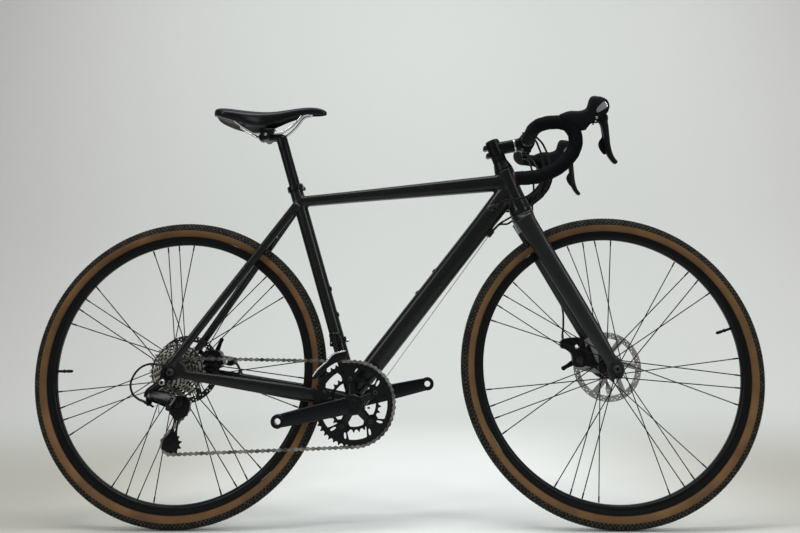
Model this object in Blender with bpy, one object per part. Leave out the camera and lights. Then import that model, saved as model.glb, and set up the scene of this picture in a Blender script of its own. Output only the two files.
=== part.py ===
# A cyclocross bike, one object for each of its sub-parts.
#
# World frame: the origin is on the ground, halfway between the two wheels. X points forward,
# Y to the bike's left and Z up. The drive side is at -Y. Sizes are in millimetres times MM.

import math

import bmesh
import bpy
from mathutils import Matrix, Vector

MM = 0.001
GAP = 0.3 * MM              # clearance between pieces that touch


def at(x, y, z):
    """A point given in millimetres."""
    return Vector((x, y, z)) * MM


def beside(place, points):
    """Points given in millimetres from a place."""
    return [place + at(*point) for point in points]


# Frame geometry
WHEELBASE = 1016.6 * MM
BB_DROP = 73.0 * MM         # bottom bracket below the hubs
WHEEL_TO_BB = 74.6 * MM     # from the rear tyre to the bottom bracket's axis
HEAD_ANGLE = math.radians(70.0)
SEAT_ANGLE = math.radians(73.4)
FORK_RAKE = 55.0 * MM
BB_SHELL_WIDTH = 68.0 * MM
BB_SHELL_RADIUS = 22.0 * MM
SPINDLE_RADIUS = 12.0 * MM
BB_CUP_WIDTH = 7.0 * MM
SEAT_TUBE_RADIUS = 16.5 * MM
SEAT_TUBE_TOP = 537.0 * MM  # along the seat tube from the bottom bracket
SEATPOST_RADIUS = 13.6 * MM
SEATPOST_LENGTH = 268.0 * MM
SEATPOST_OUT = 106.0 * MM   # shows above the clamp
POST_HEAD = 34.9 * MM       # from the top of the post to the middle of the rails
SETBACK = 12.9 * MM         # of that middle behind the post's axis
POST_SLIDE_ROOM = 50.0 * MM
WHEEL_TO_HEAD = 59.0 * MM   # from the front tyre to the head tube
HEAD_TUBE_LENGTH = 113.0 * MM
HEAD_RADIUS_LOW = 27.5 * MM
HEAD_RADIUS_HIGH = 24.0 * MM
STEERER_RADIUS = 14.3 * MM
STEM_RISE = 40.0 * MM       # above the head tube
STEM_HEIGHT = 38.0 * MM
BAR_RISE = 45.65 * MM       # above the head tube
BAR_REACH = 77.2 * MM       # in front of the steering axis
BAR_CLAMP_RADIUS = 15.9 * MM
BAR_RADIUS = 12.0 * MM
CLAMP_HALF = 21.0 * MM
CLAMP_RADIUS = 21.0 * MM
TAPE_RADIUS = 16.2 * MM
BARE_STATION_COUNT = 3      # sections of the bar before the tape
HOOD_LEFT = 211.0 * MM      # from the middle of the bike
RAIL_LEFT = 21.0 * MM       # from the middle of the bike
RAIL_RADIUS = 3.5 * MM
LEVER_HALF = 6.5 * MM       # half the width of a brake lever
TOP_TUBE_REAR = 495.0 * MM  # along the seat tube from the bottom bracket
TOP_TUBE_BELOW = 30.0 * MM  # from the head tube's upper end
DOWN_TUBE_FRONT = 67.0 * MM     # from the head tube's lower end
TOP_TUBE_HEIGHT_REAR = 26.0 * MM
TOP_TUBE_HEIGHT_FRONT = 41.0 * MM
TOP_TUBE_WIDTH = 36.0 * MM
DOWN_TUBE_RADIUS = 24.5 * MM
DOWN_TUBE_RISE = 30.0 * MM  # axis above the bottom bracket
SEAT_STAY_TOP = 487.0 * MM  # along the seat tube
DOWN_BOSSES = (330.0 * MM, 264.0 * MM)
SEAT_BOSSES = (268.0 * MM, 204.0 * MM)
STOP_BELOW_HEAD = 120.9 * MM    # middle of the cable stop, along the down tube from its upper end
BOSS_RADIUS = 5.5 * MM
BOSS_HEIGHT = 2.5 * MM
REAR_SPACING = 135.0 * MM   # between the faces of the rear dropouts
FRONT_SPACING = 100.0 * MM
DROPOUT_THICKNESS = 6.0 * MM
AXLE_RADIUS = 4.8 * MM
SKEWER_RADIUS = 2.5 * MM
CAM_HOUSING_LENGTH = 8.0 * MM
CAM_RADIUS = 5.5 * MM

# Wheels
WHEEL_RADIUS = 350.0 * MM
TYRE_WIDTH = 37.0 * MM
TYRE_HEIGHT = 33.0 * MM     # beyond the rim
RIM_DEPTH = 20.0 * MM
RIM_WIDTH = 23.0 * MM
SPOKE_COUNT = 28
SPOKE_SIZE = 1.8 * MM
SPOKE_SWING = math.radians(68.0)    # from a spoke's hole in the flange to its nipple
FLANGE_THICKNESS = 3.2 * MM
ROTOR_RADIUS = 80.0 * MM
ROTOR_SEAT_RADIUS = 16.0 * MM
VALVE_LENGTH = 36.0 * MM
FRONT_VALVE_ANGLE = math.radians(17.0)
REAR_VALVE_ANGLE = math.radians(180.0)
ROTOR_THICKNESS = 1.8 * MM
FRONT_ROTOR_LEFT = 40.0 * MM        # plane of the rotor, from the middle of the bike
REAR_ROTOR_LEFT = 52.0 * MM
WHEEL_SEGMENTS = 32

# Drivetrain
CHAIN_PITCH = 12.7 * MM
CHAINLINE = 47.0 * MM       # plane of the chain, right of the middle of the bike
ROLLER_HALF = 2.4 * MM
PLATE_HALF = 4.1 * MM       # half the height of a chain plate
OUTER_RING_TEETH = 46
INNER_RING_TEETH = 30
SPROCKET_TEETH = (11, 12, 13, 14, 15, 17, 19, 22, 25, 28, 32)
ENGAGED_SPROCKET = 4
SPROCKET_SPACING = 3.75 * MM
SPROCKET_THICKNESS = 1.6 * MM
CHAIN_HALF = SPROCKET_SPACING - SPROCKET_THICKNESS / 2 - GAP / 2
TOOTH_HEIGHT = 2.6 * MM     # above the pitch circle
FREEHUB_RADIUS = 10.0 * MM
BOLT_CIRCLE = 55.0 * MM     # radius to the chainring bolts
SPIDER_ARMS = 5
SPIDER_TURN = 26.0          # degrees from +X to the first arm
RING_SPACING = 6.6 * MM
PULLEY_TEETH = 11
CRANK_LENGTH = 172.5 * MM
CRANK_ANGLE = math.radians(191.6)
ARM_ROOT = 58.0 * MM        # middle of an arm's root, from the middle of the bike
ARM_EYE = 69.0 * MM
PEDAL_HOLE_RADIUS = 7.0 * MM
PULLEY_BOLT_RADIUS = 2.5 * MM
CAGE_INNER = 3.6 * MM       # from the chainline to the inside of a cage plate
CAGE_PLATE = 1.4 * MM
HANGER_THICKNESS = 4.0 * MM
LINK_LENGTH = 42.0 * MM
LINK_SPACING = 14.0 * MM
LINK_HALF_HEIGHT = 8.0 * MM
LINK_SLOPE = math.radians(20.0)     # of the parallelogram's bars, down towards the front
LINK_SLANT = math.radians(45.0)     # of the parallelogram's sideways path, down towards the wheel
FD_BAND = 144.0 * MM        # along the seat tube

# Lengths that follow from the ones above. The head tube's are from the foot of the hub's perpendicular.
RIM_FLANGE_RADIUS = WHEEL_RADIUS - TYRE_HEIGHT
RIM_INNER_RADIUS = RIM_FLANGE_RADIUS - RIM_DEPTH
CHAINSTAY = WHEEL_RADIUS + WHEEL_TO_BB
HEAD_TUBE_LOW = WHEEL_RADIUS + WHEEL_TO_HEAD
HEAD_TOP = HEAD_TUBE_LOW + HEAD_TUBE_LENGTH
STEM_LOW = HEAD_TOP + STEM_RISE
STEM_HIGH = STEM_LOW + STEM_HEIGHT
STEERER_TOP = STEM_HIGH - 1 * MM

# Main points of the frame
REAR_HUB = Vector((-WHEELBASE / 2, 0, WHEEL_RADIUS))
FRONT_HUB = Vector((WHEELBASE / 2, 0, WHEEL_RADIUS))
BOTTOM_BRACKET = REAR_HUB + Vector((math.sqrt(CHAINSTAY**2 - BB_DROP**2), 0, -BB_DROP))
STEER_UP = Vector((-math.cos(HEAD_ANGLE), 0, math.sin(HEAD_ANGLE)))
STEER_FORWARD = Vector((math.sin(HEAD_ANGLE), 0, math.cos(HEAD_ANGLE)))
STEER_FOOT = FRONT_HUB - FORK_RAKE * STEER_FORWARD
SEAT_UP = Vector((-math.cos(SEAT_ANGLE), 0, math.sin(SEAT_ANGLE)))
SIDE = Vector((0, 1, 0))
DOWN_FOOT = BOTTOM_BRACKET + Vector((0, 0, DOWN_TUBE_RISE))
DOWN_HEAD = STEER_FOOT + (HEAD_TUBE_LOW + DOWN_TUBE_FRONT) * STEER_UP
DOWN_ALONG = (DOWN_HEAD - DOWN_FOOT).normalized()
DOWN_OUT = DOWN_ALONG.cross(SIDE)
SEAT_OUT = SIDE.cross(SEAT_UP)
FRONT_LEVER_WAY = Vector((0.1, 0, -1))
REAR_LEVER_WAY = Vector((-0.5, 0, 1))
CAGE_PIVOT = REAR_HUB + Vector((16 * MM, 0, -66 * MM))
CAGE_TO_GUIDE = Vector((3 * MM, 0, -11.5 * MM))
CAGE_TO_TENSION = Vector((-8 * MM, 0, -82 * MM))
HANGER_BOLT = REAR_HUB + Vector((-13 * MM, 0, -21 * MM))
LINK_ALONG = Vector((math.cos(LINK_SLOPE), 0, -math.sin(LINK_SLOPE)))
LINK_DOWN = Vector((-math.sin(LINK_SLOPE), 0, -math.cos(LINK_SLOPE)))
LINK_ACROSS = math.cos(LINK_SLANT) * SIDE + math.sin(LINK_SLANT) * LINK_DOWN
LINK_AXIS = LINK_ALONG.cross(LINK_ACROSS)
LINK_START = REAR_HUB + Vector((-34 * MM, -84 * MM, -48 * MM))
ADJUSTER_END = REAR_HUB + Vector((-51 * MM, -86 * MM, -63 * MM))
FD_PIVOT = BOTTOM_BRACKET + Vector((-46 * MM, -32 * MM, 152 * MM))
FD_AXIS = Vector((1, 0, 0))
FD_PIN_RADIUS = 4.0 * MM
BAR_CENTRE = STEER_FOOT + (HEAD_TOP + BAR_RISE) * STEER_UP + BAR_REACH * STEER_FORWARD
# The left half of the bar from where its tape begins, in millimetres from the middle of the bar
BAR_ROUTE = [(0, 112, 0), (1, 150, 0), (12, 189, 0), (38, 206, 1), (67, 210, -5), (83, 211, -24), (86, 211, -48),
             (73, 211, -76), (43, 212, -103), (0, 212, -123), (-54, 212, -128)]
LEVER_PIVOT = BAR_CENTRE + Vector((143 * MM, HOOD_LEFT, 9 * MM))
PADDLE_PIVOT = LEVER_PIVOT + Vector((8 * MM, -LEVER_HALF - GAP, -16 * MM))
SADDLE_CLAMP = BOTTOM_BRACKET + (SEAT_TUBE_TOP + SEATPOST_OUT + POST_HEAD) * SEAT_UP - SETBACK * SEAT_OUT
FRONT_CALIPER = FRONT_HUB + Vector((-66 * MM, 0, 17 * MM))
FRONT_ARM_TIP = FRONT_CALIPER + Vector((-36 * MM, 0, -20 * MM))
FRONT_CALIPER_SHAPE = [(-14, -14), (10, -16), (17, 0), (17, 22), (12, 48), (-12, 52), (-40, 46), (-42, 28),
                       (-30, 24), (-18, 12)]
FRONT_CALIPER_FACE = 46.0 * MM      # outer face, from the middle of the bike
REAR_CALIPER_FACE = 65.0 * MM
CALIPER_ARM_THICKNESS = 5.0 * MM
REAR_CALIPER = REAR_HUB + Vector((62 * MM, 0, 26 * MM))
REAR_ARM_TIP = REAR_CALIPER + Vector((16 * MM, 0, 43 * MM))
REAR_CALIPER_SHAPE = [(-18, -24), (20, -24), (30, -14), (50, -18), (60, -8), (48, 2), (26, 6), (22, 14), (8, 20),
                      (-14, 18), (-26, 4)]
STOP_HALF = 10.0 * MM
# Where housings end on the frame, and the ways that they leave
DOWN_PORT = DOWN_HEAD - 63.2 * MM * DOWN_ALONG + 2.5 * MM * DOWN_OUT - 32 * MM * SIDE
DOWN_PORT_WAY = Vector((0.72, -0.55, 0.42)).normalized()
LOW_STOP = DOWN_HEAD - STOP_BELOW_HEAD * DOWN_ALONG - DOWN_TUBE_RADIUS * DOWN_OUT
REAR_STOP = REAR_HUB + Vector((-25 * MM, -70.5 * MM, 16.5 * MM))
STAY_PORT = REAR_HUB + Vector((128.3 * MM, 58 * MM, -1 * MM))
STAY_PORT_WAY = Vector((-0.35, 0.0, 1.0)).normalized()
HOUSING_RADIUS = 2.5 * MM
BARE_CABLE_RADIUS = 1.0 * MM
# Cable routes by hand, each part of one beside the place that it keeps to
FRONT_BRAKE_ROUTE = (beside(BAR_CENTRE, [(6, 110.3, -14), (12, 84, -23), (21, 64, -53), (23, 59, -101)])
                     + beside(FRONT_HUB, [(-156.3, 60, 385), (-154.3, 62, 340), (-136.3, 65, 270),
                                          (-112.3, 67, 205), (-94.3, 66, 140), (-95.3, 56, 100),
                                          (-100.3, 45, 78), (-101.3, 42, 65.2)]))
REAR_BRAKE_ROUTE = (beside(BAR_CENTRE, [(6, -110, -14), (17, -88, -25), (31, -62, -56), (33, -48, -96)])
                    + beside(DOWN_PORT, [(96, -12, 26), (56, -15, 14), (18, -12, 9), (0.3, -0.3, 0.2)]))
RIGHT_SHIFT_ROUTE = (beside(BAR_CENTRE, [(11, -111, -11), (31, -84, -25), (49, -46, -59), (49, -6, -106)])
                     + beside(DOWN_HEAD, [(58.2, 28, -34.5), (20.2, 34, -56.5)])
                     + beside(LOW_STOP, [(56.6, 27, 40.8),
                                         (27.6, 8, 22.8), (9.8, 6, 6)]))
LEFT_SHIFT_ROUTE = (beside(BAR_CENTRE, [(11, 111, -11), (29, 84, -29), (39, 56, -76), (31, 52, -126)])
                    + beside(DOWN_HEAD, [(46.2, 51, -41.5), (18.2, 43, -63.5)])
                    + beside(LOW_STOP, [(49.6, 25, 24.8),
                                        (25.6, -7, 18.8), (9.8, -6, 6)]))
TAIL_BRAKE_ROUTE = (beside(REAR_CALIPER, [(57.3, 60, -12.8)])
                    + beside(STAY_PORT, [(-4, 1, 7), (-0.3, 0, 1)]))
REAR_SHIFT_ROUTE = (beside(REAR_STOP, [(-0.4, 0, 0.1), (-22.7, -2.5, 2.5), (-42.7, -5.5, -4.5)])
                    + beside(ADJUSTER_END, [(-30.7, 7, 59), (-36.7, 4, 38), (-29.7, 1, 18), (-14.7, 0, 6),
                                            (-1, 0, 0.6)]))
DOWN_CABLE_ROUTE = (beside(BOTTOM_BRACKET, [(0, 6, -25.5), (16, 6, -18.5)])
                    + beside(LOW_STOP, [(-3.6, 6, -10.5)]))
SEATPOST_FOOT = SEAT_TUBE_TOP + SEATPOST_OUT - SEATPOST_LENGTH

# Looks: colour, roughness, metallic
FRAME_PAINT = ((0.030, 0.030, 0.026), 0.45, 0.0)
BLACK_METAL = ((0.020, 0.020, 0.022), 0.40, 0.6)
BLACK_RUBBER = ((0.022, 0.022, 0.022), 0.75, 0.0)
BLACK_PLASTIC = ((0.018, 0.018, 0.019), 0.50, 0.0)
TAN_TYRE = ((0.050, 0.045, 0.040), 0.80, 0.0)
SILVER = ((0.62, 0.62, 0.63), 0.28, 1.0)
STEEL = ((0.42, 0.40, 0.36), 0.40, 1.0)
CHAIN_STEEL = ((0.30, 0.29, 0.28), 0.45, 1.0)
GLOSSY_BLACK = ((0.012, 0.012, 0.013), 0.25, 0.0)


def seat_point(along):
    return BOTTOM_BRACKET + along * SEAT_UP


def steer_point(along, forward=0.0, left=0.0):
    return STEER_FOOT + along * STEER_UP + forward * STEER_FORWARD + left * SIDE


def down_tube_face(along, up=1):
    """A point on the upper or lower line of the down tube."""
    return DOWN_FOOT + along * DOWN_ALONG + up * DOWN_TUBE_RADIUS * DOWN_OUT


def seat_tube_face(along):
    """A point on the front line of the seat tube."""
    return seat_point(along) + SEAT_TUBE_RADIUS * SEAT_OUT


def bore_radius(radius, sides):
    """The radius of a bore with flat sides that clears a round piece."""
    return (radius + GAP) / math.cos(math.pi / sides)


def sweep(points, halves, sides=10, start_side=SIDE, power=2.0):
    """A closed skin around a path. halves holds (sideways, upright) half sizes for each point."""
    bm = bmesh.new()
    if not isinstance(halves, list):
        halves = [halves] * len(points)
    side = start_side.copy()
    rings = []
    for i, point in enumerate(points):
        ahead = points[min(i + 1, len(points) - 1)]
        behind = points[max(i - 1, 0)]
        tangent = (ahead - behind).normalized()
        side = (side - side.dot(tangent) * tangent).normalized()
        upright = tangent.cross(side)
        wide, tall = halves[i] if isinstance(halves[i], tuple) else (halves[i], halves[i])
        ring = []
        for k in range(sides):
            angle = 2 * math.pi * (k + 0.5) / sides
            c, s = math.cos(angle), math.sin(angle)
            across = math.copysign(abs(c) ** (2 / power), c) * wide
            along = math.copysign(abs(s) ** (2 / power), s) * tall
            ring.append(bm.verts.new(point + across * side + along * upright))
        rings.append(ring)
    for ring, following in zip(rings, rings[1:]):
        for k in range(sides):
            n = (k + 1) % sides
            bm.faces.new((ring[k], ring[n], following[n], following[k]))
    bm.faces.new(rings[0])
    bm.faces.new(rings[-1])
    bmesh.ops.recalc_face_normals(bm, faces=bm.faces)
    return bm


def smooth_path(points, pieces=4):
    """Points along a smooth curve through the given ones."""
    padded = [2 * points[0] - points[1]] + list(points) + [2 * points[-1] - points[-2]]
    path = []
    for a, b, c, d in zip(padded, padded[1:], padded[2:], padded[3:]):
        for k in range(pieces):
            t = k / pieces
            path.append(0.5 * (2 * b + (c - a) * t + (2 * a - 5 * b + 4 * c - d) * t**2
                               + (3 * b - a - 3 * c + d) * t**3))
    path.append(points[-1].copy())
    return path


def thinned(points, bend):
    """The path without the points at which it hardly turns."""
    kept = [points[0]]
    for here, after in zip(points[1:], points[2:]):
        if (here - kept[-1]).angle(after - here) > bend:
            kept.append(here)
    return kept + [points[-1]]


def lathe(profile, origin, axis, segments=16):
    """A turned piece. profile is a closed loop of (radius, distance along the axis)."""
    bm = bmesh.new()
    turn = axis.normalized().to_track_quat("Z", "X").to_matrix()
    rings = []
    for radius, along in profile:
        ring = []
        for k in range(segments):
            angle = 2 * math.pi * k / segments
            local = Vector((radius * math.cos(angle), radius * math.sin(angle), along))
            ring.append(bm.verts.new(origin + turn @ local))
            if radius == 0:
                break
        rings.append(ring)
    for ring, following in zip(rings, rings[1:] + rings[:1]):
        for k in range(segments):
            n = (k + 1) % segments
            if len(ring) == 1 and len(following) == 1:
                break
            if len(ring) == 1:
                bm.faces.new((ring[0], following[n], following[k]))
            elif len(following) == 1:
                bm.faces.new((ring[k], ring[n], following[0]))
            else:
                bm.faces.new((ring[k], ring[n], following[n], following[k]))
    bmesh.ops.recalc_face_normals(bm, faces=bm.faces)
    return bm


def rod(start, end, radius, segments=12):
    """A plain round bar."""
    length = (end - start).length
    profile = [(0, 0), (radius, 0), (radius, length), (0, length)]
    return lathe(profile, start, end - start, segments)


def ring(centre, axis, outer, inner, low, high, segments=16):
    """A plain round collar."""
    profile = [(inner, low), (outer, low), (outer, high), (inner, high)]
    return lathe(profile, centre, axis, segments)


def box(low, high):
    bm = bmesh.new()
    bmesh.ops.create_cube(bm, size=1.0)
    for vert in bm.verts:
        vert.co = Vector([lo + (c + 0.5) * (hi - lo) for c, lo, hi in zip(vert.co, low, high)])
    return bm


def plate(outlines, near, far):
    """A flat piece in the XZ plane between two Y values. Outlines after the first are its holes."""
    bm = bmesh.new()
    edges = []
    for outline in outlines:
        verts = [bm.verts.new((x, near, z)) for x, z in outline]
        edges += [bm.edges.new(pair) for pair in zip(verts, verts[1:] + verts[:1])]
    filled = bmesh.ops.triangle_fill(bm, edges=edges, use_beauty=True)
    faces = [item for item in filled["geom"] if isinstance(item, bmesh.types.BMFace)]
    grown = bmesh.ops.extrude_face_region(bm, geom=faces)
    moved = [item for item in grown["geom"] if isinstance(item, bmesh.types.BMVert)]
    bmesh.ops.translate(bm, verts=moved, vec=(0, far - near, 0))
    bmesh.ops.recalc_face_normals(bm, faces=bm.faces)
    return bm


def circle(centre, radius, count=12, phase=0.0):
    """Points round a circle in the XZ plane."""
    turns = [phase + 2 * math.pi * k / count for k in range(count)]
    return [(centre.x + radius * math.cos(a), centre.z + radius * math.sin(a)) for a in turns]


def about(centre, outline):
    """An outline in millimetres, moved to its centre."""
    return [(centre.x + x * MM, centre.z + z * MM) for x, z in outline]


def mirrored(bm):
    """The same shape on the other side of the bike."""
    copy = bm.copy()
    bmesh.ops.scale(copy, vec=(1, -1, 1), verts=copy.verts)
    bmesh.ops.reverse_faces(copy, faces=copy.faces)
    return copy


def working_object(bm):
    mesh = bpy.data.meshes.new("working")
    bm.to_mesh(mesh)
    bm.free()
    obj = bpy.data.objects.new("working", mesh)
    bpy.context.scene.collection.objects.link(obj)
    return obj


def combined(base, tools, operation="UNION"):
    """Base joined with the tools, or cut by them."""
    target = working_object(base)
    operands = [working_object(tool) for tool in tools]
    for operand in operands:
        step = target.modifiers.new("step", "BOOLEAN")
        step.operation = operation
        step.object = operand
    bpy.context.view_layer.update()
    evaluated = target.evaluated_get(bpy.context.evaluated_depsgraph_get())
    result = bmesh.new()
    result.from_mesh(evaluated.data)
    for used in [target] + operands:
        bpy.data.objects.remove(used, do_unlink=True)
    bmesh.ops.remove_doubles(result, verts=result.verts, dist=0.0002 * MM)
    bmesh.ops.dissolve_limit(result, angle_limit=math.radians(0.3), verts=result.verts, edges=result.edges)
    return result


def cut(base, tools):
    return combined(base, tools, "DIFFERENCE")


def add_object(name, bm, look, parent, pivot=None, sharp=40.0):
    """Place a finished mesh under its empty, with its origin on the pivot."""
    pivot = pivot or parent.matrix_world.translation
    bmesh.ops.translate(bm, verts=bm.verts, vec=-pivot)
    mesh = bpy.data.meshes.new(name)
    bm.to_mesh(mesh)
    bm.free()
    mesh.shade_smooth()
    mesh.set_sharp_from_angle(angle=math.radians(sharp))
    material = bpy.data.materials.new(name)
    material.use_nodes = True
    shader = material.node_tree.nodes["Principled BSDF"]
    colour, roughness, metallic = look
    shader.inputs["Base Color"].default_value = (*colour, 1.0)
    shader.inputs["Roughness"].default_value = roughness
    shader.inputs["Metallic"].default_value = metallic
    mesh.materials.append(material)
    obj = bpy.data.objects.new(name, mesh)
    bpy.context.scene.collection.objects.link(obj)
    obj.location = pivot - parent.matrix_world.translation
    obj.parent = parent
    return obj


def add_empty(name, place, parent=None):
    """An empty on a joint's axis, which carries what turns there."""
    empty = bpy.data.objects.new(name, None)
    bpy.context.scene.collection.objects.link(empty)
    empty.empty_display_size = 20 * MM
    empty.location = place - (parent.matrix_world.translation if parent else Vector((0, 0, 0)))
    empty.parent = parent
    bpy.context.view_layer.update()
    return empty


def frame_tubes():
    """The head, seat, top and down tubes, welded at the bottom bracket shell."""
    head = ring(steer_point(0), STEER_UP, HEAD_RADIUS_LOW, STEERER_RADIUS + GAP,
                HEAD_TUBE_LOW, HEAD_TUBE_LOW + HEAD_TUBE_LENGTH, 16)
    for vert in head.verts:
        along = (vert.co - STEER_FOOT).dot(STEER_UP)
        from_axis = (vert.co - steer_point(along)).length
        if from_axis > HEAD_RADIUS_HIGH and along > HEAD_TUBE_LOW + HEAD_TUBE_LENGTH / 2:
            vert.co = steer_point(along) + (vert.co - steer_point(along)) * HEAD_RADIUS_HIGH / from_axis
    half_shell = BB_SHELL_WIDTH / 2
    shell = rod(BOTTOM_BRACKET - half_shell * SIDE, BOTTOM_BRACKET + half_shell * SIDE, BB_SHELL_RADIUS, 16)
    seat = sweep([seat_point(15 * MM), seat_point(SEAT_TUBE_TOP)], SEAT_TUBE_RADIUS, 12)
    top_rear = seat_point(TOP_TUBE_REAR)
    top_front = steer_point(HEAD_TOP - TOP_TUBE_BELOW)
    top = sweep([top_rear, top_front.lerp(top_rear, 0.1), top_front.lerp(top_rear, 0.03)],
                [(TOP_TUBE_WIDTH / 2, TOP_TUBE_HEIGHT_REAR / 2),
                 (TOP_TUBE_WIDTH / 2, TOP_TUBE_HEIGHT_FRONT / 2),
                 (TOP_TUBE_WIDTH / 2, TOP_TUBE_HEIGHT_FRONT / 2)], 10, power=2.6)
    down_start = DOWN_FOOT - DOWN_ALONG * DOWN_TUBE_RADIUS / 2
    down = sweep([down_start, DOWN_HEAD.lerp(DOWN_FOOT, 0.2), DOWN_HEAD.lerp(DOWN_FOOT, 0.04)],
                 [DOWN_TUBE_RADIUS, DOWN_TUBE_RADIUS, DOWN_TUBE_RADIUS * 1.08], 12)
    return head, [shell, seat, top, down]


def chain_stay():
    """The left chain stay with its brake boss, from the dropout to the shell."""
    rear = REAR_HUB + Vector((24 * MM, 0, -4 * MM))
    front = BOTTOM_BRACKET + Vector((-14 * MM, 0, 3 * MM))
    dropout_middle = REAR_SPACING / 2 + DROPOUT_THICKNESS / 2
    # part of the way, distance from the middle, half width, half height
    stations = [(0.0, dropout_middle, 2.9, 8.0), (0.12, dropout_middle - 5 * MM, 7.0, 11.0),
                (0.48, 45.0 * MM, 8.0, 14.5), (0.74, 33.5 * MM, 7.0, 16.5), (1.0, 25.0 * MM, 9.0, 15.0)]
    points = [rear.lerp(front, part) + left * SIDE for part, left, _, _ in stations]
    return sweep(points, [(wide * MM, tall * MM) for _, _, wide, tall in stations], 8, power=2.4)


def seat_stay():
    """The left seat stay, from the dropout to the seat cluster."""
    low = REAR_HUB + Vector((2 * MM, REAR_SPACING / 2 + DROPOUT_THICKNESS / 2, 22 * MM))
    high = seat_point(SEAT_STAY_TOP) + Vector((-6 * MM, 13 * MM, 0))
    return sweep([low, low.lerp(high, 0.08), high], [(2.9 * MM, 8 * MM), (7.5 * MM, 9.5 * MM),
                                                     (7.5 * MM, 10 * MM)], 8, power=2.4)


def dropout_outline(hub, points):
    """A dropout plate with its axle slot open at the bottom."""
    slot = AXLE_RADIUS + 2 * GAP
    arch = [(-slot * math.cos(a), slot * math.sin(a)) for a in
            [math.radians(d) for d in (0, 45, 90, 135, 180)]]
    arch = [(hub.x + x, hub.z + z) for x, z in arch]
    first, last = about(hub, points[:1])[0], about(hub, points[-1:])[0]
    return [(hub.x + slot, first[1])] + about(hub, points[1:-1]) + [(hub.x - slot, last[1])] + arch


REAR_DROPOUT = [(5, -17), (22, -13), (35, 2), (30, 15), (12, 31), (-8, 30), (-20, 14), (-24, -4),
                (-19, -18), (-5, -18)]
FRONT_DROPOUT = [(5, -24), (12, -20), (19, -2), (15, 14), (4, 30), (-22, 24), (-22, 0), (-14, -27),
                 (-5, -30)]


def bottle_boss(place, outward):
    """A raised boss with a bolt for a bottle cage."""
    return rod(place - outward * 6 * MM, place + outward * BOSS_HEIGHT, BOSS_RADIUS, 6)


def cable_stops():
    """The double stop below the down tube, the port in its right side, and the two at the rear."""
    low = LOW_STOP - 4 * MM * DOWN_OUT
    double = sweep([low - STOP_HALF * DOWN_ALONG, low + STOP_HALF * DOWN_ALONG], (12 * MM, 5.5 * MM), 8, power=3.0)
    port = rod(DOWN_PORT - 18 * MM * DOWN_PORT_WAY, DOWN_PORT, 4.5 * MM, 8)
    rear = rod(REAR_STOP + at(14, 0, -1), REAR_STOP, 4.5 * MM, 8)
    stay = rod(STAY_PORT - 14 * MM * STAY_PORT_WAY, STAY_PORT, 4.5 * MM, 8)
    return [double, port, rear, stay]


def build_frame(root):
    head, tubes = frame_tubes()
    stays = []
    inner = REAR_SPACING / 2
    for stay in (chain_stay(), seat_stay()):
        stays += [stay, mirrored(stay)]
    dropout = plate([dropout_outline(REAR_HUB, REAR_DROPOUT)], inner, inner + DROPOUT_THICKNESS)
    mount = plate([about(REAR_HUB, [(30, -2), (72, -10), (66, 8), (44, 34), (30, 44), (22, 20)])],
                  inner - 2 * MM, inner + 3.5 * MM)
    bridge = REAR_HUB.lerp(seat_point(SEAT_STAY_TOP), 0.78) + Vector((0, 0, 12 * MM))
    reach = 28 * MM * SIDE
    low_bridge = REAR_HUB.lerp(BOTTOM_BRACKET, 0.85) + Vector((4 * MM, 0, -4 * MM))
    bosses = [bottle_boss(down_tube_face(along), DOWN_OUT) for along in DOWN_BOSSES]
    bosses += [bottle_boss(seat_tube_face(along), SEAT_OUT) for along in SEAT_BOSSES]
    stops = cable_stops()
    parts = tubes + stays + [dropout, mirrored(dropout), mount, sweep([bridge - reach, bridge + reach], 7 * MM, 8,
                                                                      start_side=Vector((1, 0, 0))),
                             sweep([low_bridge - reach, low_bridge + reach], 6 * MM, 8,
                                   start_side=Vector((1, 0, 0)))] + bosses + stops
    frame = combined(head, parts)
    post_bore = rod(seat_point(SEAT_TUBE_TOP + 9 * MM), seat_point(SEATPOST_FOOT - POST_SLIDE_ROOM),
                    SEATPOST_RADIUS + GAP, 12)
    shell_bore = rod(BOTTOM_BRACKET - 60 * MM * SIDE, BOTTOM_BRACKET + 60 * MM * SIDE,
                     bore_radius(SPINDLE_RADIUS, 12), 12)
    steerer_bore = rod(steer_point(HEAD_TUBE_LOW - 9 * MM), steer_point(HEAD_TUBE_LOW + HEAD_TUBE_LENGTH + 9 * MM),
                       STEERER_RADIUS + GAP, 16)
    frame = cut(frame, [post_bore, shell_bore, steerer_bore])
    add_object("frame", frame, FRAME_PAINT, root)


def tyre(hub):
    """A round casing that sits on the rim's flanges."""
    half = TYRE_WIDTH / 2
    middle = WHEEL_RADIUS - half
    seat = RIM_FLANGE_RADIUS + GAP
    side = [(seat, 0.58 * half), (middle - 0.12 * half, half), (middle + 0.6 * half, 0.84 * half),
            (WHEEL_RADIUS - 1.5 * MM, 0.4 * half)]
    profile = side + [(WHEEL_RADIUS, 0)] + [(radius, -left) for radius, left in reversed(side)]
    return lathe(profile, hub, SIDE, WHEEL_SEGMENTS)


def rim(hub, valve_angle):
    """The rim, with the valve stem through it."""
    half = RIM_WIDTH / 2
    profile = [(RIM_FLANGE_RADIUS, half), (RIM_FLANGE_RADIUS - 13 * MM, 0.92 * half), (RIM_INNER_RADIUS, 0.4 * half)]
    profile += [(radius, -left) for radius, left in reversed(profile)]
    outward = Vector((math.cos(valve_angle), 0, math.sin(valve_angle)))
    valve = rod(hub + outward * (RIM_INNER_RADIUS - VALVE_LENGTH), hub + outward * (RIM_INNER_RADIUS + 6 * MM),
                3 * MM, 6)
    return combined(lathe(profile, hub, SIDE, WHEEL_SEGMENTS), [valve])


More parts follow.
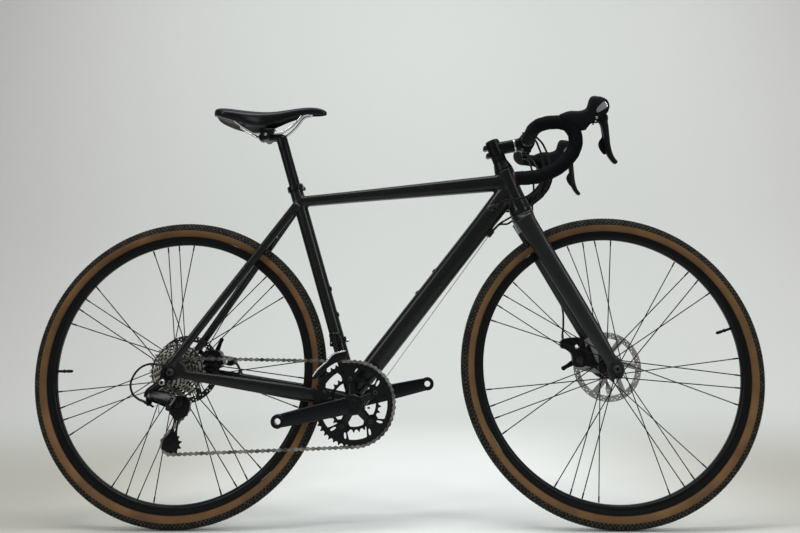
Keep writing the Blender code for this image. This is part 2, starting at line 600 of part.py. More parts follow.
def spokes(hub, flange, lean):
    """Half of one flange's spokes: lean is +1 for those that trail and -1 for those that lead."""
    place, radius, crossing = flange
    count = SPOKE_COUNT // 4
    joined = bmesh.new()
    face = lean * (FLANGE_THICKNESS / 2 + 0.1 * SPOKE_SIZE)
    rim_reach = (RIM_INNER_RADIUS - GAP) * math.cos(math.pi / WHEEL_SEGMENTS) - 0.6 * MM
    for k in range(count):
        turn = 2 * math.pi * (k + (0.5 if lean > 0 else 0.0) + crossing) / count
        root = hub + Vector((math.cos(turn), 0, math.sin(turn))) * radius + (place + face) * SIDE
        swing = turn + lean * SPOKE_SWING
        end_left = math.copysign(2.2 * MM, place) + lean * 1.2 * MM
        tip = hub + Vector((math.cos(swing), 0, math.sin(swing))) * rim_reach + end_left * SIDE
        spoke = sweep([root - (tip - root).normalized() * 2 * MM, tip], 0.6 * SPOKE_SIZE, 3)
        mesh = bpy.data.meshes.new("spoke")
        spoke.to_mesh(mesh)
        spoke.free()
        joined.from_mesh(mesh)
        bpy.data.meshes.remove(mesh)
    return joined


def hub_with_spokes(hub, profile, flanges):
    body = lathe([(radius * MM, left * MM) for radius, left in profile], hub, SIDE, 10)
    return combined(body, [spokes(hub, flange, lean) for flange in flanges for lean in (-1, 1)])


def rotor(hub, left):
    """A brake rotor: a braking band on six arms."""
    band = circle(hub, ROTOR_RADIUS, 20)
    holes = [circle(hub, bore_radius(ROTOR_SEAT_RADIUS, 10), 10)]
    inner_band, carrier = ROTOR_RADIUS - 14 * MM, ROTOR_SEAT_RADIUS + 7 * MM
    for k in range(6):
        start = 2 * math.pi * k / 6
        outer_turns = [start + math.radians(a) for a in (6, 30, 54)]
        inner_turns = [start + math.radians(a) for a in (74, 45)]
        window = [(hub.x + inner_band * math.cos(a), hub.z + inner_band * math.sin(a)) for a in outer_turns]
        window += [(hub.x + carrier * math.cos(a), hub.z + carrier * math.sin(a)) for a in inner_turns]
        holes.append(window)
    return plate([band] + holes, left - ROTOR_THICKNESS / 2, left + ROTOR_THICKNESS / 2)


def axle(hub, spacing, nut_side):
    """The axle in its dropout slots, with the skewer's nut at one end and its cam housing at the other."""
    inner = spacing / 2 + DROPOUT_THICKNESS - GAP
    outer = spacing / 2 + DROPOUT_THICKNESS + GAP
    ends = [(SKEWER_RADIUS, outer), (9.0 * MM, outer), (8.0 * MM, outer + 9 * MM), (0, outer + 10 * MM)]
    cam = [(SKEWER_RADIUS, outer), (9.0 * MM, outer), (8.5 * MM, outer + CAM_HOUSING_LENGTH),
           (0, outer + CAM_HOUSING_LENGTH)]
    profile = [(radius, nut_side * along) for radius, along in reversed(ends)]
    profile += [(SKEWER_RADIUS, nut_side * inner), (AXLE_RADIUS, nut_side * inner),
                (AXLE_RADIUS, -nut_side * inner), (SKEWER_RADIUS, -nut_side * inner)]
    profile += [(radius, -nut_side * along) for radius, along in cam]
    return lathe(profile, hub, SIDE, 8)


def quick_release_lever(hub, spacing, direction):
    """A curved lever on a round cam beside its housing, on the left."""
    along = direction.normalized()
    hinge = along.cross(SIDE)
    pivot = hub + (spacing / 2 + DROPOUT_THICKNESS + GAP + CAM_HOUSING_LENGTH + GAP + CAM_RADIUS) * SIDE
    cam = rod(pivot - 8 * MM * hinge, pivot + 8 * MM * hinge, CAM_RADIUS, 10)
    points = [pivot + 2 * MM * along, pivot + 30 * MM * along + 2 * MM * SIDE, pivot + 58 * MM * along,
              pivot + 74 * MM * along - 2 * MM * SIDE]
    halves = [(3 * MM, 2.5 * MM), (5 * MM, 2.2 * MM), (7 * MM, 2.2 * MM), (5 * MM, 2 * MM)]
    return combined(cam, [sweep(points, halves, 8, start_side=hinge)]), pivot


FRONT_HUB_PROFILE = [(5.2, -49.7), (8.5, -49.7), (12, -38), (23, -35.6), (23, -32.4), (12, -29), (12, 20),
                     (23, 23.4), (23, 26.6), (16, 30), (20, 38.8), (16, 38.8), (16, 42.5), (8.5, 43.5),
                     (8.5, 49.7), (5.2, 49.7)]
REAR_HUB_PROFILE = [(5.2, -67.2), (8, -67.2), (10, -64.4), (10, -22.6), (24, -20.6), (24, -17.4),
                    (13, -13), (13, 28), (24, 32.4), (24, 35.6), (16, 39), (20, 50.8), (16, 50.8),
                    (16, 54.5), (9, 55.5), (9, 67.2), (5.2, 67.2)]


def build_wheels(root, steering):
    """Both wheels on their axles."""
    wheels = (
        ("front", FRONT_HUB, steering, FRONT_HUB_PROFILE, [(-34 * MM, 20 * MM, 0.0), (25 * MM, 20 * MM, 0.25)],
         FRONT_ROTOR_LEFT, FRONT_VALVE_ANGLE, FRONT_SPACING, FRONT_LEVER_WAY),
        ("rear", REAR_HUB, root, REAR_HUB_PROFILE, [(-19 * MM, 21 * MM, 0.0), (34 * MM, 21 * MM, 0.25)],
         REAR_ROTOR_LEFT, REAR_VALVE_ANGLE, REAR_SPACING, REAR_LEVER_WAY),
    )
    for name, hub, carrier, profile, flanges, disc, valve_angle, spacing, lever_way in wheels:
        spin = add_empty(name + "_wheel_axis", hub, carrier)
        add_object(name + "_tyre", tyre(hub), TAN_TYRE, spin)
        add_object(name + "_rim", rim(hub, valve_angle), BLACK_METAL, spin)
        add_object(name + "_hub", hub_with_spokes(hub, profile, flanges), BLACK_METAL, spin)
        add_object(name + "_rotor", rotor(hub, disc), SILVER, spin)
        add_object(name + "_axle", axle(hub, spacing, -1), SILVER, carrier, pivot=hub)
        lever, pivot = quick_release_lever(hub, spacing, lever_way)
        add_object(name + "_quick_release", lever, SILVER, carrier, pivot=pivot)


def pitch_radius(teeth):
    return CHAIN_PITCH / (2 * math.sin(math.pi / teeth))


def root_radius(teeth):
    """Between the teeth, just clear of a seated roller and its plates."""
    half = math.pi / teeth
    return pitch_radius(teeth) - PLATE_HALF * math.cos(half) - ROLLER_HALF * math.sin(half) - GAP


def toothed_outline(centre, teeth, phase, holds_chain):
    """A sprocket's edge. One that holds the chain has room for a roller at the angle phase and at each tooth."""
    root = root_radius(teeth)
    valley = (ROLLER_HALF + GAP) / root if holds_chain else 0
    steps = [(valley, root), (math.pi / teeth, pitch_radius(teeth) + TOOTH_HEIGHT)]
    if holds_chain:
        steps.insert(0, (-valley, root))
    outline = []
    for k in range(teeth):
        for step, radius in steps:
            angle = phase + 2 * math.pi * k / teeth + step
            outline.append((centre.x + radius * math.cos(angle), centre.z + radius * math.sin(angle)))
    return outline


def stepped(loops):
    """A closed ring of outlines at their Y values. Equal outlines get a wall, unequal ones a flat face."""
    bm = bmesh.new()
    placed = []
    for outline, left in loops:
        placed.append([bm.verts.new((x, left, z)) for x, z in outline])
    flats = []
    for (first, _), (second, _), a, b in zip(loops, loops[1:] + loops[:1], placed, placed[1:] + placed[:1]):
        if first is second:
            for k in range(len(a)):
                n = (k + 1) % len(a)
                bm.faces.new((a[k], a[n], b[n], b[k]))
        else:
            flats.append((a, b))
    for a, b in flats:
        edges = []
        for loop in (a, b):
            for pair in zip(loop, loop[1:] + loop[:1]):
                edges.append(bm.edges.get(pair) or bm.edges.new(pair))
        bmesh.ops.triangle_fill(bm, edges=edges, use_beauty=True)
    bmesh.ops.recalc_face_normals(bm, faces=bm.faces)
    return bm


def flat(vector):
    return Vector((vector.x, vector.z))


def tangent_direction(first, second):
    """The way the chain runs from one wheel to the next. A wheel is (centre, radius, turn)."""
    offset = flat(second[0]) - flat(first[0])
    across = first[2] * first[1] - second[2] * second[1]
    ahead = math.sqrt(offset.length_squared - across**2)
    return math.atan2(offset.y, offset.x) - math.atan2(across, ahead)


def chain_path(cage_turn):
    """The chain's closed path as arcs and straight runs, for one turn of the derailleur cage."""
    guide, tension = pulley_centres(cage_turn)
    wheels = [(BOTTOM_BRACKET, pitch_radius(OUTER_RING_TEETH), 1), (tension, pitch_radius(PULLEY_TEETH), 1),
              (guide, pitch_radius(PULLEY_TEETH), -1),
              (REAR_HUB, pitch_radius(SPROCKET_TEETH[ENGAGED_SPROCKET]), 1)]
    headings = [tangent_direction(wheels[k], wheels[(k + 1) % 4]) for k in range(4)]
    path = []
    for k, (centre, radius, turn) in enumerate(wheels):
        arriving, leaving = headings[k - 1], headings[k]
        swept = (turn * (arriving - leaving)) % (2 * math.pi)
        start = arriving + turn * math.pi / 2
        path.append((flat(centre), radius, start, -turn * swept, radius * swept))
        end = flat(centre) + radius * Vector((math.cos(start - turn * swept), math.sin(start - turn * swept)))
        after, after_radius, after_turn = wheels[(k + 1) % 4]
        touch = leaving + after_turn * math.pi / 2
        nxt = flat(after) + after_radius * Vector((math.cos(touch), math.sin(touch)))
        path.append((end, nxt, (nxt - end).length))
    return path


def path_point(path, along):
    along %= sum(piece[-1] for piece in path)
    for piece in path:
        if along <= piece[-1]:
            break
        along -= piece[-1]
    part = along / piece[-1]
    if len(piece) == 3:
        return piece[0].lerp(piece[1], part)
    centre, radius, start, swept, _ = piece
    return centre + radius * Vector((math.cos(start + swept * part), math.sin(start + swept * part)))


def laid_pins(path, count):
    """Where the pins come when each link spans one pitch. The last one closes the loop if it fits."""
    places = [0.0]
    for _ in range(count):
        here = path_point(path, places[-1])
        step = CHAIN_PITCH
        for _ in range(4):
            step *= CHAIN_PITCH / (path_point(path, places[-1] + step) - here).length
        places.append(places[-1] + step)
    return places


def pulley_centres(cage_turn):
    spin = Matrix.Rotation(-cage_turn, 3, "Y")
    return CAGE_PIVOT + spin @ CAGE_TO_GUIDE, CAGE_PIVOT + spin @ (CAGE_TO_GUIDE + CAGE_TO_TENSION)


def fitted_chain():
    """The cage's turn at rest, which takes up the slack of a whole, even number of links, and the pins."""
    length = sum(piece[-1] for piece in chain_path(0.0))
    links = 2 * round(length / (2 * CHAIN_PITCH))
    low, high = math.radians(-30), math.radians(30)
    for _ in range(36):
        middle = (low + high) / 2
        path = chain_path(middle)
        left_over = sum(piece[-1] for piece in path) - laid_pins(path, links)[-1]
        if left_over > 0:
            low = middle
        else:
            high = middle
    path = chain_path(middle)
    places = laid_pins(path, links)
    return middle, path, places[:-1]


def pin_phase(path, places, wheel):
    """The angle of one of the pins that lie on a wheel's arc."""
    before = sum(piece[-1] for piece in path[:2 * wheel])
    centre, _, _, _, length = path[2 * wheel]
    for place in places:
        if before + 0.3 * CHAIN_PITCH < place < before + length - 0.3 * CHAIN_PITCH:
            spot = path_point(path, place) - centre
            return math.atan2(spot.y, spot.x)
    raise ValueError("no pin on the wheel")


def chain(path, places):
    """A row of plates on each side, bridged at every pin. The teeth come up through the windows."""
    bm = bmesh.new()
    pins = [path_point(path, place) for place in places]
    count = len(pins)
    ways = [(pins[(k + 1) % count] - pins[k]).normalized() for k in range(count)]
    near, far = SPROCKET_THICKNESS / 2 + GAP, CHAIN_HALF
    corners = [(side, up) for side in (1, -1) for up in (1, -1)]

    def vert(spot, left):
        return bm.verts.new((spot.x, left - CHAINLINE, spot.y))

    starts, ends = [], []
    for k, way in enumerate(ways):
        upright = Vector((-way.y, way.x))
        start, end = pins[k] + ROLLER_HALF * way, pins[(k + 1) % count] - ROLLER_HALF * way
        starts.append({(side, up): vert(start + up * PLATE_HALF * upright, side * near) for side, up in corners})
        ends.append({(side, up): vert(end + up * PLATE_HALF * upright, side * near) for side, up in corners})
    bends = {}
    for k in range(count):
        turn = ways[k - 1].angle(ways[k])
        if turn > math.radians(0.05):
            middle = (ways[k - 1] + ways[k]).normalized()
            upright = Vector((-middle.y, middle.x)) * PLATE_HALF / math.cos(turn / 2)
            bends[k] = {(side, up): vert(pins[k] + up * upright, side * far) for side, up in corners}
    stops = list(bends)
    for first, last in zip(stops, stops[1:] + [stops[0] + count]):
        links = [k % count for k in range(first, last)]
        here, there = bends[first], bends[last % count]
        for side, up in corners:
            strip = [here[side, up], there[side, up]]
            for k in reversed(links):
                strip += [ends[k][side, up], starts[k][side, up]]
            bm.faces.new(strip)
        for side in (1, -1):
            bm.faces.new((here[side, 1], here[side, -1], there[side, -1], there[side, 1]))
        for up in (1, -1):
            bars = [here] + [rim for k in links for rim in (starts[k], ends[k])] + [there]
            for a, b in zip(bars[::2], bars[1::2]):
                bm.faces.new((a[1, up], a[-1, up], b[-1, up], b[1, up]))
    for start, end in zip(starts, ends):
        for side in (1, -1):
            bm.faces.new((start[side, 1], start[side, -1], end[side, -1], end[side, 1]))
        for rim in (start, end):
            bm.faces.new((rim[1, 1], rim[1, -1], rim[-1, -1], rim[-1, 1]))
    bmesh.ops.recalc_face_normals(bm, faces=bm.faces)
    return bm


def sprocket_plane(index):
    """Where a sprocket lies: the engaged one is on the chain's line, and larger ones further in."""
    return -CHAINLINE + (index - ENGAGED_SPROCKET) * SPROCKET_SPACING


def cassette(engaged_phase):
    """All the sprockets on their spacers, from the largest to the smallest."""
    bore = circle(REAR_HUB, bore_radius(FREEHUB_RADIUS, 10), 10)
    half = SPROCKET_THICKNESS / 2
    loops = [(bore, sprocket_plane(len(SPROCKET_TEETH) - 1) + half)]
    for index in reversed(range(len(SPROCKET_TEETH))):
        teeth = SPROCKET_TEETH[index]
        edge = toothed_outline(REAR_HUB, teeth, engaged_phase, index == ENGAGED_SPROCKET)
        loops += [(edge, sprocket_plane(index) + half), (edge, sprocket_plane(index) - half)]
        if index > 0:
            spacer = circle(REAR_HUB, root_radius(SPROCKET_TEETH[index - 1]) - 2 * MM, 8)
            loops += [(spacer, sprocket_plane(index) - half), (spacer, sprocket_plane(index - 1) + half)]
    loops.append((bore, sprocket_plane(0) - half))
    return stepped(loops)


def polar(centre, points):
    return [(centre.x + r * MM * math.cos(math.radians(a)), centre.z + r * MM * math.sin(math.radians(a)))
            for a, r in points]


def chainring_outer(phase):
    """The outer ring, with a tab to each arm of the spider."""
    teeth = toothed_outline(BOTTOM_BRACKET, OUTER_RING_TEETH, phase, True)
    hole = (root_radius(OUTER_RING_TEETH) / MM) - 12
    inside = []
    for k in range(SPIDER_ARMS):
        arm = SPIDER_TURN + 360 / SPIDER_ARMS * k
        inside += [(arm - 17, hole), (arm - 9, BOLT_CIRCLE / MM - 5), (arm + 9, BOLT_CIRCLE / MM - 5),
                   (arm + 17, hole), (arm + 27, hole), (arm + 45, hole)]
    inside = polar(BOTTOM_BRACKET, inside)
    half = SPROCKET_THICKNESS / 2
    loops = [(teeth, -half), (teeth, half), (inside, half), (inside, -half)]
    return stepped([(outline, left - CHAINLINE) for outline, left in loops])


def chainring_inner():
    """The inner ring, further in by the ring spacing."""
    teeth = toothed_outline(BOTTOM_BRACKET, INNER_RING_TEETH, 0.0, False)
    inside = []
    for k in range(SPIDER_ARMS):
        arm = SPIDER_TURN + 360 / SPIDER_ARMS * k
        inside += [(arm - 16, 50), (arm - 8, 36), (arm + 8, 36), (arm + 16, 50), (arm + 36, 50)]
    inside = polar(BOTTOM_BRACKET, inside)
    half = SPROCKET_THICKNESS / 2
    middle = RING_SPACING - CHAINLINE
    return stepped([(teeth, middle - half), (teeth, middle + half), (inside, middle + half),
                    (inside, middle - half)])


def crank_arm(angle, side):
    """An arm with its pedal eye. side is -1 for the drive side."""
    way = Vector((math.cos(angle), 0, math.sin(angle)))
    root = BOTTOM_BRACKET + side * ARM_ROOT * SIDE
    eye = BOTTOM_BRACKET + CRANK_LENGTH * way + side * ARM_EYE * SIDE
    arm = sweep([root, root.lerp(eye, 0.45), eye], [(7.5 * MM, 19 * MM), (7 * MM, 18.5 * MM), (6.5 * MM, 15.5 * MM)],
                8, power=3.0)
    boss = rod(root - 8 * MM * SIDE, root + 8 * MM * SIDE, 22 * MM, 12)
    pedal_boss = rod(eye - 6.7 * MM * SIDE, eye + 6.7 * MM * SIDE, 15.5 * MM, 14)
    pedal_hole = rod(eye - 20 * MM * SIDE, eye + 20 * MM * SIDE, PEDAL_HOLE_RADIUS, 10)
    return arm, boss, pedal_boss, pedal_hole


def crank_right():
    """The drive-side arm, in one piece with the spider and the spindle."""
    arm, boss, pedal_boss, pedal_hole = crank_arm(CRANK_ANGLE, -1)
    outline = []
    for k in range(SPIDER_ARMS):
        turn = SPIDER_TURN + 360 / SPIDER_ARMS * k
        reach = BOLT_CIRCLE / MM + 5
        outline += [(turn - 14, 30), (turn - 6, reach), (turn + 6, reach), (turn + 14, 30)]
    outer_face = -CHAINLINE + SPROCKET_THICKNESS / 2 + GAP
    inner_face = -CHAINLINE + RING_SPACING - SPROCKET_THICKNESS / 2 - GAP
    spider = plate([polar(BOTTOM_BRACKET, outline)], outer_face, inner_face)
    hub = rod(BOTTOM_BRACKET + (inner_face - 0.4 * MM) * SIDE, BOTTOM_BRACKET - ARM_ROOT * SIDE, 20 * MM, 14)
    spindle = rod(BOTTOM_BRACKET - ARM_ROOT * SIDE, BOTTOM_BRACKET + (ARM_ROOT + 6 * MM) * SIDE, SPINDLE_RADIUS, 12)
    return cut(combined(arm, [boss, pedal_boss, spider, hub, spindle]), [pedal_hole])


def crank_left():
    arm, boss, pedal_boss, pedal_hole = crank_arm(CRANK_ANGLE + math.pi, 1)
    bore = rod(BOTTOM_BRACKET + (ARM_ROOT - 20 * MM) * SIDE, BOTTOM_BRACKET + (ARM_ROOT + 6 * MM + GAP) * SIDE,
               SPINDLE_RADIUS + GAP, 12)
    return cut(combined(arm, [boss, pedal_boss]), [pedal_hole, bore])


def pulley(centre, phase):
    """A toothed pulley with a thicker middle and a bore for its bolt."""
    teeth = toothed_outline(centre, PULLEY_TEETH, phase, True)
    middle = circle(centre, 9 * MM, 8)
    bore = circle(centre, PULLEY_BOLT_RADIUS + GAP, 8)
    thin, thick = SPROCKET_THICKNESS / 2, CAGE_INNER - GAP
    loops = [(teeth, -thin), (teeth, thin), (middle, thin), (middle, thick), (bore, thick), (bore, -thick),
             (middle, -thick), (middle, -thin)]
    return stepped([(outline, left - CHAINLINE) for outline, left in loops])


def derailleur_cage(guide, tension):
    """Two plates joined by the pulley bolts."""
    along = (tension - guide).normalized()
    across = along.cross(SIDE)
    plates = []
    for face, wide, low in ((-1, 9 * MM, 19 * MM), (1, 7 * MM, 15 * MM)):
        corners = [(guide - 11 * MM * along, 5 * MM), (guide + 4 * MM * along, 12 * MM),
                   (guide.lerp(tension, 0.35), wide * 0.75), (guide.lerp(tension, 0.72), wide),
                   (tension - 6 * MM * along, low), (tension + 8 * MM * along, low),
                   (tension + 17 * MM * along, 0.6 * low)]
        left = [spot + half * across for spot, half in corners]
        right = [spot - half * across for spot, half in reversed(corners)]
        outline = [(spot.x, spot.z) for spot in left + right]
        near, far = sorted((face * CAGE_INNER - CHAINLINE, face * (CAGE_INNER + CAGE_PLATE) - CHAINLINE))
        plates.append(plate([outline], near, far))
    reach = CAGE_INNER + CAGE_PLATE / 2
    bolts = [rod(spot - (CHAINLINE + reach) * SIDE, spot - (CHAINLINE - reach) * SIDE, PULLEY_BOLT_RADIUS, 8)
             for spot in (guide, tension)]
    eye = rod(CAGE_PIVOT - (CHAINLINE + CAGE_INNER + CAGE_PLATE) * SIDE,
              CAGE_PIVOT - (CHAINLINE + CAGE_INNER) * SIDE, 11 * MM, 12)
    return combined(plates[0], [plates[1], eye] + bolts)


def derailleur_link(start):
    """One bar of the parallelogram."""
    points = [start - 3 * MM * LINK_ALONG, start + (LINK_LENGTH + 3 * MM) * LINK_ALONG]
    return sweep(points, (LINK_HALF_HEIGHT, 2.2 * MM), 8, start_side=LINK_AXIS, power=4.0)


def knuckle_fork(outer_pivot, away):
    """The prongs that hold both bars of the parallelogram, and the web behind them."""
    inner_pivot = outer_pivot + LINK_SPACING * LINK_ACROSS
    parts = []
    for end in (-1, 1):
        level = end * (LINK_HALF_HEIGHT + GAP + 2 * MM) * LINK_AXIS
        spots = [outer_pivot - 4 * MM * LINK_ACROSS + level, inner_pivot + 4 * MM * LINK_ACROSS + level]
        spots = [spot + 2.5 * MM * away for spot in spots]
        parts.append(sweep(spots, (2 * MM, 6.5 * MM), 8, start_side=LINK_AXIS, power=4.0))
    web = [outer_pivot - 3.6 * MM * LINK_ACROSS + 7 * MM * away, inner_pivot + 3.6 * MM * LINK_ACROSS + 7 * MM * away]
    parts.append(sweep(web, (LINK_HALF_HEIGHT + GAP + 3.4 * MM, 2 * MM), 8, start_side=LINK_AXIS, power=4.0))
    return parts


def upper_knuckle():
    """The fixed knuckle: its bolt goes into the hanger, and the housing ends in its adjuster."""
    mount_face = -(REAR_SPACING / 2 + DROPOUT_THICKNESS + GAP + HANGER_THICKNESS + GAP)
    mount = HANGER_BOLT + mount_face * SIDE
    barrel = rod(mount, mount - 14 * MM * SIDE, 10 * MM, 12)
    middle = mount - 7 * MM * SIDE
    web = LINK_START + at(-13, 4, 0)
    neck = sweep([middle, middle + at(-24, 0, -1), web + at(0, -2, 10), web + at(0, 0, -3)], 6 * MM, 6)
    arm = sweep([web + at(-1, -2, 0), ADJUSTER_END + at(7, 0, -4)], 3.6 * MM, 6)
    adjuster = rod(ADJUSTER_END, ADJUSTER_END + at(21, 0, -11), 3.6 * MM, 8)
    bolt = rod(HANGER_BOLT + (mount_face + HANGER_THICKNESS / 2) * SIDE, mount - 2 * MM * SIDE, 4 * MM, 8)
    return combined(barrel, knuckle_fork(LINK_START, -LINK_ALONG) + [neck, arm, adjuster, bolt])


def lower_knuckle():
    """The knuckle at the free end of the parallelogram, which carries the cage."""
    end = LINK_START + LINK_LENGTH * LINK_ALONG
    outer_face = CAGE_PIVOT - (CHAINLINE + CAGE_INNER + CAGE_PLATE + GAP) * SIDE
    barrel = rod(outer_face, outer_face - 14 * MM * SIDE, 13 * MM, 14)
    neck = sweep([outer_face - 8 * MM * SIDE, end + 10 * MM * LINK_ALONG + LINK_SPACING / 2 * LINK_ACROSS],
                 (6 * MM, 8 * MM), 8)
    return combined(barrel, knuckle_fork(end, LINK_ALONG) + [neck])


def hanger():
    """The bolt-on plate below the dropout that carries the rear derailleur."""
    outline = about(REAR_HUB, [(-11.5, 9), (-11.5, -9), (-6, -13), (-5.6, -26), (-10, -32), (-17, -31), (-23, -22),
                               (-21, 7)])
    near = -(REAR_SPACING / 2 + DROPOUT_THICKNESS + GAP)
    bolt_hole = rod(HANGER_BOLT + (near - 20 * MM) * SIDE, HANGER_BOLT + (near + 20 * MM) * SIDE,
                    4 * MM + GAP, 8)
    return cut(plate([outline], near - HANGER_THICKNESS, near), [bolt_hole])


def front_derailleur_body():
    """The band on the seat tube and the fixed body beside it, with the pin that the cage swings on."""
    band = ring(seat_point(FD_BAND), SEAT_UP, SEAT_TUBE_RADIUS + 4 * MM, SEAT_TUBE_RADIUS + GAP, -6 * MM, 6 * MM, 16)
    body = sweep([FD_PIVOT + at(-2, 18, -26), FD_PIVOT + at(-2, 18, 6)], (8 * MM, 12 * MM), 8, power=4.0)
    cheeks = [box(FD_PIVOT + at(low, -4, -5), FD_PIVOT + at(high, 14, 4.5)) for low, high in ((-13, -6), (3, 9))]
    pin = rod(FD_PIVOT - 12 * MM * FD_AXIS, FD_PIVOT + 8 * MM * FD_AXIS, FD_PIN_RADIUS, 8)
    bolt = rod(seat_point(FD_BAND) + at(14, -2, 0), seat_point(FD_BAND) + at(26, -2, 2), 3.5 * MM, 8)
    tube_room = rod(seat_point(FD_BAND - 90 * MM), seat_point(FD_BAND + 90 * MM), SEAT_TUBE_RADIUS + GAP, 16)
    return cut(combined(band, [body, pin, bolt] + cheeks), [tube_room])


def front_derailleur_cage():
    """Two curved plates over the outer ring, joined above at the front and below at the tail."""
    low = pitch_radius(OUTER_RING_TEETH) / MM + 7
    lower = [(a, low) for a in (103, 114, 125, 136)] + [(146, low + 4)]
    upper = [(148, low + 17), (136, low + 22), (122, low + 24), (108, low + 24)]
    outline = polar(BOTTOM_BRACKET, lower + upper)
    gap = CHAIN_HALF + 2.5 * MM
    plates = [plate([outline], -CHAINLINE - gap - 1.2 * MM, -CHAINLINE - gap),
              plate([outline], -CHAINLINE + gap, -CHAINLINE + gap + 1.2 * MM)]
    top = plate([polar(BOTTOM_BRACKET, [(107, low + 21), (122, low + 21), (122, low + 24), (107, low + 24)])],
                -CHAINLINE - gap - 0.6 * MM, -CHAINLINE + gap + 0.6 * MM)
    tail = rod(Vector((*polar(BOTTOM_BRACKET, [(145, low + 7)])[0], 0)).xzy - (CHAINLINE + gap) * SIDE,
               Vector((*polar(BOTTOM_BRACKET, [(145, low + 7)])[0], 0)).xzy - (CHAINLINE - gap) * SIDE, 3 * MM, 6)
    arm = sweep([FD_PIVOT + at(-1.5, -3, -3), Vector((*polar(BOTTOM_BRACKET, [(114, low + 22)])[0], 0)).xzy
                 - (CHAINLINE - gap / 2) * SIDE], (4 * MM, 4 * MM), 8, power=4.0)
    eye = rod(FD_PIVOT - 5.7 * MM * FD_AXIS, FD_PIVOT + 2.7 * MM * FD_AXIS, FD_PIN_RADIUS + 4 * MM, 10)
    bore = rod(FD_PIVOT - 20 * MM * FD_AXIS, FD_PIVOT + 20 * MM * FD_AXIS, bore_radius(FD_PIN_RADIUS, 8), 8)
    return cut(combined(plates[0], [plates[1], top, tail, arm, eye]), [bore])


def build_drivetrain(root):
    """Chain, cranks, sprockets and both derailleurs."""
    cage_turn, path, places = fitted_chain()
    guide, tension = pulley_centres(cage_turn)
    add_object("chain", chain(path, places), CHAIN_STEEL, root, sharp=30)
    crank = add_empty("crank_axis", BOTTOM_BRACKET, root)
    add_object("crank_right", crank_right(), GLOSSY_BLACK, crank)
    add_object("crank_left", crank_left(), GLOSSY_BLACK, crank)
    add_object("chainring_outer", chainring_outer(pin_phase(path, places, 0)), BLACK_METAL, crank)
    add_object("chainring_inner", chainring_inner(), BLACK_METAL, crank)
    half_shell = BB_SHELL_WIDTH / 2 + GAP
    for name, side in (("right", -1), ("left", 1)):
        near, far = sorted((side * half_shell, side * (half_shell + BB_CUP_WIDTH)))
        cup = ring(BOTTOM_BRACKET, SIDE, BB_SHELL_RADIUS - 1 * MM, bore_radius(SPINDLE_RADIUS, 12), near, far, 12)
        add_object("bracket_cup_" + name, cup, BLACK_METAL, root, pivot=BOTTOM_BRACKET)
    freewheel = add_empty("cassette_axis", REAR_HUB, root)
    add_object("cassette", cassette(pin_phase(path, places, 3)), STEEL, freewheel)
    add_object("derailleur_hanger", hanger(), BLACK_METAL, root, pivot=HANGER_BOLT)
    add_object("derailleur_upper_knuckle", upper_knuckle(), BLACK_METAL, root, pivot=HANGER_BOLT)
    outer_axis = add_empty("derailleur_outer_pivot", LINK_START, root)
    inner_start = LINK_START + LINK_SPACING * LINK_ACROSS
    inner_axis = add_empty("derailleur_inner_pivot", inner_start, root)
    add_object("derailleur_outer_link", derailleur_link(LINK_START), GLOSSY_BLACK, outer_axis)
    add_object("derailleur_inner_link", derailleur_link(inner_start), BLACK_METAL, inner_axis)
    knuckle_axis = add_empty("derailleur_knuckle_pivot", LINK_START + LINK_LENGTH * LINK_ALONG, outer_axis)
    add_object("derailleur_lower_knuckle", lower_knuckle(), GLOSSY_BLACK, knuckle_axis)
    cage_axis = add_empty("derailleur_cage_pivot", CAGE_PIVOT - CHAINLINE * SIDE, knuckle_axis)
    add_object("derailleur_cage", derailleur_cage(guide, tension), BLACK_METAL, cage_axis)
    guide_axis = add_empty("guide_pulley_axis", guide - CHAINLINE * SIDE, cage_axis)
    add_object("guide_pulley", pulley(guide, pin_phase(path, places, 2)), BLACK_PLASTIC, guide_axis)
    tension_axis = add_empty("tension_pulley_axis", tension - CHAINLINE * SIDE, cage_axis)
    add_object("tension_pulley", pulley(tension, pin_phase(path, places, 1)), BLACK_PLASTIC, tension_axis)
    add_object("front_derailleur_body", front_derailleur_body(), BLACK_METAL, root, pivot=FD_PIVOT)
    swing = add_empty("front_derailleur_axis", FD_PIVOT, root)
    add_object("front_derailleur_cage", front_derailleur_cage(), SILVER, swing)


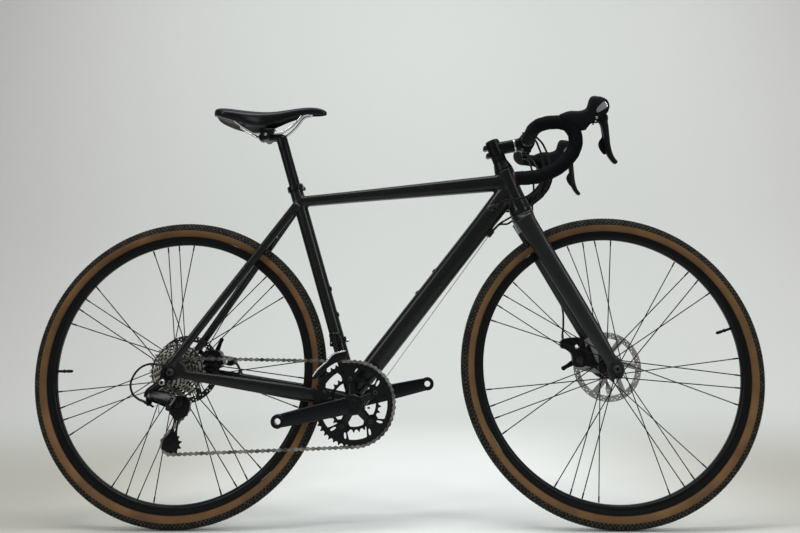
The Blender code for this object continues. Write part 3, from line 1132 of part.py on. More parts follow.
def fork():
    """Steerer, crown and two straight blades with their dropouts and the caliper's mount."""
    low = HEAD_TUBE_LOW - GAP
    steerer = rod(steer_point(low - 20 * MM), steer_point(STEERER_TOP), STEERER_RADIUS, 16)
    crown = sweep([steer_point(low), steer_point(low - 10 * MM), steer_point(low - 24 * MM),
                   steer_point(low - 38 * MM, -2 * MM)],
                  [(HEAD_RADIUS_LOW, HEAD_RADIUS_LOW), (34 * MM, 27 * MM), (45 * MM, 26 * MM), (46 * MM, 25 * MM)],
                  12, power=2.5)
    top = steer_point(low - 14 * MM, -4 * MM)
    foot = FRONT_HUB + Vector((-8 * MM, 0, 14 * MM))
    blade_left = FRONT_SPACING / 2 + DROPOUT_THICKNESS / 2
    # part of the way, distance from the middle, half width, half depth
    stations = [(0.0, 35 * MM, 9.5, 24), (0.25, 41 * MM, 10.5, 21), (0.8, blade_left, 8.5, 18.5),
                (1.0, blade_left, 5.5, 14)]
    points = [top.lerp(foot, part) + left * SIDE for part, left, _, _ in stations]
    blade = sweep(points, [(wide * MM, deep * MM) for _, _, wide, deep in stations], 10, power=2.3)
    inner = FRONT_SPACING / 2
    dropout = plate([dropout_outline(FRONT_HUB, FRONT_DROPOUT)], inner, inner + DROPOUT_THICKNESS)
    mount = plate([about(FRONT_HUB, [(-22, -2), (-48, 8), (-62, 30), (-44, 62), (-30, 52), (-14, 16)])],
                  FRONT_CALIPER_FACE + GAP, inner + 5.4 * MM)
    return combined(steerer, [crown, blade, mirrored(blade), dropout, mirrored(dropout), mount])


def headset_cover():
    """The tapered cover over the upper bearing, with the spacers on it."""
    base = HEAD_TUBE_LOW + HEAD_TUBE_LENGTH + GAP
    bore = STEERER_RADIUS + GAP
    top = STEM_LOW - GAP
    profile = [(bore, base), (HEAD_RADIUS_HIGH - 0.5 * MM, base), (HEAD_RADIUS_HIGH - 1 * MM, base + 5 * MM),
               (18 * MM, base + 22 * MM), (17.5 * MM, top), (bore, top)]
    return lathe(profile, STEER_FOOT, STEER_UP, 16)


def stem():
    """The clamp on the steerer, the body and the rear half of the bar clamp."""
    clamp = rod(steer_point(STEM_LOW), steer_point(STEM_HIGH), 18.5 * MM, 12)
    middle = steer_point((STEM_LOW + STEM_HIGH) / 2)
    body = sweep([middle, middle.lerp(BAR_CENTRE, 0.72), BAR_CENTRE], [(17 * MM, 15.5 * MM), (16 * MM, 15.5 * MM),
                                                                     (19 * MM, 18 * MM)], 10, power=2.8)
    seat = rod(BAR_CENTRE - CLAMP_HALF * SIDE, BAR_CENTRE + CLAMP_HALF * SIDE, CLAMP_RADIUS, 16)
    lugs = [rod(steer_point(along, -22 * MM, -11 * MM), steer_point(along, -22 * MM, 11 * MM), 6 * MM, 8)
            for along in (STEM_LOW + 9 * MM, STEM_HIGH - 9 * MM)]
    ear_half = CLAMP_HALF - 0.6 * MM
    ears = [box(BAR_CENTRE + Vector((-9 * MM, -ear_half, end * 22 * MM - 4 * MM)),
                BAR_CENTRE + Vector((9 * MM, ear_half, end * 22 * MM + 4 * MM))) for end in (-1, 1)]
    steerer_room = rod(steer_point(STEM_LOW - 30 * MM), steer_point(STEM_HIGH + 30 * MM), STEERER_RADIUS + GAP, 16)
    bar_room = rod(BAR_CENTRE - 40 * MM * SIDE, BAR_CENTRE + 40 * MM * SIDE, BAR_CLAMP_RADIUS + 2 * GAP, 16)
    front = box(BAR_CENTRE + at(-0.3, -60, -60), BAR_CENTRE + at(60, 60, 60))
    return cut(combined(clamp, [body, seat] + lugs + ears), [steerer_room, bar_room, front])


def faceplate():
    """The front half of the bar clamp."""
    seat = rod(BAR_CENTRE - CLAMP_HALF * SIDE, BAR_CENTRE + CLAMP_HALF * SIDE, CLAMP_RADIUS, 16)
    ear_half = CLAMP_HALF - 0.6 * MM
    ears = [box(BAR_CENTRE + Vector((-9 * MM, -ear_half, end * 22 * MM - 4 * MM)),
                BAR_CENTRE + Vector((9 * MM, ear_half, end * 22 * MM + 4 * MM))) for end in (-1, 1)]
    bar_room = rod(BAR_CENTRE - 40 * MM * SIDE, BAR_CENTRE + 40 * MM * SIDE, BAR_CLAMP_RADIUS + 2 * GAP, 16)
    rear = box(BAR_CENTRE + at(-60, -60, -60), BAR_CENTRE + at(0.3, 60, 60))
    return cut(combined(seat, ears), [bar_room, rear])


def top_cap():
    profile = [(0, STEM_HIGH + GAP), (17 * MM, STEM_HIGH + GAP), (16 * MM, STEM_HIGH + 4 * MM),
               (0, STEM_HIGH + 5 * MM)]
    return lathe(profile, STEER_FOOT, STEER_UP, 16)


def bar_stations():
    """Points down the left half of the bar, from its middle to its end, with their section directions."""
    straight = [BAR_CENTRE, BAR_CENTRE + 48 * MM * SIDE, BAR_CENTRE + 62 * MM * SIDE]
    bend = beside(BAR_CENTRE, BAR_ROUTE)
    points = straight + thinned(smooth_path(bend, 3), math.radians(17))
    stations = []
    forward = Vector((1, 0, 0))
    for i, point in enumerate(points):
        ahead = points[min(i + 1, len(points) - 1)]
        behind = points[max(i - 1, 0)]
        tangent = (ahead - behind).normalized()
        forward = (forward - forward.dot(tangent) * tangent).normalized()
        stations.append((point, forward, tangent.cross(forward)))
    return stations


def section(bm, station, radius, sides=8):
    point, forward, upright = station
    turns = [2 * math.pi * (k + 0.5) / sides for k in range(sides)]
    return [bm.verts.new(point + radius * (math.cos(a) * forward + math.sin(a) * upright)) for a in turns]


def upright_section(bm, point, wide, tall, sides=10):
    """A rounded, squarish section across the bike."""
    corners = []
    for k in range(sides):
        angle = 2 * math.pi * (k + 0.5) / sides
        c, s = math.cos(angle), math.sin(angle)
        across = math.copysign(abs(c) ** 0.65, c) * wide
        up = math.copysign(abs(s) ** 0.65, s) * tall
        corners.append(bm.verts.new(point + Vector((0, across, up))))
    return corners


def skinned(bm, rings, closed):
    """Walls between rings. A closed run of rings is a sleeve; an open one gets its two ends."""
    pairs = list(zip(rings, rings[1:]))
    if closed:
        pairs.append((rings[-1], rings[0]))
    for ring_a, ring_b in pairs:
        for k in range(len(ring_a)):
            n = (k + 1) % len(ring_a)
            bm.faces.new((ring_a[k], ring_a[n], ring_b[n], ring_b[k]))
    if not closed:
        bm.faces.new(rings[0])
        bm.faces.new(rings[-1])
    bmesh.ops.recalc_face_normals(bm, faces=bm.faces)
    return bm


def handlebar(stations):
    """A drop bar with a thicker middle and a plug in each end."""
    bm = bmesh.new()
    radii = [BAR_CLAMP_RADIUS, BAR_CLAMP_RADIUS] + [BAR_RADIUS] * (len(stations) - 2)
    left = [section(bm, station, radius) for station, radius in zip(stations, radii)]
    point, forward, upright = stations[-1]
    along = upright.cross(forward)
    for step, radius in ((GAP, TAPE_RADIUS - 1 * MM), (4 * MM, TAPE_RADIUS - 2 * MM)):
        left.append(section(bm, (point - step * along, forward, upright), radius))
    right = []
    for ring_left in left[1:]:
        right.append([bm.verts.new(vert.co * Vector((1, -1, 1))) for vert in ring_left])
    return skinned(bm, list(reversed(right)) + left, closed=False)


def tape(stations):
    """A sleeve wound round the bar: every second section stands higher, as the wraps overlap."""
    bm = bmesh.new()
    covered = stations[BARE_STATION_COUNT:]
    outer = [section(bm, station, TAPE_RADIUS - (1.0 * MM if k % 2 else 0)) for k, station in enumerate(covered)]
    inner = [section(bm, station, BAR_RADIUS + 3 * GAP) for station in reversed(covered)]
    return skinned(bm, outer + inner, closed=True)


def hood(stations):
    """The rubber-covered lever body on the front of the bar, left side."""
    # forward from the bar centre, middle height, half height, half width
    shape = [(50, 3, 13, 14), (72, 3, 20, 16), (98, 1, 22, 16), (116, 6, 24, 15.5), (127, 25, 33, 14.5),
             (148, 29, 31, 14.5), (155, 41, 17, 12), (166, 45, 8, 9)]
    bm = bmesh.new()
    rings = [upright_section(bm, BAR_CENTRE + at(x, 0, z) + HOOD_LEFT * SIDE, wide * MM, tall * MM) for x, z, tall, wide in shape]
    body = skinned(bm, rings, closed=False)
    room = bmesh.new()
    beside = [station for station in stations if station[0].x > BAR_CENTRE.x + 20 * MM
              and station[0].z > BAR_CENTRE.z - 72 * MM]
    skinned(room, [section(room, station, TAPE_RADIUS + 2 * GAP) for station in beside], closed=False)
    slot_half = LEVER_HALF + 2 * MM
    slot = box(LEVER_PIVOT + Vector((-11 * MM, -slot_half, -40 * MM)), LEVER_PIVOT + Vector((60 * MM, slot_half, 10 * MM)))
    body = cut(body, [room, slot])
    pin = rod(LEVER_PIVOT - 12 * MM * SIDE, LEVER_PIVOT + 12 * MM * SIDE, 2.5 * MM, 8)
    return combined(body, [pin])


def brake_lever():
    """The left lever blade, hung on the pin in its hood."""
    outline = [(-8, 3), (0, 8), (10, 6), (13, 0), (18, -10), (20, -30), (22, -60), (27, -85), (37, -103), (29, -107),
               (19, -94), (11, -76), (9, -52), (7, -32), (0, -14), (-7, -7)]
    blade = plate([about(LEVER_PIVOT, outline)], LEVER_PIVOT.y - LEVER_HALF, LEVER_PIVOT.y + LEVER_HALF)
    bore = rod(LEVER_PIVOT - 30 * MM * SIDE, LEVER_PIVOT + 30 * MM * SIDE, 2.5 * MM + GAP, 8)
    return cut(blade, [bore])


def shift_paddle():
    """The shift paddle, against the inner face of the left lever."""
    outline = [(-5, 0), (5, 0), (6, -20), (7, -40), (5, -64), (-3, -68), (-12, -52), (-12, -40), (-3, -28),
               (-5, -10)]
    return plate([about(PADDLE_PIVOT, outline)], PADDLE_PIVOT.y - 4 * MM, PADDLE_PIVOT.y)


def caliper(pivot, outline, disc, hub, near, far):
    """A caliper body with a slot for the edge of its rotor."""
    body = plate([about(pivot, outline)], near, far)
    slot = rod(hub + (disc - 1.6 * MM) * SIDE, hub + (disc + 1.6 * MM) * SIDE, ROTOR_RADIUS + 2 * MM, 36)
    return cut(body, [slot])


def caliper_arm(pivot, tip, left):
    """The arm that the cable pulls, on its caliper's outer face."""
    near, far = left * SIDE, (left + CALIPER_ARM_THICKNESS) * SIDE
    head = rod(pivot + near, pivot + far, 8 * MM, 10)
    middle = (near + far) / 2
    bar = sweep([pivot + middle, tip + middle], (0.4 * CALIPER_ARM_THICKNESS, 5 * MM), 8, power=3.0)
    return combined(head, [bar])


def housing(route):
    """A cable housing along its route."""
    path = thinned(smooth_path(route, 3), math.radians(20))
    return sweep(path, HOUSING_RADIUS, 5, start_side=Vector((0.3, 1, 0.2)))


def down_tube_cables():
    """Two bare cables below the down tube, in their guide under the bottom bracket shell."""
    top = BOTTOM_BRACKET.z - BB_SHELL_RADIUS - GAP
    guide = box(Vector((BOTTOM_BRACKET.x - 8 * MM, -11 * MM, top - 6 * MM)),
                Vector((BOTTOM_BRACKET.x + 7 * MM, 11 * MM, top)))
    strand = sweep(DOWN_CABLE_ROUTE, BARE_CABLE_RADIUS, 4, start_side=Vector((0, 1, 0.01)))
    return combined(guide, [strand, mirrored(strand)])


def build_cables(root, steering):
    """The housings and the bare cables. Those from the bar to the frame bend as it is steered."""
    housings = (("front_brake_housing", FRONT_BRAKE_ROUTE, steering), ("rear_brake_housing", REAR_BRAKE_ROUTE, root),
                ("shift_housing_right", RIGHT_SHIFT_ROUTE, root), ("shift_housing_left", LEFT_SHIFT_ROUTE, root),
                ("rear_brake_tail_housing", TAIL_BRAKE_ROUTE, root), ("derailleur_housing", REAR_SHIFT_ROUTE, root))
    for name, route, carrier in housings:
        add_object(name, housing(route), BLACK_PLASTIC, carrier, pivot=route[0])
    add_object("down_tube_cables", down_tube_cables(), STEEL, root, pivot=BOTTOM_BRACKET)


def seatpost():
    """The post with its head and the clamp that holds the rails."""
    foot, top = seat_point(SEATPOST_FOOT), seat_point(SEAT_TUBE_TOP + SEATPOST_OUT)
    post = rod(foot, top, SEATPOST_RADIUS, 12)
    head = sweep([top - 14 * MM * SEAT_UP, top, SADDLE_CLAMP + at(0, 0, -9)],
                 [(13 * MM, 14 * MM), (14 * MM, 15 * MM), (15 * MM, 13 * MM)], 10)
    reach = (RAIL_LEFT + 8 * MM) * SIDE
    cradle = rod(SADDLE_CLAMP - reach + at(0, 0, -9), SADDLE_CLAMP + reach + at(0, 0, -9), 12 * MM, 8)
    upper = sweep(beside(SADDLE_CLAMP, [(-20, 0, 6), (14, 0, 6)]), (RAIL_LEFT + 7 * MM, 9 * MM), 8, power=4.0)
    bolt = rod(SADDLE_CLAMP + at(-30, 0, 8), SADDLE_CLAMP + at(-18, 0, 8), 4.5 * MM, 6)
    bore = bore_radius(RAIL_RADIUS, 8)
    bores = []
    for middle in (SADDLE_CLAMP - RAIL_LEFT * SIDE, SADDLE_CLAMP + RAIL_LEFT * SIDE):
        bores.append(rod(*beside(middle, [(-60, 0, 1.5), (60, 0, 1.5)]), bore, 8))
    return cut(combined(post, [head, cradle, upper, bolt]), bores)


def saddle_rails():
    """Two steel rails, joined in a loop under the rear of the saddle."""
    half = RAIL_LEFT / MM
    side = [(86, 9, 51.5), (68, 12, 45), (46, 17, 22), (33, half - 1, 11), (25, half, 4), (17, half, 1.5),
            (-44, half, 1.5), (-56, half + 1, 4.5), (-80, half + 7, 19), (-98, half + 12, 32)]
    mine = beside(SADDLE_CLAMP, side)
    other = [point * Vector((1, -1, 1)) for point in reversed(mine)]
    return sweep(mine + other, RAIL_RADIUS, 6, start_side=Vector((0, 1, 0.4)))


def saddle():
    """The padded shell: narrow nose, wide rear, a crown across it and a drawn-in skirt."""
    # forward from the clamp, half width, top above the clamp, skirt depth
    shape = [(-151, 30, 58, 6), (-144, 52, 65, 22), (-119, 68, 64, 31), (-84, 66, 60.5, 38),
             (-49, 48, 59, 43), (-14, 30, 59.5, 38), (26, 21, 64, 28), (71, 18, 70, 20),
             (106, 16, 70, 18), (124, 11, 64, 13), (130, 5, 58, 6)]
    bm = bmesh.new()
    rings = []
    for x, wide, top, deep in shape:
        row = []
        for across, down in ((0, 0.0), (0.55, 0.06), (0.88, 0.28), (1.0, 0.6), (0.9, 1.0), (0.55, 0.75), (0, 0.62),
                             (-0.55, 0.75), (-0.9, 1.0), (-1.0, 0.6), (-0.88, 0.28), (-0.55, 0.06)):
            row.append(bm.verts.new(SADDLE_CLAMP + at(x, across * wide, top - down * deep)))
        rings.append(row)
    body = skinned(bm, rings, closed=False)
    return body


def seat_clamp():
    """The collar at the top of the seat tube."""
    top = SEAT_TUBE_TOP
    collar = ring(seat_point(0), SEAT_UP, SEAT_TUBE_RADIUS + 3.5 * MM, SEAT_TUBE_RADIUS + GAP, top - 13 * MM,
                  top, 16)
    lug = rod(seat_point(top - 6.5 * MM) + at(20, -7, 0), seat_point(top - 6.5 * MM) + at(20, 7, 0), 5 * MM, 8)
    room = rod(seat_point(top - 40 * MM), seat_point(top + 20 * MM), SEAT_TUBE_RADIUS + GAP, 16)
    return cut(combined(collar, [lug]), [room])


def build_cockpit(steering):
    """Everything that turns with the fork, above the front wheel."""
    stations = bar_stations()
    add_object("fork", fork(), FRAME_PAINT, steering)
    add_object("headset_cover", headset_cover(), BLACK_METAL, steering)
    add_object("stem", stem(), BLACK_METAL, steering)
    add_object("stem_faceplate", faceplate(), BLACK_METAL, steering)
    add_object("stem_cap", top_cap(), BLACK_METAL, steering)
    add_object("handlebar", handlebar(stations), BLACK_METAL, steering)
    pieces = (("tape", tape(stations), BLACK_RUBBER, None), ("hood", hood(stations), BLACK_RUBBER, None),
              ("brake_lever", brake_lever(), BLACK_METAL, LEVER_PIVOT),
              ("shift_paddle", shift_paddle(), BLACK_METAL, PADDLE_PIVOT))
    for name, shape, look, pivot in pieces:
        for side, word in ((1, "left"), (-1, "right")):
            place = pivot * Vector((1, side, 1)) if pivot else None
            carrier = add_empty(name + "_axis_" + word, place, steering) if place else steering
            made = mirrored(shape) if side < 0 else shape.copy()
            add_object(name + "_" + word, made, look, carrier)
        shape.free()


def build_seat(root):
    slide = add_empty("seatpost_slide", seat_point(SEAT_TUBE_TOP), root)
    add_object("seatpost", seatpost(), BLACK_METAL, slide)
    add_object("saddle_rails", saddle_rails(), SILVER, slide)
    add_object("saddle", saddle(), GLOSSY_BLACK, slide)
    add_object("seat_clamp", seat_clamp(), BLACK_METAL, root, pivot=seat_point(SEAT_TUBE_TOP))


def build_brakes(root, steering):
    """Cable-pulled disc calipers on the left."""
    brakes = (
        ("front", FRONT_CALIPER, FRONT_CALIPER_SHAPE, FRONT_ARM_TIP, FRONT_ROTOR_LEFT, FRONT_HUB, FRONT_CALIPER_FACE,
         steering),
        ("rear", REAR_CALIPER, REAR_CALIPER_SHAPE, REAR_ARM_TIP, REAR_ROTOR_LEFT, REAR_HUB, REAR_CALIPER_FACE, root),
    )
    for name, pivot, shape, tip, disc, hub, face, carrier in brakes:
        add_object(name + "_caliper", caliper(pivot, shape, disc, hub, 2 * disc - face - 6 * MM, face), BLACK_METAL,
                   carrier, pivot=pivot)
        axis = add_empty(name + "_caliper_axis", pivot, carrier)
        add_object(name + "_caliper_arm", caliper_arm(pivot, tip, face + GAP), BLACK_METAL, axis)


def main():
    for obj in list(bpy.data.objects):
        bpy.data.objects.remove(obj, do_unlink=True)
    root = add_empty("bike", Vector((0, 0, 0)))
    steering = add_empty("steering_axis", STEER_FOOT, root)
    build_frame(root)
    build_wheels(root, steering)
    build_drivetrain(root)
    build_cockpit(steering)
    build_seat(root)
    build_brakes(root, steering)
    build_cables(root, steering)


main()
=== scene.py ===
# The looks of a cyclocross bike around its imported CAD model.
#
# World frame: the origin is on the ground between the wheels, X forward, Y to the bike's left, Z up.
# Lengths are in metres, and small sizes are millimetres times MM.

import math

import bmesh
import bpy
from mathutils import Matrix, Vector


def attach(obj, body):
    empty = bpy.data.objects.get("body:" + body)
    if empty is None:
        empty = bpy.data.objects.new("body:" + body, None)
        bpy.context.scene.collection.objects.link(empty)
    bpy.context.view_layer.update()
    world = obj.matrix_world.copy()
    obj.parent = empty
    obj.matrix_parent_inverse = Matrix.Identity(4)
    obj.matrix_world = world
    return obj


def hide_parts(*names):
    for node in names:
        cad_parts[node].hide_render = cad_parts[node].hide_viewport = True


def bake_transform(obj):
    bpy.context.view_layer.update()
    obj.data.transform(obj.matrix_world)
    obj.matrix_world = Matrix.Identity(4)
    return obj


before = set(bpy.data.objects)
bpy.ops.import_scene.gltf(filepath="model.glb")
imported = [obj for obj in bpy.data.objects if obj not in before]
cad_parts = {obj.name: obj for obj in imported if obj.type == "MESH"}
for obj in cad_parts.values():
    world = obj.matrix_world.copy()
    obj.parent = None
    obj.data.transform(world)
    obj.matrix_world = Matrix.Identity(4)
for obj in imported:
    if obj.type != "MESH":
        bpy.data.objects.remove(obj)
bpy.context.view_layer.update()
MM = 0.001


# Studio: a pale table top that runs up into a pale wall, with soft lamps high on both sides.
# They are the photograph's surroundings and not part of the bike.
def srgb(red, green, blue):
    """A linear colour from one as it is seen, 0 to 255."""
    parts = []
    for value in (red, green, blue):
        value /= 255
        parts.append(value / 12.92 if value <= 0.04045 else ((value + 0.055) / 1.055) ** 2.4)
    return (*parts, 1.0)


class Wire:
    """A socket of a material's nodes, with arithmetic written as in Python."""

    def __init__(self, tree, socket):
        self.tree = tree
        self.socket = socket

    def fill(self, socket, value):
        """An input takes a wire, a number or a colour."""
        if isinstance(value, Wire):
            self.tree.links.new(value.socket, socket)
        else:
            socket.default_value = value

    def node(self, kind, settings=None, **inputs):
        """A new node. Its inputs are named as they are shown, with _ for a space."""
        made = self.tree.nodes.new(kind)
        for key, value in (settings or {}).items():
            setattr(made, key, value)
        for name, value in inputs.items():
            self.fill(made.inputs[name.replace("_", " ")], value)
        return Wire(self.tree, made.outputs[0])

    def out(self, name):
        return Wire(self.tree, self.socket.node.outputs[name])

    def math(self, operation, *values):
        made = self.tree.nodes.new("ShaderNodeMath")
        made.operation = operation
        for socket, value in zip(made.inputs, values):
            self.fill(socket, value)
        return Wire(self.tree, made.outputs[0])

    def __add__(self, other):
        return self.math("ADD", self, other)

    __radd__ = __add__

    def __mul__(self, other):
        return self.math("MULTIPLY", self, other)

    __rmul__ = __mul__

    def __sub__(self, other):
        return self.math("SUBTRACT", self, other)

    def above(self, low, high):
        """0 below low and 1 above high, smooth between."""
        return self.node("ShaderNodeMapRange", {"interpolation_type": "SMOOTHSTEP"}, Value=self,
                         From_Min=low, From_Max=high)

    def mix(self, first, second):
        """A colour between two, this value being the share of the second."""
        made = self.tree.nodes.new("ShaderNodeMix")
        made.data_type = "RGBA"
        share, colour_a, colour_b = made.inputs[0], made.inputs[6], made.inputs[7]
        for socket, value in ((share, self), (colour_a, first), (colour_b, second)):
            self.fill(socket, value)
        mixed_colour = made.outputs[2]
        return Wire(self.tree, mixed_colour)


class Finish:
    """A material under way: its nodes, its shader's sockets and the places that its patterns use."""

    def __init__(self, name, **same_all_over):
        self.material = bpy.data.materials.new(name)
        self.material.use_nodes = True
        self.tree = self.material.node_tree
        self.shader = self.tree.nodes["Principled BSDF"]
        for key, value in same_all_over.items():
            self.shader.inputs[key.replace("_", " ")].default_value = value
        self.place = Wire(self.tree, self.tree.nodes.new("ShaderNodeTexCoord").outputs["Object"])

    def noise(self, scale, detail=4.0):
        return self.place.node("ShaderNodeTexNoise", Vector=self.place, Scale=scale, Detail=detail)

    def set(self, **links):
        for key, value in links.items():
            self.tree.links.new(value.socket, self.shader.inputs[key.replace("_", " ")])

    def bump(self, height, distance, strength=1.0):
        return height.node("ShaderNodeBump", Height=height, Distance=distance, Strength=strength)


def new_object(name, bm, material, sharp=math.radians(32)):
    """An object from a bmesh, shaded smooth up to its sharp edges."""
    bmesh.ops.recalc_face_normals(bm, faces=bm.faces)
    mesh = bpy.data.meshes.new(name)
    for face in bm.faces:
        face.smooth = True
    for edge in bm.edges:
        if len(edge.link_faces) == 2 and edge.calc_face_angle(0) > sharp:
            edge.smooth = False
    bm.to_mesh(mesh)
    bm.free()
    mesh.materials.append(material)
    obj = bpy.data.objects.new(name, mesh)
    bpy.context.scene.collection.objects.link(obj)
    return obj


paper = Finish("pale_wall", Roughness=0.95, Specular_IOR_Level=0.1)
spot = paper.place.node("ShaderNodeSeparateXYZ", Vector=paper.place)
sideways, depth = spot.out("X"), spot.out("Y")
# The backdrop's colour holds painted light and shade: the table top darkens towards its sides, and the wall
# brightens towards its sides, the right side more than the left.
from_middle = sideways - 0.1
aside = from_middle.math("ABSOLUTE", from_middle)
wall_sides_painted_light = sideways.above(-0.5, 0.5).mix(srgb(229, 229, 227), srgb(240, 240, 238))
wall_with_painted_light = aside.above(0.7, 2.8).mix(srgb(221, 225, 222), wall_sides_painted_light)
floor_with_painted_shade = aside.above(0.1, 1.2).mix(srgb(233, 237, 235), srgb(178, 176, 166))
paper.set(Base_Color=depth.above(0.4, 2.4).mix(floor_with_painted_shade, wall_with_painted_light))
backdrop = bmesh.new()
WALL_AWAY, WALL_SIDE, WALL_TOP, FLOOR_NEAR, BEND, BEND_STEPS = 3.2, 9.0, 7.0, -6.0, 1.2, 12
ALL_SMOOTH = 3
rows = [(FLOOR_NEAR, 0.0)]
for step in range(BEND_STEPS + 1):
    angle = math.radians(90 * step / BEND_STEPS)
    rows.append((WALL_AWAY - BEND + BEND * math.sin(angle), BEND - BEND * math.cos(angle)))
rows.append((WALL_AWAY, WALL_TOP))
strips = [[backdrop.verts.new((x, y, z)) for x in (-WALL_SIDE, WALL_SIDE)] for y, z in rows]
for near, far in zip(strips, strips[1:]):
    backdrop.faces.new((near[0], near[1], far[1], far[0]))
wall = new_object("pale_wall", backdrop, paper.material, sharp=ALL_SMOOTH)

world = bpy.data.worlds.new("studio")
bpy.context.scene.world = world
world.use_nodes = True
world.node_tree.nodes["Background"].inputs["Color"].default_value = (0.95, 0.98, 1.0, 1)
world.node_tree.nodes["Background"].inputs["Strength"].default_value = 0.2


def lamp(name, place, towards, width, height, power):
    """A soft rectangular lamp, its sizes in metres and its power in watts."""
    light = bpy.data.lights.new(name, "AREA")
    light.shape = "RECTANGLE"
    light.size, light.size_y = width, height
    light.energy = power
    obj = bpy.data.objects.new(name, light)
    obj.location = place
    obj.rotation_euler = (Vector(towards) - Vector(place)).to_track_quat("-Z", "Y").to_euler()
    bpy.context.scene.collection.objects.link(obj)


lamp("top_lamp", (0.2, -0.5, 3.0), (0.0, 0.1, 0.4), 3.6, 0.6, 72)
lamp("left_lamp", (-2.6, -2.3, 1.9), (0.0, 0.0, 0.5), 0.6, 2.2, 36)
lamp("right_lamp", (2.5, -2.1, 1.7), (0.0, 0.0, 0.5), 0.5, 2.2, 30)
lamp("wall_lamp", (0.0, 1.2, 3.6), (0.0, 3.2, 1.2), 5.0, 1.4, 43)

# The camera stands on the drive side, near the ground and tilted up a little, as the photograph was taken
CAMERA_PLACE = Vector((0.0822, -1.8819, 0.4523))
lens = bpy.data.cameras.new("camera")
lens.sensor_width = 36.0
lens.lens = 34.55
lens.shift_x = 0.0045
lens.shift_y = -0.15
camera = bpy.data.objects.new("camera", lens)
yaw, pitch, roll = math.radians(-2.16), math.radians(13.062), math.radians(-0.488)
ahead = Vector((math.sin(yaw) * math.cos(pitch), math.cos(yaw) * math.cos(pitch), math.sin(pitch)))
across = Vector((math.cos(yaw), -math.sin(yaw), 0))
upward = across.cross(ahead)
rolled_across = math.cos(roll) * across + math.sin(roll) * upward
rolled_upward = math.cos(roll) * upward - math.sin(roll) * across
turned = Matrix((rolled_across, rolled_upward, -ahead)).transposed().to_4x4()
camera.matrix_world = Matrix.Translation(CAMERA_PLACE) @ turned
bpy.context.scene.collection.objects.link(camera)
bpy.context.scene.camera = camera
bpy.context.scene.view_settings.view_transform = "Standard"


# Tyres: a brown tan casing under a black tread with dusty knobs, inflated on the rims.
# The casing's beads are held inside the rim's flanges, and the tread ends low on the shoulders.
SIDE = Vector((0, 1, 0))
FRONT_HUB = Vector((0.5083, 0, 0.350))
REAR_HUB = Vector((-0.5083, 0, 0.350))
TYRE_MIDDLE, CASING_RADIUS, TREAD_RADIUS, KNOB_RADIUS = 331.5, 16.9, 17.25, 18.7


def at(x, y, z):
    """A point given in millimetres."""
    return Vector((x, y, z)) * MM


def toward(angle):
    """The direction in the bike's own plane at an angle from forward."""
    return Vector((math.cos(angle), 0, math.sin(angle)))


def beside(place, points):
    """Points given in millimetres from a place."""
    return [place + at(*point) for point in points]


def put(obj, body, slot, *nodes):
    """A finished piece rides with its body and stands for its CAD nodes."""
    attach(obj, body)
    if nodes:
        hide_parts(*nodes)
    return obj


def piece(name, bm, finish, body, slot, *nodes, **shading):
    """A shape as a finished piece."""
    return put(new_object(name, bm, finish.material, **shading), body, slot, *nodes)


def together(*shapes):
    """Several shapes as one, each still closed in itself."""
    joined = bmesh.new()
    for shape in shapes:
        mesh = bpy.data.meshes.new("part")
        shape.to_mesh(mesh)
        shape.free()
        joined.from_mesh(mesh)
        bpy.data.meshes.remove(mesh)
    return joined


def lathe(profile, origin, axis, segments=48, closed=True):
    """A turned piece. profile holds (radius, distance along the axis) in millimetres."""
    bm = bmesh.new()
    turn = axis.normalized().to_track_quat("Z", "X").to_matrix()
    rings = []
    for radius, along in profile:
        count = segments if radius else 1
        turns = [2 * math.pi * k / segments for k in range(count)]
        rings.append([bm.verts.new(origin + turn @ at(radius * math.cos(a), radius * math.sin(a), along))
                      for a in turns])
    for ring, following in zip(rings, rings[1:] + rings[:1] if closed else rings[1:]):
        if len(ring) == 1 and len(following) == 1:
            continue
        for k in range(segments):
            n = (k + 1) % segments
            corners = (ring[k % len(ring)], ring[n % len(ring)], following[n % len(following)],
                       following[k % len(following)])
            bm.faces.new(tuple(dict.fromkeys(corners)))
    return bm


def tread_knobs(hub):
    """Small blocks in staggered rows over the crown, and longer ones along each shoulder."""
    bm = bmesh.new()
    rows = [(0, 250, 0.0, 2.3, 1.7)]
    for side in (-1, 1):
        rows += [(side * 15, 250, 0.5, 2.3, 1.7), (side * 30, 250, 0.0, 2.3, 1.7),
                 (side * 45, 250, 0.5, 2.3, 1.8), (side * 61, 220, 0.0, 2.7, 2.0),
                 (side * 76, 220, 0.5, 2.9, 1.7)]
    for lean, count, phase, along, across in rows:
        tilt = math.radians(lean)
        for k in range(count):
            turn = 2 * math.pi * (k + phase) / count
            radial = toward(turn)
            ahead = Vector((-math.sin(turn), 0, math.cos(turn)))
            normal = math.cos(tilt) * radial + math.sin(tilt) * SIDE
            sideways = math.cos(tilt) * SIDE - math.sin(tilt) * radial
            centre = hub + TYRE_MIDDLE * MM * radial
            corners = []
            for height, size in ((CASING_RADIUS, 1.0), (KNOB_RADIUS, 0.74)):
                for a, b in ((-1, -1), (1, -1), (1, 1), (-1, 1)):
                    corners.append(bm.verts.new(centre + height * MM * normal
                                                + a * along * size * MM * ahead
                                                + b * across * size * MM * sideways))
            bm.faces.new(corners[4:])
            for a in range(4):
                b = (a + 1) % 4
                bm.faces.new((corners[a], corners[b], corners[b + 4], corners[a + 4]))
    return bm


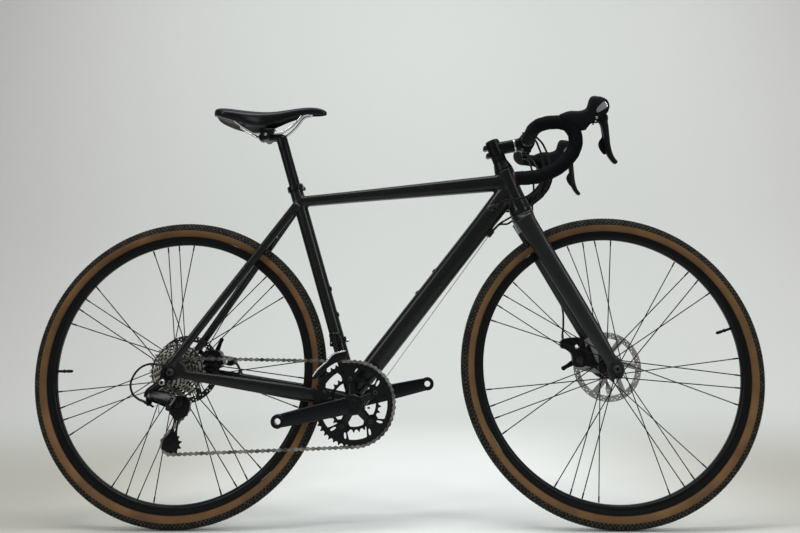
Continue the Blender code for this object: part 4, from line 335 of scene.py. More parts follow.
rubber = Finish("tread_rubber", Specular_IOR_Level=0.1)
dust = rubber.noise(90, 6)
rubber.set(Base_Color=dust.above(0.45, 0.75).mix(srgb(18, 18, 17), srgb(34, 33, 30)),
           Roughness=0.74 + 0.16 * rubber.noise(400),
           Normal=rubber.bump(rubber.noise(900), 0.2 * MM))
dusty_rubber = Finish("dusty_rubber", Specular_IOR_Level=0.15)
dusty_rubber.set(Base_Color=dusty_rubber.noise(60, 6).above(0.35, 0.7).mix(srgb(40, 40, 37),
                                                                           srgb(66, 64, 56)),
                 Roughness=0.8 + 0.12 * dusty_rubber.noise(400))
casing_tan = Finish("tan_casing", Specular_IOR_Level=0.3)
weave = casing_tan.place.node("ShaderNodeTexWave", {"wave_type": "BANDS", "bands_direction": "DIAGONAL"},
                              Vector=casing_tan.place, Scale=420.0, Distortion=1.0)
stain = casing_tan.noise(14, 5)
casing_tan.set(Base_Color=(0.7 * stain.above(0.3, 0.75) + 0.3 * weave).mix(srgb(78, 54, 31),
                                                                           srgb(113, 82, 48)),
               Roughness=0.62 + 0.15 * casing_tan.noise(120),
               Normal=casing_tan.bump(weave, 0.12 * MM, 0.5))
for name, hub in (("front", FRONT_HUB), ("rear", REAR_HUB)):
    round_casing = [(TYRE_MIDDLE + CASING_RADIUS * math.cos(math.radians(a)),
                     CASING_RADIUS * math.sin(math.radians(a))) for a in range(-147, 148, 7)]
    piece(name + "_tyre_casing", lathe(round_casing, hub, SIDE, 192, closed=False), casing_tan,
          name + "_wheel", "tyre_rubber", name + "_tyre")
    tread_rows = [(-85, 16.8)] + [(a, TREAD_RADIUS) for a in range(-82, 83, 6)] + [(85, 16.8)]
    cap = [(TYRE_MIDDLE + radius * math.cos(math.radians(a)), radius * math.sin(math.radians(a)))
           for a, radius in tread_rows]
    piece(name + "_tyre_tread", lathe(cap, hub, SIDE, 192, closed=False), rubber, name + "_wheel",
          "tyre_rubber", name + "_tyre")
    piece(name + "_tread_knobs", tread_knobs(hub), dusty_rubber, name + "_wheel", "tyre_rubber")


# Rims: shallow black alloy hoops. The spokes' nipples end at the bed, and the valve comes through it.
# Hubs: black, with a flange for each side's spokes, which cross and lead to that side of the rim.
def skinned(bm, rings):
    """Faces between rings of the same length, and one over each end."""
    for ring, following in zip(rings, rings[1:]):
        for k in range(len(ring)):
            n = (k + 1) % len(ring)
            bm.faces.new((ring[k], ring[n], following[n], following[k]))
    bm.faces.new(rings[0])
    bm.faces.new(rings[-1])
    return bm


def sweep(points, halves, sides=20, start_side=SIDE, power=2.0):
    """A closed skin around a path, with (sideways, upright) half sizes for each point, in millimetres."""
    bm = bmesh.new()
    if not isinstance(halves, list):
        halves = [halves] * len(points)
    side = start_side.copy()
    rings = []
    for i, point in enumerate(points):
        tangent = (points[min(i + 1, len(points) - 1)] - points[max(i - 1, 0)]).normalized()
        side = (side - side.dot(tangent) * tangent).normalized()
        upright = tangent.cross(side)
        wide, tall = halves[i] if isinstance(halves[i], tuple) else (halves[i], halves[i])
        ring = []
        for k in range(sides):
            c, s = math.cos(2 * math.pi * k / sides), math.sin(2 * math.pi * k / sides)
            across = math.copysign(abs(c) ** (2 / power), c) * wide * MM
            along = math.copysign(abs(s) ** (2 / power), s) * tall * MM
            ring.append(bm.verts.new(point + across * side + along * upright))
        rings.append(ring)
    return skinned(bm, rings)


def rod(start, end, radius, segments=20, bevel=0.0):
    """A round bar, its radius and rounded edge in millimetres."""
    length = (end - start).length / MM
    profile = [(0, 0), (radius - bevel, 0)] + ([(radius, bevel), (radius, length - bevel)] if bevel else [])
    return lathe(profile + [(radius - bevel, length), (0, length)], start, end - start, segments)


anodised = Finish("black_anodised", Specular_IOR_Level=0.13)
anodised.set(Base_Color=anodised.noise(30).mix((0.0020, 0.0022, 0.0026, 1), (0.0050, 0.0054, 0.0060, 1)),
             Roughness=0.22 + 0.16 * anodised.noise(160))
spoke_black = Finish("spoke_black", Specular_IOR_Level=0.12)
spoke_black.set(Base_Color=spoke_black.noise(60).mix((0.002, 0.002, 0.002, 1), (0.006, 0.006, 0.006, 1)),
                Roughness=0.34 + 0.12 * spoke_black.noise(300))
RIM_BED, SPOKES_IN_ROW, SPOKE_LEAN = 297.0, 7, math.radians(68)
wheels = (("front", FRONT_HUB, 17.0,
           [(0, -50), (8.4, -49.6), (8.8, -40), (12, -38), (21.5, -36), (23, -35.4), (23, -32.6),
            (21.5, -32), (12, -28), (10.5, -20), (10.5, 8), (13, 20), (21.5, 23.2), (23, 23.6), (23, 26.4),
            (21, 27), (16, 30), (16, 38.7), (20, 38.9), (20, 39), (16, 39.2), (16, 42.5), (9, 43.5),
            (8.5, 49.6), (0, 49.8)],
           [(-34, 20, 0.0), (25, 20, 0.25)]),
          ("rear", REAR_HUB, 180.0,
           [(0, -67), (8, -67), (9.8, -64.4), (9.8, -22.6), (22.5, -20.8), (24, -20.4), (24, -17.6),
            (22.5, -17), (13, -13), (11.5, -6), (11.5, 20), (13, 28), (22.5, 32.2), (24, 32.6), (24, 35.4),
            (22, 36), (16, 39), (16, 50.6), (20, 50.9), (20, 51), (16, 51.2), (16, 54.5), (9.5, 55.5),
            (9, 67), (0, 67)],
           [(-19, 21, 0.0), (34, 21, 0.25)]))
for name, hub, valve_turn, profile, flanges in wheels:
    section = [(317, 11.5), (316.4, 11.5), (314, 10.9), (308, 11.1), (303, 10.4), (299.5, 8.2),
               (297.6, 5.4), (297, 3)]
    section = section + [(radius, -left) for radius, left in reversed(section)]
    section += [(317, -9.6), (313, -9.4), (311, -6), (311, 6), (313, 9.4), (317, 9.6)]
    piece(name + "_rim_hoop", lathe(section, hub, SIDE, 192), anodised, name + "_wheel", "black_metal",
          name + "_rim")
    strands = []
    for place, radius, crossing in flanges:
        for lean in (-1, 1):
            for k in range(SPOKES_IN_ROW):
                turn = 2 * math.pi * (k + (0.5 if lean > 0 else 0.0) + crossing) / SPOKES_IN_ROW
                root = hub + radius * MM * toward(turn) + place * MM * SIDE
                swing = turn + lean * SPOKE_LEAN
                outward = toward(swing)
                left = math.copysign(2.2, place) + lean * 1.2
                tip = hub + (RIM_BED - 0.6) * MM * outward + left * MM * SIDE
                way = (tip - root).normalized()
                bend = root + lean * 2.6 * MM * SIDE + 1.2 * MM * way
                start = root - lean * 2.6 * MM * SIDE
                strand = [start, root + lean * 1.4 * MM * SIDE, bend + 3 * MM * way, tip]
                strands.append(sweep(strand, 1.2, 8, start_side=Vector((0.3, 0.2, 1))))
                strands.append(rod(start - lean * 0.8 * MM * SIDE, start, 1.9, 10))
                strands.append(rod(tip - 13 * MM * way, tip, 1.75, 10, 0.4))
    piece(name + "_spokes", together(*strands), spoke_black, name + "_wheel", "black_metal", name + "_hub")
    piece(name + "_hub_shell", lathe(profile, hub, SIDE, 40), anodised, name + "_wheel", "black_metal",
          name + "_hub")
    outward = toward(math.radians(valve_turn))
    stem_foot = hub + RIM_BED * MM * outward
    steps = [(0, 2), (3, 2), (3, -14), (4.2, -14.2), (4.2, -17), (3, -17.2), (3, -22), (3.6, -22.5),
             (3.6, -33), (2.4, -36), (0, -36)]
    piece(name + "_valve", lathe([(r, -a) for r, a in steps], stem_foot, -outward, 16), anodised,
          name + "_wheel", "black_metal", name + "_rim")


# Brake rotors: stainless steel, their band pierced by rows of holes, on six slanting arms.
# Six small bolts hold each one to the left side of its hub.
def plate(outlines, near, far, bevel=0.0):
    """A flat piece between two Y values, from outlines in metres. Those after the first are its holes."""
    bm = bmesh.new()
    edges = []
    for outline in outlines:
        verts = [bm.verts.new((x, near, z)) for x, z in outline]
        edges += [bm.edges.new(pair) for pair in zip(verts, verts[1:] + verts[:1])]
    filled = bmesh.ops.triangle_fill(bm, edges=edges, use_beauty=True)
    faces = [item for item in filled["geom"] if isinstance(item, bmesh.types.BMFace)]
    grown = bmesh.ops.extrude_face_region(bm, geom=faces)
    moved = [item for item in grown["geom"] if isinstance(item, bmesh.types.BMVert)]
    bmesh.ops.translate(bm, verts=moved, vec=(0, far - near, 0))
    if bevel:
        bmesh.ops.recalc_face_normals(bm, faces=bm.faces)
        corners = [edge for edge in bm.edges if len(edge.link_faces) == 2 and edge.calc_face_angle(0) > 1.2]
        bmesh.ops.bevel(bm, geom=corners, offset=bevel * MM, segments=2, affect="EDGES", profile=0.6)
    return bm


def circle(centre, radius, count=24, phase=0.0):
    """Points round a circle across the bike, its radius in millimetres."""
    turns = [phase + 2 * math.pi * k / count for k in range(count)]
    return [(centre.x + radius * MM * math.cos(a), centre.z + radius * MM * math.sin(a)) for a in turns]


def polar(centre, points):
    """An outline from (degrees, radius in millimetres)."""
    return [(centre.x + r * MM * math.cos(math.radians(a)), centre.z + r * MM * math.sin(math.radians(a)))
            for a, r in points]


rotor_steel = Finish("rotor_steel", Metallic=1.0)
brushed = rotor_steel.noise(240, 3)
rotor_steel.set(Base_Color=brushed.mix((0.24, 0.24, 0.24, 1), (0.50, 0.50, 0.49, 1)),
                Roughness=0.3 + 0.2 * rotor_steel.noise(60))
rotor_dark = Finish("used_rotor_steel", Metallic=0.8)
rotor_dark.set(Base_Color=rotor_dark.noise(180, 3).mix((0.014, 0.014, 0.014, 1), (0.055, 0.054, 0.052, 1)),
               Roughness=0.32 + 0.2 * rotor_dark.noise(60))
for name, hub, left, finish in (("front", FRONT_HUB, 40, rotor_steel), ("rear", REAR_HUB, 52, rotor_dark)):
    holes = [circle(hub, 15.5, 24)]
    for k in range(6):
        start = 60 * k
        window = [(start + 6 + 4 * j, 66) for j in range(13)]
        window += [(start + 72 - 5.4 * j, 23) for j in range(6)]
        holes.append(polar(hub, window))
    for k in range(36):
        for row, radius, turn in ((0, 76.6, 0.0), (1, 73.0, 0.5), (2, 69.4, 0.0)):
            if (k + row) % 3:
                angle = math.radians(10 * (k + turn))
                spot = hub + radius * MM * toward(angle)
                holes.append(circle(spot, 1.5, 8))
    disc = plate([circle(hub, 80, 120)] + holes, (left - 0.9) * MM, (left + 0.9) * MM)
    bolts = []
    for k in range(6):
        angle = math.radians(60 * k + 30)
        spot = hub + 19.5 * MM * toward(angle)
        bolts.append(rod(spot + (left + 0.9) * MM * SIDE, spot + (left + 2.3) * MM * SIDE, 3.0, 12, 0.5))
    piece(name + "_rotor_disc", together(disc, *bolts), finish, name + "_wheel", "silver", name + "_rotor")


# Quick releases: dark steel skewers with a nut on the drive side and a polished, curved lever on the left.
# The axle's tube lies in the dropouts, and the lever turns on its cam outside the left one.
polished = Finish("polished_alloy", Metallic=1.0)
polished.set(Base_Color=polished.noise(25).mix((0.52, 0.52, 0.53, 1), (0.66, 0.66, 0.67, 1)),
             Roughness=0.16 + 0.16 * polished.noise(120))
dark_steel = Finish("dark_steel", Metallic=0.7)
dark_steel.set(Base_Color=dark_steel.noise(50).mix((0.018, 0.018, 0.019, 1), (0.045, 0.045, 0.046, 1)),
               Roughness=0.35 + 0.15 * dark_steel.noise(200))
for name, hub, spacing, way, body in (("front", FRONT_HUB, 50, (0.1, 0, -1), "steering_body"),
                                      ("rear", REAR_HUB, 67.5, (-0.5, 0, 1), "frame_body")):
    outer = spacing + 6.3
    tube = [(4.8, -(spacing + 5.7)), (4.8, spacing + 5.7), (2.9, spacing + 5.8), (2.9, -(spacing + 5.8))]
    nut = [(2.6, -outer), (8.6, -outer), (9.0, -outer - 0.6), (8.8, -outer - 3), (7.9, -outer - 3.6),
           (7.6, -outer - 8.6), (6.4, -outer - 10), (3.4, -outer - 10), (3.2, -outer - 7.6),
           (2.6, -outer - 7.6)]
    housing = [(2.6, outer), (8.6, outer), (9.0, outer + 0.6), (8.6, outer + 7.4), (8, outer + 8),
               (2.6, outer + 8)]
    piece(name + "_axle_tube", together(lathe(tube, hub, SIDE, 28), lathe(housing, hub, SIDE, 28)),
          dark_steel, body, "silver", name + "_axle")
    piece(name + "_skewer_nut", lathe(nut, hub, SIDE, 28), dark_steel, body, "silver", name + "_axle")
    along = Vector(way).normalized()
    hinge = along.cross(SIDE)
    pivot = hub + (spacing + 6 + 0.3 + 8 + 0.3 + 5.5) * MM * SIDE
    blade = [pivot + (2 + 8 * k) * MM * along + (3.5 * math.sin(k * 0.75) - 0.25 * k) * MM * SIDE
             for k in range(10)]
    widths = [(3.2, 2.6), (3.8, 2.4), (4.4, 2.3), (5.0, 2.2), (5.8, 2.2), (6.5, 2.2), (7.0, 2.2),
              (6.9, 2.1), (6.0, 1.9), (3.4, 1.3)]
    cam = rod(pivot - 8 * MM * hinge, pivot + 8 * MM * hinge, 5.5, 24, 0.8)
    lever_shapes = [cam, sweep(blade, widths, 20, start_side=hinge, power=2.6)]
    piece(name + "_quick_release_lever", together(*lever_shapes), polished, name + "_lever", "silver",
          name + "_quick_release")


# Frame: welded alloy tubes with a satin near-black finish, drawn into one skin like dressed welds.
# The dropouts, the brake's mount, the bridges, the bottle bosses and the cable stops belong to it.
HEAD_ANGLE = math.radians(70.0)
SEAT_ANGLE = math.radians(73.4)
BOTTOM_BRACKET = Vector((-0.09002, 0, 0.277))
STEER_UP = Vector((-math.cos(HEAD_ANGLE), 0, math.sin(HEAD_ANGLE)))
STEER_FORWARD = Vector((math.sin(HEAD_ANGLE), 0, math.cos(HEAD_ANGLE)))
STEER_FOOT = FRONT_HUB - 0.055 * STEER_FORWARD
SEAT_UP = Vector((-math.cos(SEAT_ANGLE), 0, math.sin(SEAT_ANGLE)))
SEAT_OUT = SIDE.cross(SEAT_UP)
HEAD_LOW, HEAD_TOP = 409.0, 522.0
DOWN_FOOT = BOTTOM_BRACKET + at(0, 0, 30)


def seat_point(along):
    return BOTTOM_BRACKET + along * MM * SEAT_UP


def steer_point(along, forward=0.0, left=0.0):
    return STEER_FOOT + (along * STEER_UP + forward * STEER_FORWARD + left * SIDE) * MM


DOWN_HEAD = steer_point(HEAD_LOW + 67)
DOWN_ALONG = (DOWN_HEAD - DOWN_FOOT).normalized()
DOWN_OUT = DOWN_ALONG.cross(SIDE)


def mirrored(bm):
    """The same shape on the other side of the bike."""
    copy = bm.copy()
    bmesh.ops.scale(copy, vec=(1, -1, 1), verts=copy.verts)
    bmesh.ops.reverse_faces(copy, faces=copy.faces)
    return copy


def both(bm):
    return [mirrored(bm), bm]


def about(centre, outline):
    """An outline in millimetres, moved to its centre."""
    return [(centre.x + x * MM, centre.z + z * MM) for x, z in outline]


def straight(start, end, rows, sides, power=2.0):
    """A bar on a straight line. rows holds (part of the way, half width, half height)."""
    return sweep([start.lerp(end, row[0]) for row in rows], [row[1:] for row in rows], sides, power=power)


def eased(stations, count=9):
    """Rows of numbers with smooth rows between them."""
    padded = [stations[0]] + list(stations) + [stations[-1]]
    rows = []
    for a, b, c, d in zip(padded, padded[1:], padded[2:], padded[3:]):
        for k in range(count):
            t = k / count
            rows.append(tuple(0.5 * (2 * q + (r - p) * t + (2 * p - 5 * q + 4 * r - s) * t**2
                                     + (3 * q - p - 3 * r + s) * t**3) for p, q, r, s in zip(a, b, c, d)))
    return rows + [stations[-1]]


def smooth_path(points, pieces=6):
    return [Vector(row) for row in eased([tuple(point) for point in points], pieces)]


def rounded_outline(points, pieces=5):
    """A closed outline through the given points, rounded between them."""
    ring = [(x, z, 0) for x, z in points]
    count = len(ring)
    rows = eased([ring[-2], ring[-1]] + ring + [ring[0], ring[1]], pieces)
    return [(x, z) for x, z, _ in rows[2 * pieces:(2 + count) * pieces]]


def dropout_outline(hub, points):
    """A dropout plate with its axle slot open at the bottom."""
    slot = 5.4
    turns = [math.pi * k / 12 for k in range(13)]
    arch = [(hub.x - slot * MM * math.cos(a), hub.z + slot * MM * math.sin(a)) for a in turns]
    first, last = about(hub, points[:1])[0], about(hub, points[-1:])[0]
    mouth_front, mouth_rear = (hub.x + slot * MM, first[1]), (hub.x - slot * MM, last[1])
    return [mouth_front] + about(hub, points[1:-1]) + [mouth_rear] + arch


def fused(name, shapes, voxel, rounds, material):
    """Shapes that overlap, drawn into one skin with soft inner corners."""
    mesh = bpy.data.meshes.new(name)
    joined = together(*shapes)
    bmesh.ops.recalc_face_normals(joined, faces=joined.faces)
    joined.to_mesh(mesh)
    joined.free()
    obj = bpy.data.objects.new(name, mesh)
    bpy.context.scene.collection.objects.link(obj)
    skin = obj.modifiers.new("skin", "REMESH")
    skin.mode = "VOXEL"
    skin.voxel_size = voxel * MM
    ease = obj.modifiers.new("ease", "SMOOTH")
    ease.factor = 0.5
    ease.iterations = rounds
    bpy.context.view_layer.update()
    finished = bpy.data.meshes.new_from_object(obj.evaluated_get(bpy.context.evaluated_depsgraph_get()))
    obj.modifiers.clear()
    obj.data = finished
    bpy.data.meshes.remove(mesh)
    finished.shade_smooth()
    finished.materials.clear()
    finished.materials.append(material)
    return obj


paint = Finish("satin_charcoal", Specular_IOR_Level=0.22)
fleck = paint.noise(900, 2)
cloud = paint.noise(5, 3)
paint.set(Base_Color=(0.75 * cloud + 0.25 * fleck).mix((0.0036, 0.0044, 0.0040, 1),
                                                       (0.0086, 0.0100, 0.0090, 1)),
          Roughness=0.2 + 0.12 * paint.noise(35),
          Normal=paint.bump(fleck, 0.03 * MM, 0.35))
head_profile = [(0, HEAD_LOW), (27.5, HEAD_LOW), (27.5, HEAD_LOW + 9), (26.2, HEAD_LOW + 14),
                (24.2, HEAD_LOW + 30), (22.8, HEAD_LOW + 55), (22.6, HEAD_TOP - 28), (23.8, HEAD_TOP - 11),
                (24, HEAD_TOP - 8), (24, HEAD_TOP), (0, HEAD_TOP)]
tubes = [lathe(head_profile, STEER_FOOT, STEER_UP, 48)]
tubes.append(rod(BOTTOM_BRACKET - 0.034 * SIDE, BOTTOM_BRACKET + 0.034 * SIDE, 22, 48, 0.8))
tubes.append(sweep([seat_point(15), seat_point(500), seat_point(537)], 16.5, 40))
top_rear, top_front = seat_point(495), steer_point(HEAD_TOP - 30)
rows = eased([(0.0, 17, 13), (0.3, 17.5, 14.5), (0.75, 18, 18.5), (1.0, 17, 20.5)])
tubes.append(straight(top_rear, top_front, rows, 40, 2.9))
rows = eased([(-0.02, 23, 22), (0.15, 24.5, 24.5), (0.75, 24.5, 24.5), (0.88, 24, 25.5), (0.95, 20, 26),
              (0.995, 16, 24)])
tubes.append(straight(DOWN_FOOT, DOWN_HEAD, rows, 40, 2.55))
fairing = [(HEAD_TOP - 48, -26, 11, 8), (HEAD_TOP - 62, -22, 13, 11), (HEAD_TOP - 80, -16, 14, 13)]
tubes.append(sweep([steer_point(row[0], row[1]) for row in fairing], [row[2:] for row in fairing], 28))
stay_rear, stay_front = REAR_HUB + at(24, 0, -4), BOTTOM_BRACKET + at(-14, 0, 3)
rows = eased([(0.0, 70.5, 2.9, 8), (0.12, 65.5, 7, 11), (0.48, 45, 8, 14.5), (0.74, 33.5, 7, 16.5),
              (1.0, 25, 9, 15)])
tubes += both(sweep([stay_rear.lerp(stay_front, row[0]) + row[1] * MM * SIDE for row in rows],
                    [row[2:] for row in rows], 28, power=2.7))
low, high = REAR_HUB + at(2, 70.5, 22), seat_point(487) + at(-6, 13, 0)
rows = eased([(0.0, 2.9, 8), (0.08, 7.5, 9.5), (1.0, 7.5, 10)])
tubes += both(straight(low, high, rows, 28, 2.7))
REAR_DROPOUT = [(5, -17), (22, -13), (35, 2), (30, 15), (12, 31), (-8, 30), (-20, 14), (-24, -4),
                (-19, -18), (-5, -18)]
tubes += both(plate([dropout_outline(REAR_HUB, REAR_DROPOUT)], 0.0675, 0.0735))
tubes.append(plate([about(REAR_HUB, [(30, -2), (72, -10), (66, 8), (44, 34), (30, 44), (22, 20)])], 0.0655,
                   0.071))
for middle, thick in ((REAR_HUB.lerp(seat_point(487), 0.78) + at(0, 0, 12), 7),
                      (REAR_HUB.lerp(BOTTOM_BRACKET, 0.85) + at(4, 0, -4), 6)):
    tubes.append(sweep([middle - 0.028 * SIDE, middle + 0.028 * SIDE], thick, 20,
                       start_side=Vector((1, 0, 0))))
BOSSES = [(DOWN_FOOT + along * MM * DOWN_ALONG + 24.5 * MM * DOWN_OUT, DOWN_OUT) for along in (330, 264)]
BOSSES += [(seat_point(along) + 16.5 * MM * SEAT_OUT, SEAT_OUT) for along in (268, 204)]
tubes += [rod(place - 6 * MM * out, place + 1.2 * MM * out, 5.5, 20) for place, out in BOSSES]
LOW_STOP = DOWN_HEAD - 120.9 * MM * DOWN_ALONG - 24.5 * MM * DOWN_OUT
tubes.append(sweep([LOW_STOP - 4 * MM * DOWN_OUT + step * MM * DOWN_ALONG for step in (-10, -8, 8, 10)],
                   [(10, 4.5), (12, 5.5), (12, 5.5), (10, 4.5)], 24, power=3.2))
DOWN_PORT = DOWN_HEAD - 63.2 * MM * DOWN_ALONG + 2.5 * MM * DOWN_OUT - 32 * MM * SIDE
DOWN_PORT_WAY = Vector((0.72, -0.55, 0.42)).normalized()
REAR_STOP = REAR_HUB + at(-25, -70.5, 16.5)
STAY_PORT = REAR_HUB + at(128.3, 58, -1)
STAY_PORT_WAY = Vector((-0.35, 0.0, 1.0)).normalized()
tubes += [rod(DOWN_PORT - 18 * MM * DOWN_PORT_WAY, DOWN_PORT, 4.5, 20),
          rod(REAR_STOP + at(14, 0, -1), REAR_STOP, 4.5, 20),
          rod(STAY_PORT - 14 * MM * STAY_PORT_WAY, STAY_PORT, 4.5, 20)]
put(fused("frame_skin", tubes, 1.9, 7, paint.material), "frame_body", "frame_paint", "frame")
bolt_heads = []
for place, out in BOSSES:
    head = [(0, 1.0), (5.2, 1.0), (5.2, 1.8), (4.4, 2.4), (2.4, 2.5), (2.2, 1.6), (0, 1.5)]
    bolt_heads.append(lathe(head, place, out, 24))
piece("bottle_bolts", together(*bolt_heads), dark_steel, "frame_body", "black_metal")


# Fork: a tapered crown over two straight, deep blades, in the frame's finish, with its colour painted
# lighter than the frame's as a painted highlight.
# The left blade carries the caliper's mount, and the steerer runs up through the head tube.
crown_rows = eased([(-1, 27.5, 27.5, 0), (-9, 31, 27.5, 0), (-20, 40, 26.8, -1), (-32, 45, 25.5, -2),
                    (-46, 45, 22, -4)])
crown_path = [steer_point(HEAD_LOW + row[0], row[3]) for row in crown_rows]
crown = sweep(crown_path, [row[1:3] for row in crown_rows], 40, power=2.5)
blade_top, blade_foot = steer_point(HEAD_LOW - 14, -4), FRONT_HUB + at(-8, 0, 14)
rows = eased([(0.0, 35, 9.5, 24), (0.25, 41, 10.5, 21.5), (0.8, 53, 8.5, 18.5), (1.0, 53, 5.5, 14)])
blade_path = [blade_top.lerp(blade_foot, row[0]) + row[1] * MM * SIDE for row in rows]
blade = sweep(blade_path, [row[2:] for row in rows], 32, power=2.4)
FRONT_DROPOUT = [(5, -24), (12, -20), (19, -2), (15, 14), (4, 30), (-22, 24), (-22, 0), (-14, -27),
                 (-5, -30)]
fork_shapes = [crown, *both(blade), *both(plate([dropout_outline(FRONT_HUB, FRONT_DROPOUT)], 0.050, 0.056)),
               plate([about(FRONT_HUB, [(-22, -2), (-48, 8), (-62, 30), (-44, 62), (-30, 52), (-14, 16)])],
                     0.0463, 0.0554),
               plate([about(FRONT_HUB, [(-12, -27), (-24, -22), (-38, -10), (-52, 0), (-50, 9), (-30, 20),
                                        (-14, 20)])],
                     0.0463, 0.0554)]
# The fork's colour is lighter than the frame's, though it is the same paint: painted highlight.
fork_paint_with_painted_highlight = Finish("fork_black", Specular_IOR_Level=0.25)
fork_paint_with_painted_highlight.set(Base_Color=fork_paint_with_painted_highlight.noise(6).mix((0.0066, 0.0080, 0.0074, 1), (0.0122, 0.0142, 0.0130, 1)),
               Roughness=0.24 + 0.12 * fork_paint_with_painted_highlight.noise(40))
put(fused("fork_skin", fork_shapes, 1.7, 6, fork_paint_with_painted_highlight.material), "steering_body", "frame_paint", "fork")
piece("steerer", rod(steer_point(HEAD_LOW - 20), steer_point(599), 14.3, 32), dark_steel, "steering_body",
      "black_metal", "fork")


# Headset: a conical black alloy cover over the upper bearing and flat spacers above it.
# They sit round the steerer, under the stem.
cover = [(14.8, 522.4), (23.4, 522.4), (23.5, 526.5), (22.8, 528), (18.4, 544), (17.6, 544.3),
         (14.8, 544.3)]
spacers = []
for low, high in ((544.6, 550.1), (550.3, 555.8), (556.0, 561.6)):
    spacers.append(lathe([(14.8, low), (17.2, low), (17.5, low + 0.4), (17.5, high - 0.4), (17.2, high),
                          (14.8, high)],
                         STEER_FOOT, STEER_UP, 40))
piece("headset_parts", together(lathe(cover, STEER_FOOT, STEER_UP, 40), *spacers), anodised,
      "steering_body", "black_metal", "headset_cover")


# Stem: a short black alloy stem whose four-bolt faceplate holds the bar, with two pinch bolts at the rear,
# a narrow bright band near its front end and a round cap above.
def box(low, high, bevel=0.0):
    bm = bmesh.new()
    bmesh.ops.create_cube(bm, size=1.0)
    for vert in bm.verts:
        vert.co = Vector([lo + (c + 0.5) * (hi - lo) for c, lo, hi in zip(vert.co, low, high)])
    if bevel:
        bmesh.ops.bevel(bm, geom=bm.edges[:], offset=bevel * MM, segments=3, affect="EDGES", profile=0.5)
    return bm


def combined(base, tools, operation="UNION"):
    """Base joined with the tools, or cut by them."""
    working = []
    for shape in [base] + tools:
        bmesh.ops.recalc_face_normals(shape, faces=shape.faces)
        mesh = bpy.data.meshes.new("working")
        shape.to_mesh(mesh)
        shape.free()
        working.append(bpy.data.objects.new("working", mesh))
        bpy.context.scene.collection.objects.link(working[-1])
    for operand in working[1:]:
        step = working[0].modifiers.new("step", "BOOLEAN")
        step.operation = operation
        step.object = operand
    bpy.context.view_layer.update()
    result = bmesh.new()
    result.from_mesh(working[0].evaluated_get(bpy.context.evaluated_depsgraph_get()).data)
    for used in working:
        bpy.data.objects.remove(used, do_unlink=True)
    return result


def hex_bolt(place, outward, radius=3.4, height=3.0):
    """A socket-head bolt, standing outward from its place."""
    socket = [(0, height - 1.6), (0.5 * radius, height - 1.4), (0.5 * radius, height),
              (radius - 0.4, height), (radius, height - 0.5), (radius, -2), (0, -2)]
    return lathe(socket, place, outward, 18)


def edge_bevel(obj, width, angle=45, segments=2):
    """Small rounds along an object's sharper edges."""
    edges = obj.modifiers.new("edges", "BEVEL")
    edges.width = width * MM
    edges.segments = segments
    edges.angle_limit = math.radians(angle)
    return obj


BAR_CENTRE = Vector((0.335, 0, 0.891))
STEM_LOW, STEM_HIGH = 562.0, 600.0
PINCH_LEVELS = (STEM_LOW + 9, STEM_HIGH - 9)
EAR_LEFT, EAR_RISE = 13.5, 22
EAR_CORNERS = [(end, left) for end in (-1, 1) for left in (-EAR_LEFT, EAR_LEFT)]


def round_bar(half, radius, bevel=0.0):
    """A cylinder on the handlebar's axis, its half length in metres."""
    return rod(BAR_CENTRE - half * SIDE, BAR_CENTRE + half * SIDE, radius, 48, bevel)


def clamp_ears(forward, bevel=0.0):
    """The bolted ears at the corners of the bar's clamp, each on a root towards the bar."""
    ears = []
    for end, left in EAR_CORNERS:
        foot = BAR_CENTRE + at(forward, left, end * EAR_RISE)
        ears += [rod(foot, foot + at(8.7, 0, 0), 4.2, 20, bevel),
                 rod(foot + at(0, 0, -end * 4), foot + at(8.7, 0, -end * 4), 4.4, 20, bevel)]
    return ears


middle = steer_point((STEM_LOW + STEM_HIGH) / 2)
rows = eased([(0.0, 16.5, 16), (0.45, 15.5, 15.6), (0.75, 16, 16), (1.0, 19, 18.5)])
stem_shapes = [rod(steer_point(STEM_LOW), steer_point(STEM_HIGH), 18.2, 40, 1.2),
               straight(middle, BAR_CENTRE, rows, 40, 2.7), round_bar(0.021, 20.5, 1)]
for along in PINCH_LEVELS:
    stem_shapes.append(rod(steer_point(along, -22, -11), steer_point(along, -22, 11), 6, 28, 0.8))
    stem_shapes.append(rod(steer_point(along, -17, -10.5), steer_point(along, -17, 10.5), 6.4, 28))
room = [round_bar(0.04, 16.3), box(BAR_CENTRE + at(-0.3, -60, -60), BAR_CENTRE + at(60, 60, 60))]
stem_skin = combined(combined(stem_shapes[0], stem_shapes[1:] + clamp_ears(-9)), room, "DIFFERENCE")
edge_bevel(piece("stem_body", stem_skin, anodised, "steering_body", "black_metal", "stem"), 0.5, 50)
room = [round_bar(0.04, 16.3), box(BAR_CENTRE + at(-60, -60, -60), BAR_CENTRE + at(0.3, 60, 60)),
        box(BAR_CENTRE + at(1, -8, -10), BAR_CENTRE + at(60, 8, 10), 3)]
plate_skin = combined(combined(round_bar(0.021, 20.5, 1), clamp_ears(0.3, 0.5)), room, "DIFFERENCE")
piece("faceplate", plate_skin, anodised, "steering_body", "black_metal", "stem_faceplate")
bolts = [hex_bolt(BAR_CENTRE + at(8.2, left, end * EAR_RISE), Vector((1, 0, 0)), 3.2, 2.4)
         for end, left in EAR_CORNERS]
bolts += [hex_bolt(steer_point(along, -22, side * 10.6), side * SIDE, 3.6, 2.2)
          for along in PINCH_LEVELS for side in (-1, 1)]
piece("stem_bolts", together(*bolts), dark_steel, "steering_body", "black_metal")
band_rows = [(0.60, 15.9, 15.9), (0.605, 16.1, 16.1), (0.64, 16.3, 16.3), (0.645, 16.1, 16.1)]
piece("stem_band", straight(middle, BAR_CENTRE, band_rows, 40, 2.7), polished, "steering_body", "silver")
cap_rows = ((0, 0.6), (16.4, 0.6), (17, 1.2), (16.4, 3.4), (14, 4.6), (6, 5), (5, 3.8), (0, 3.6))
cap = [(radius, STEM_HIGH + rise) for radius, rise in cap_rows]
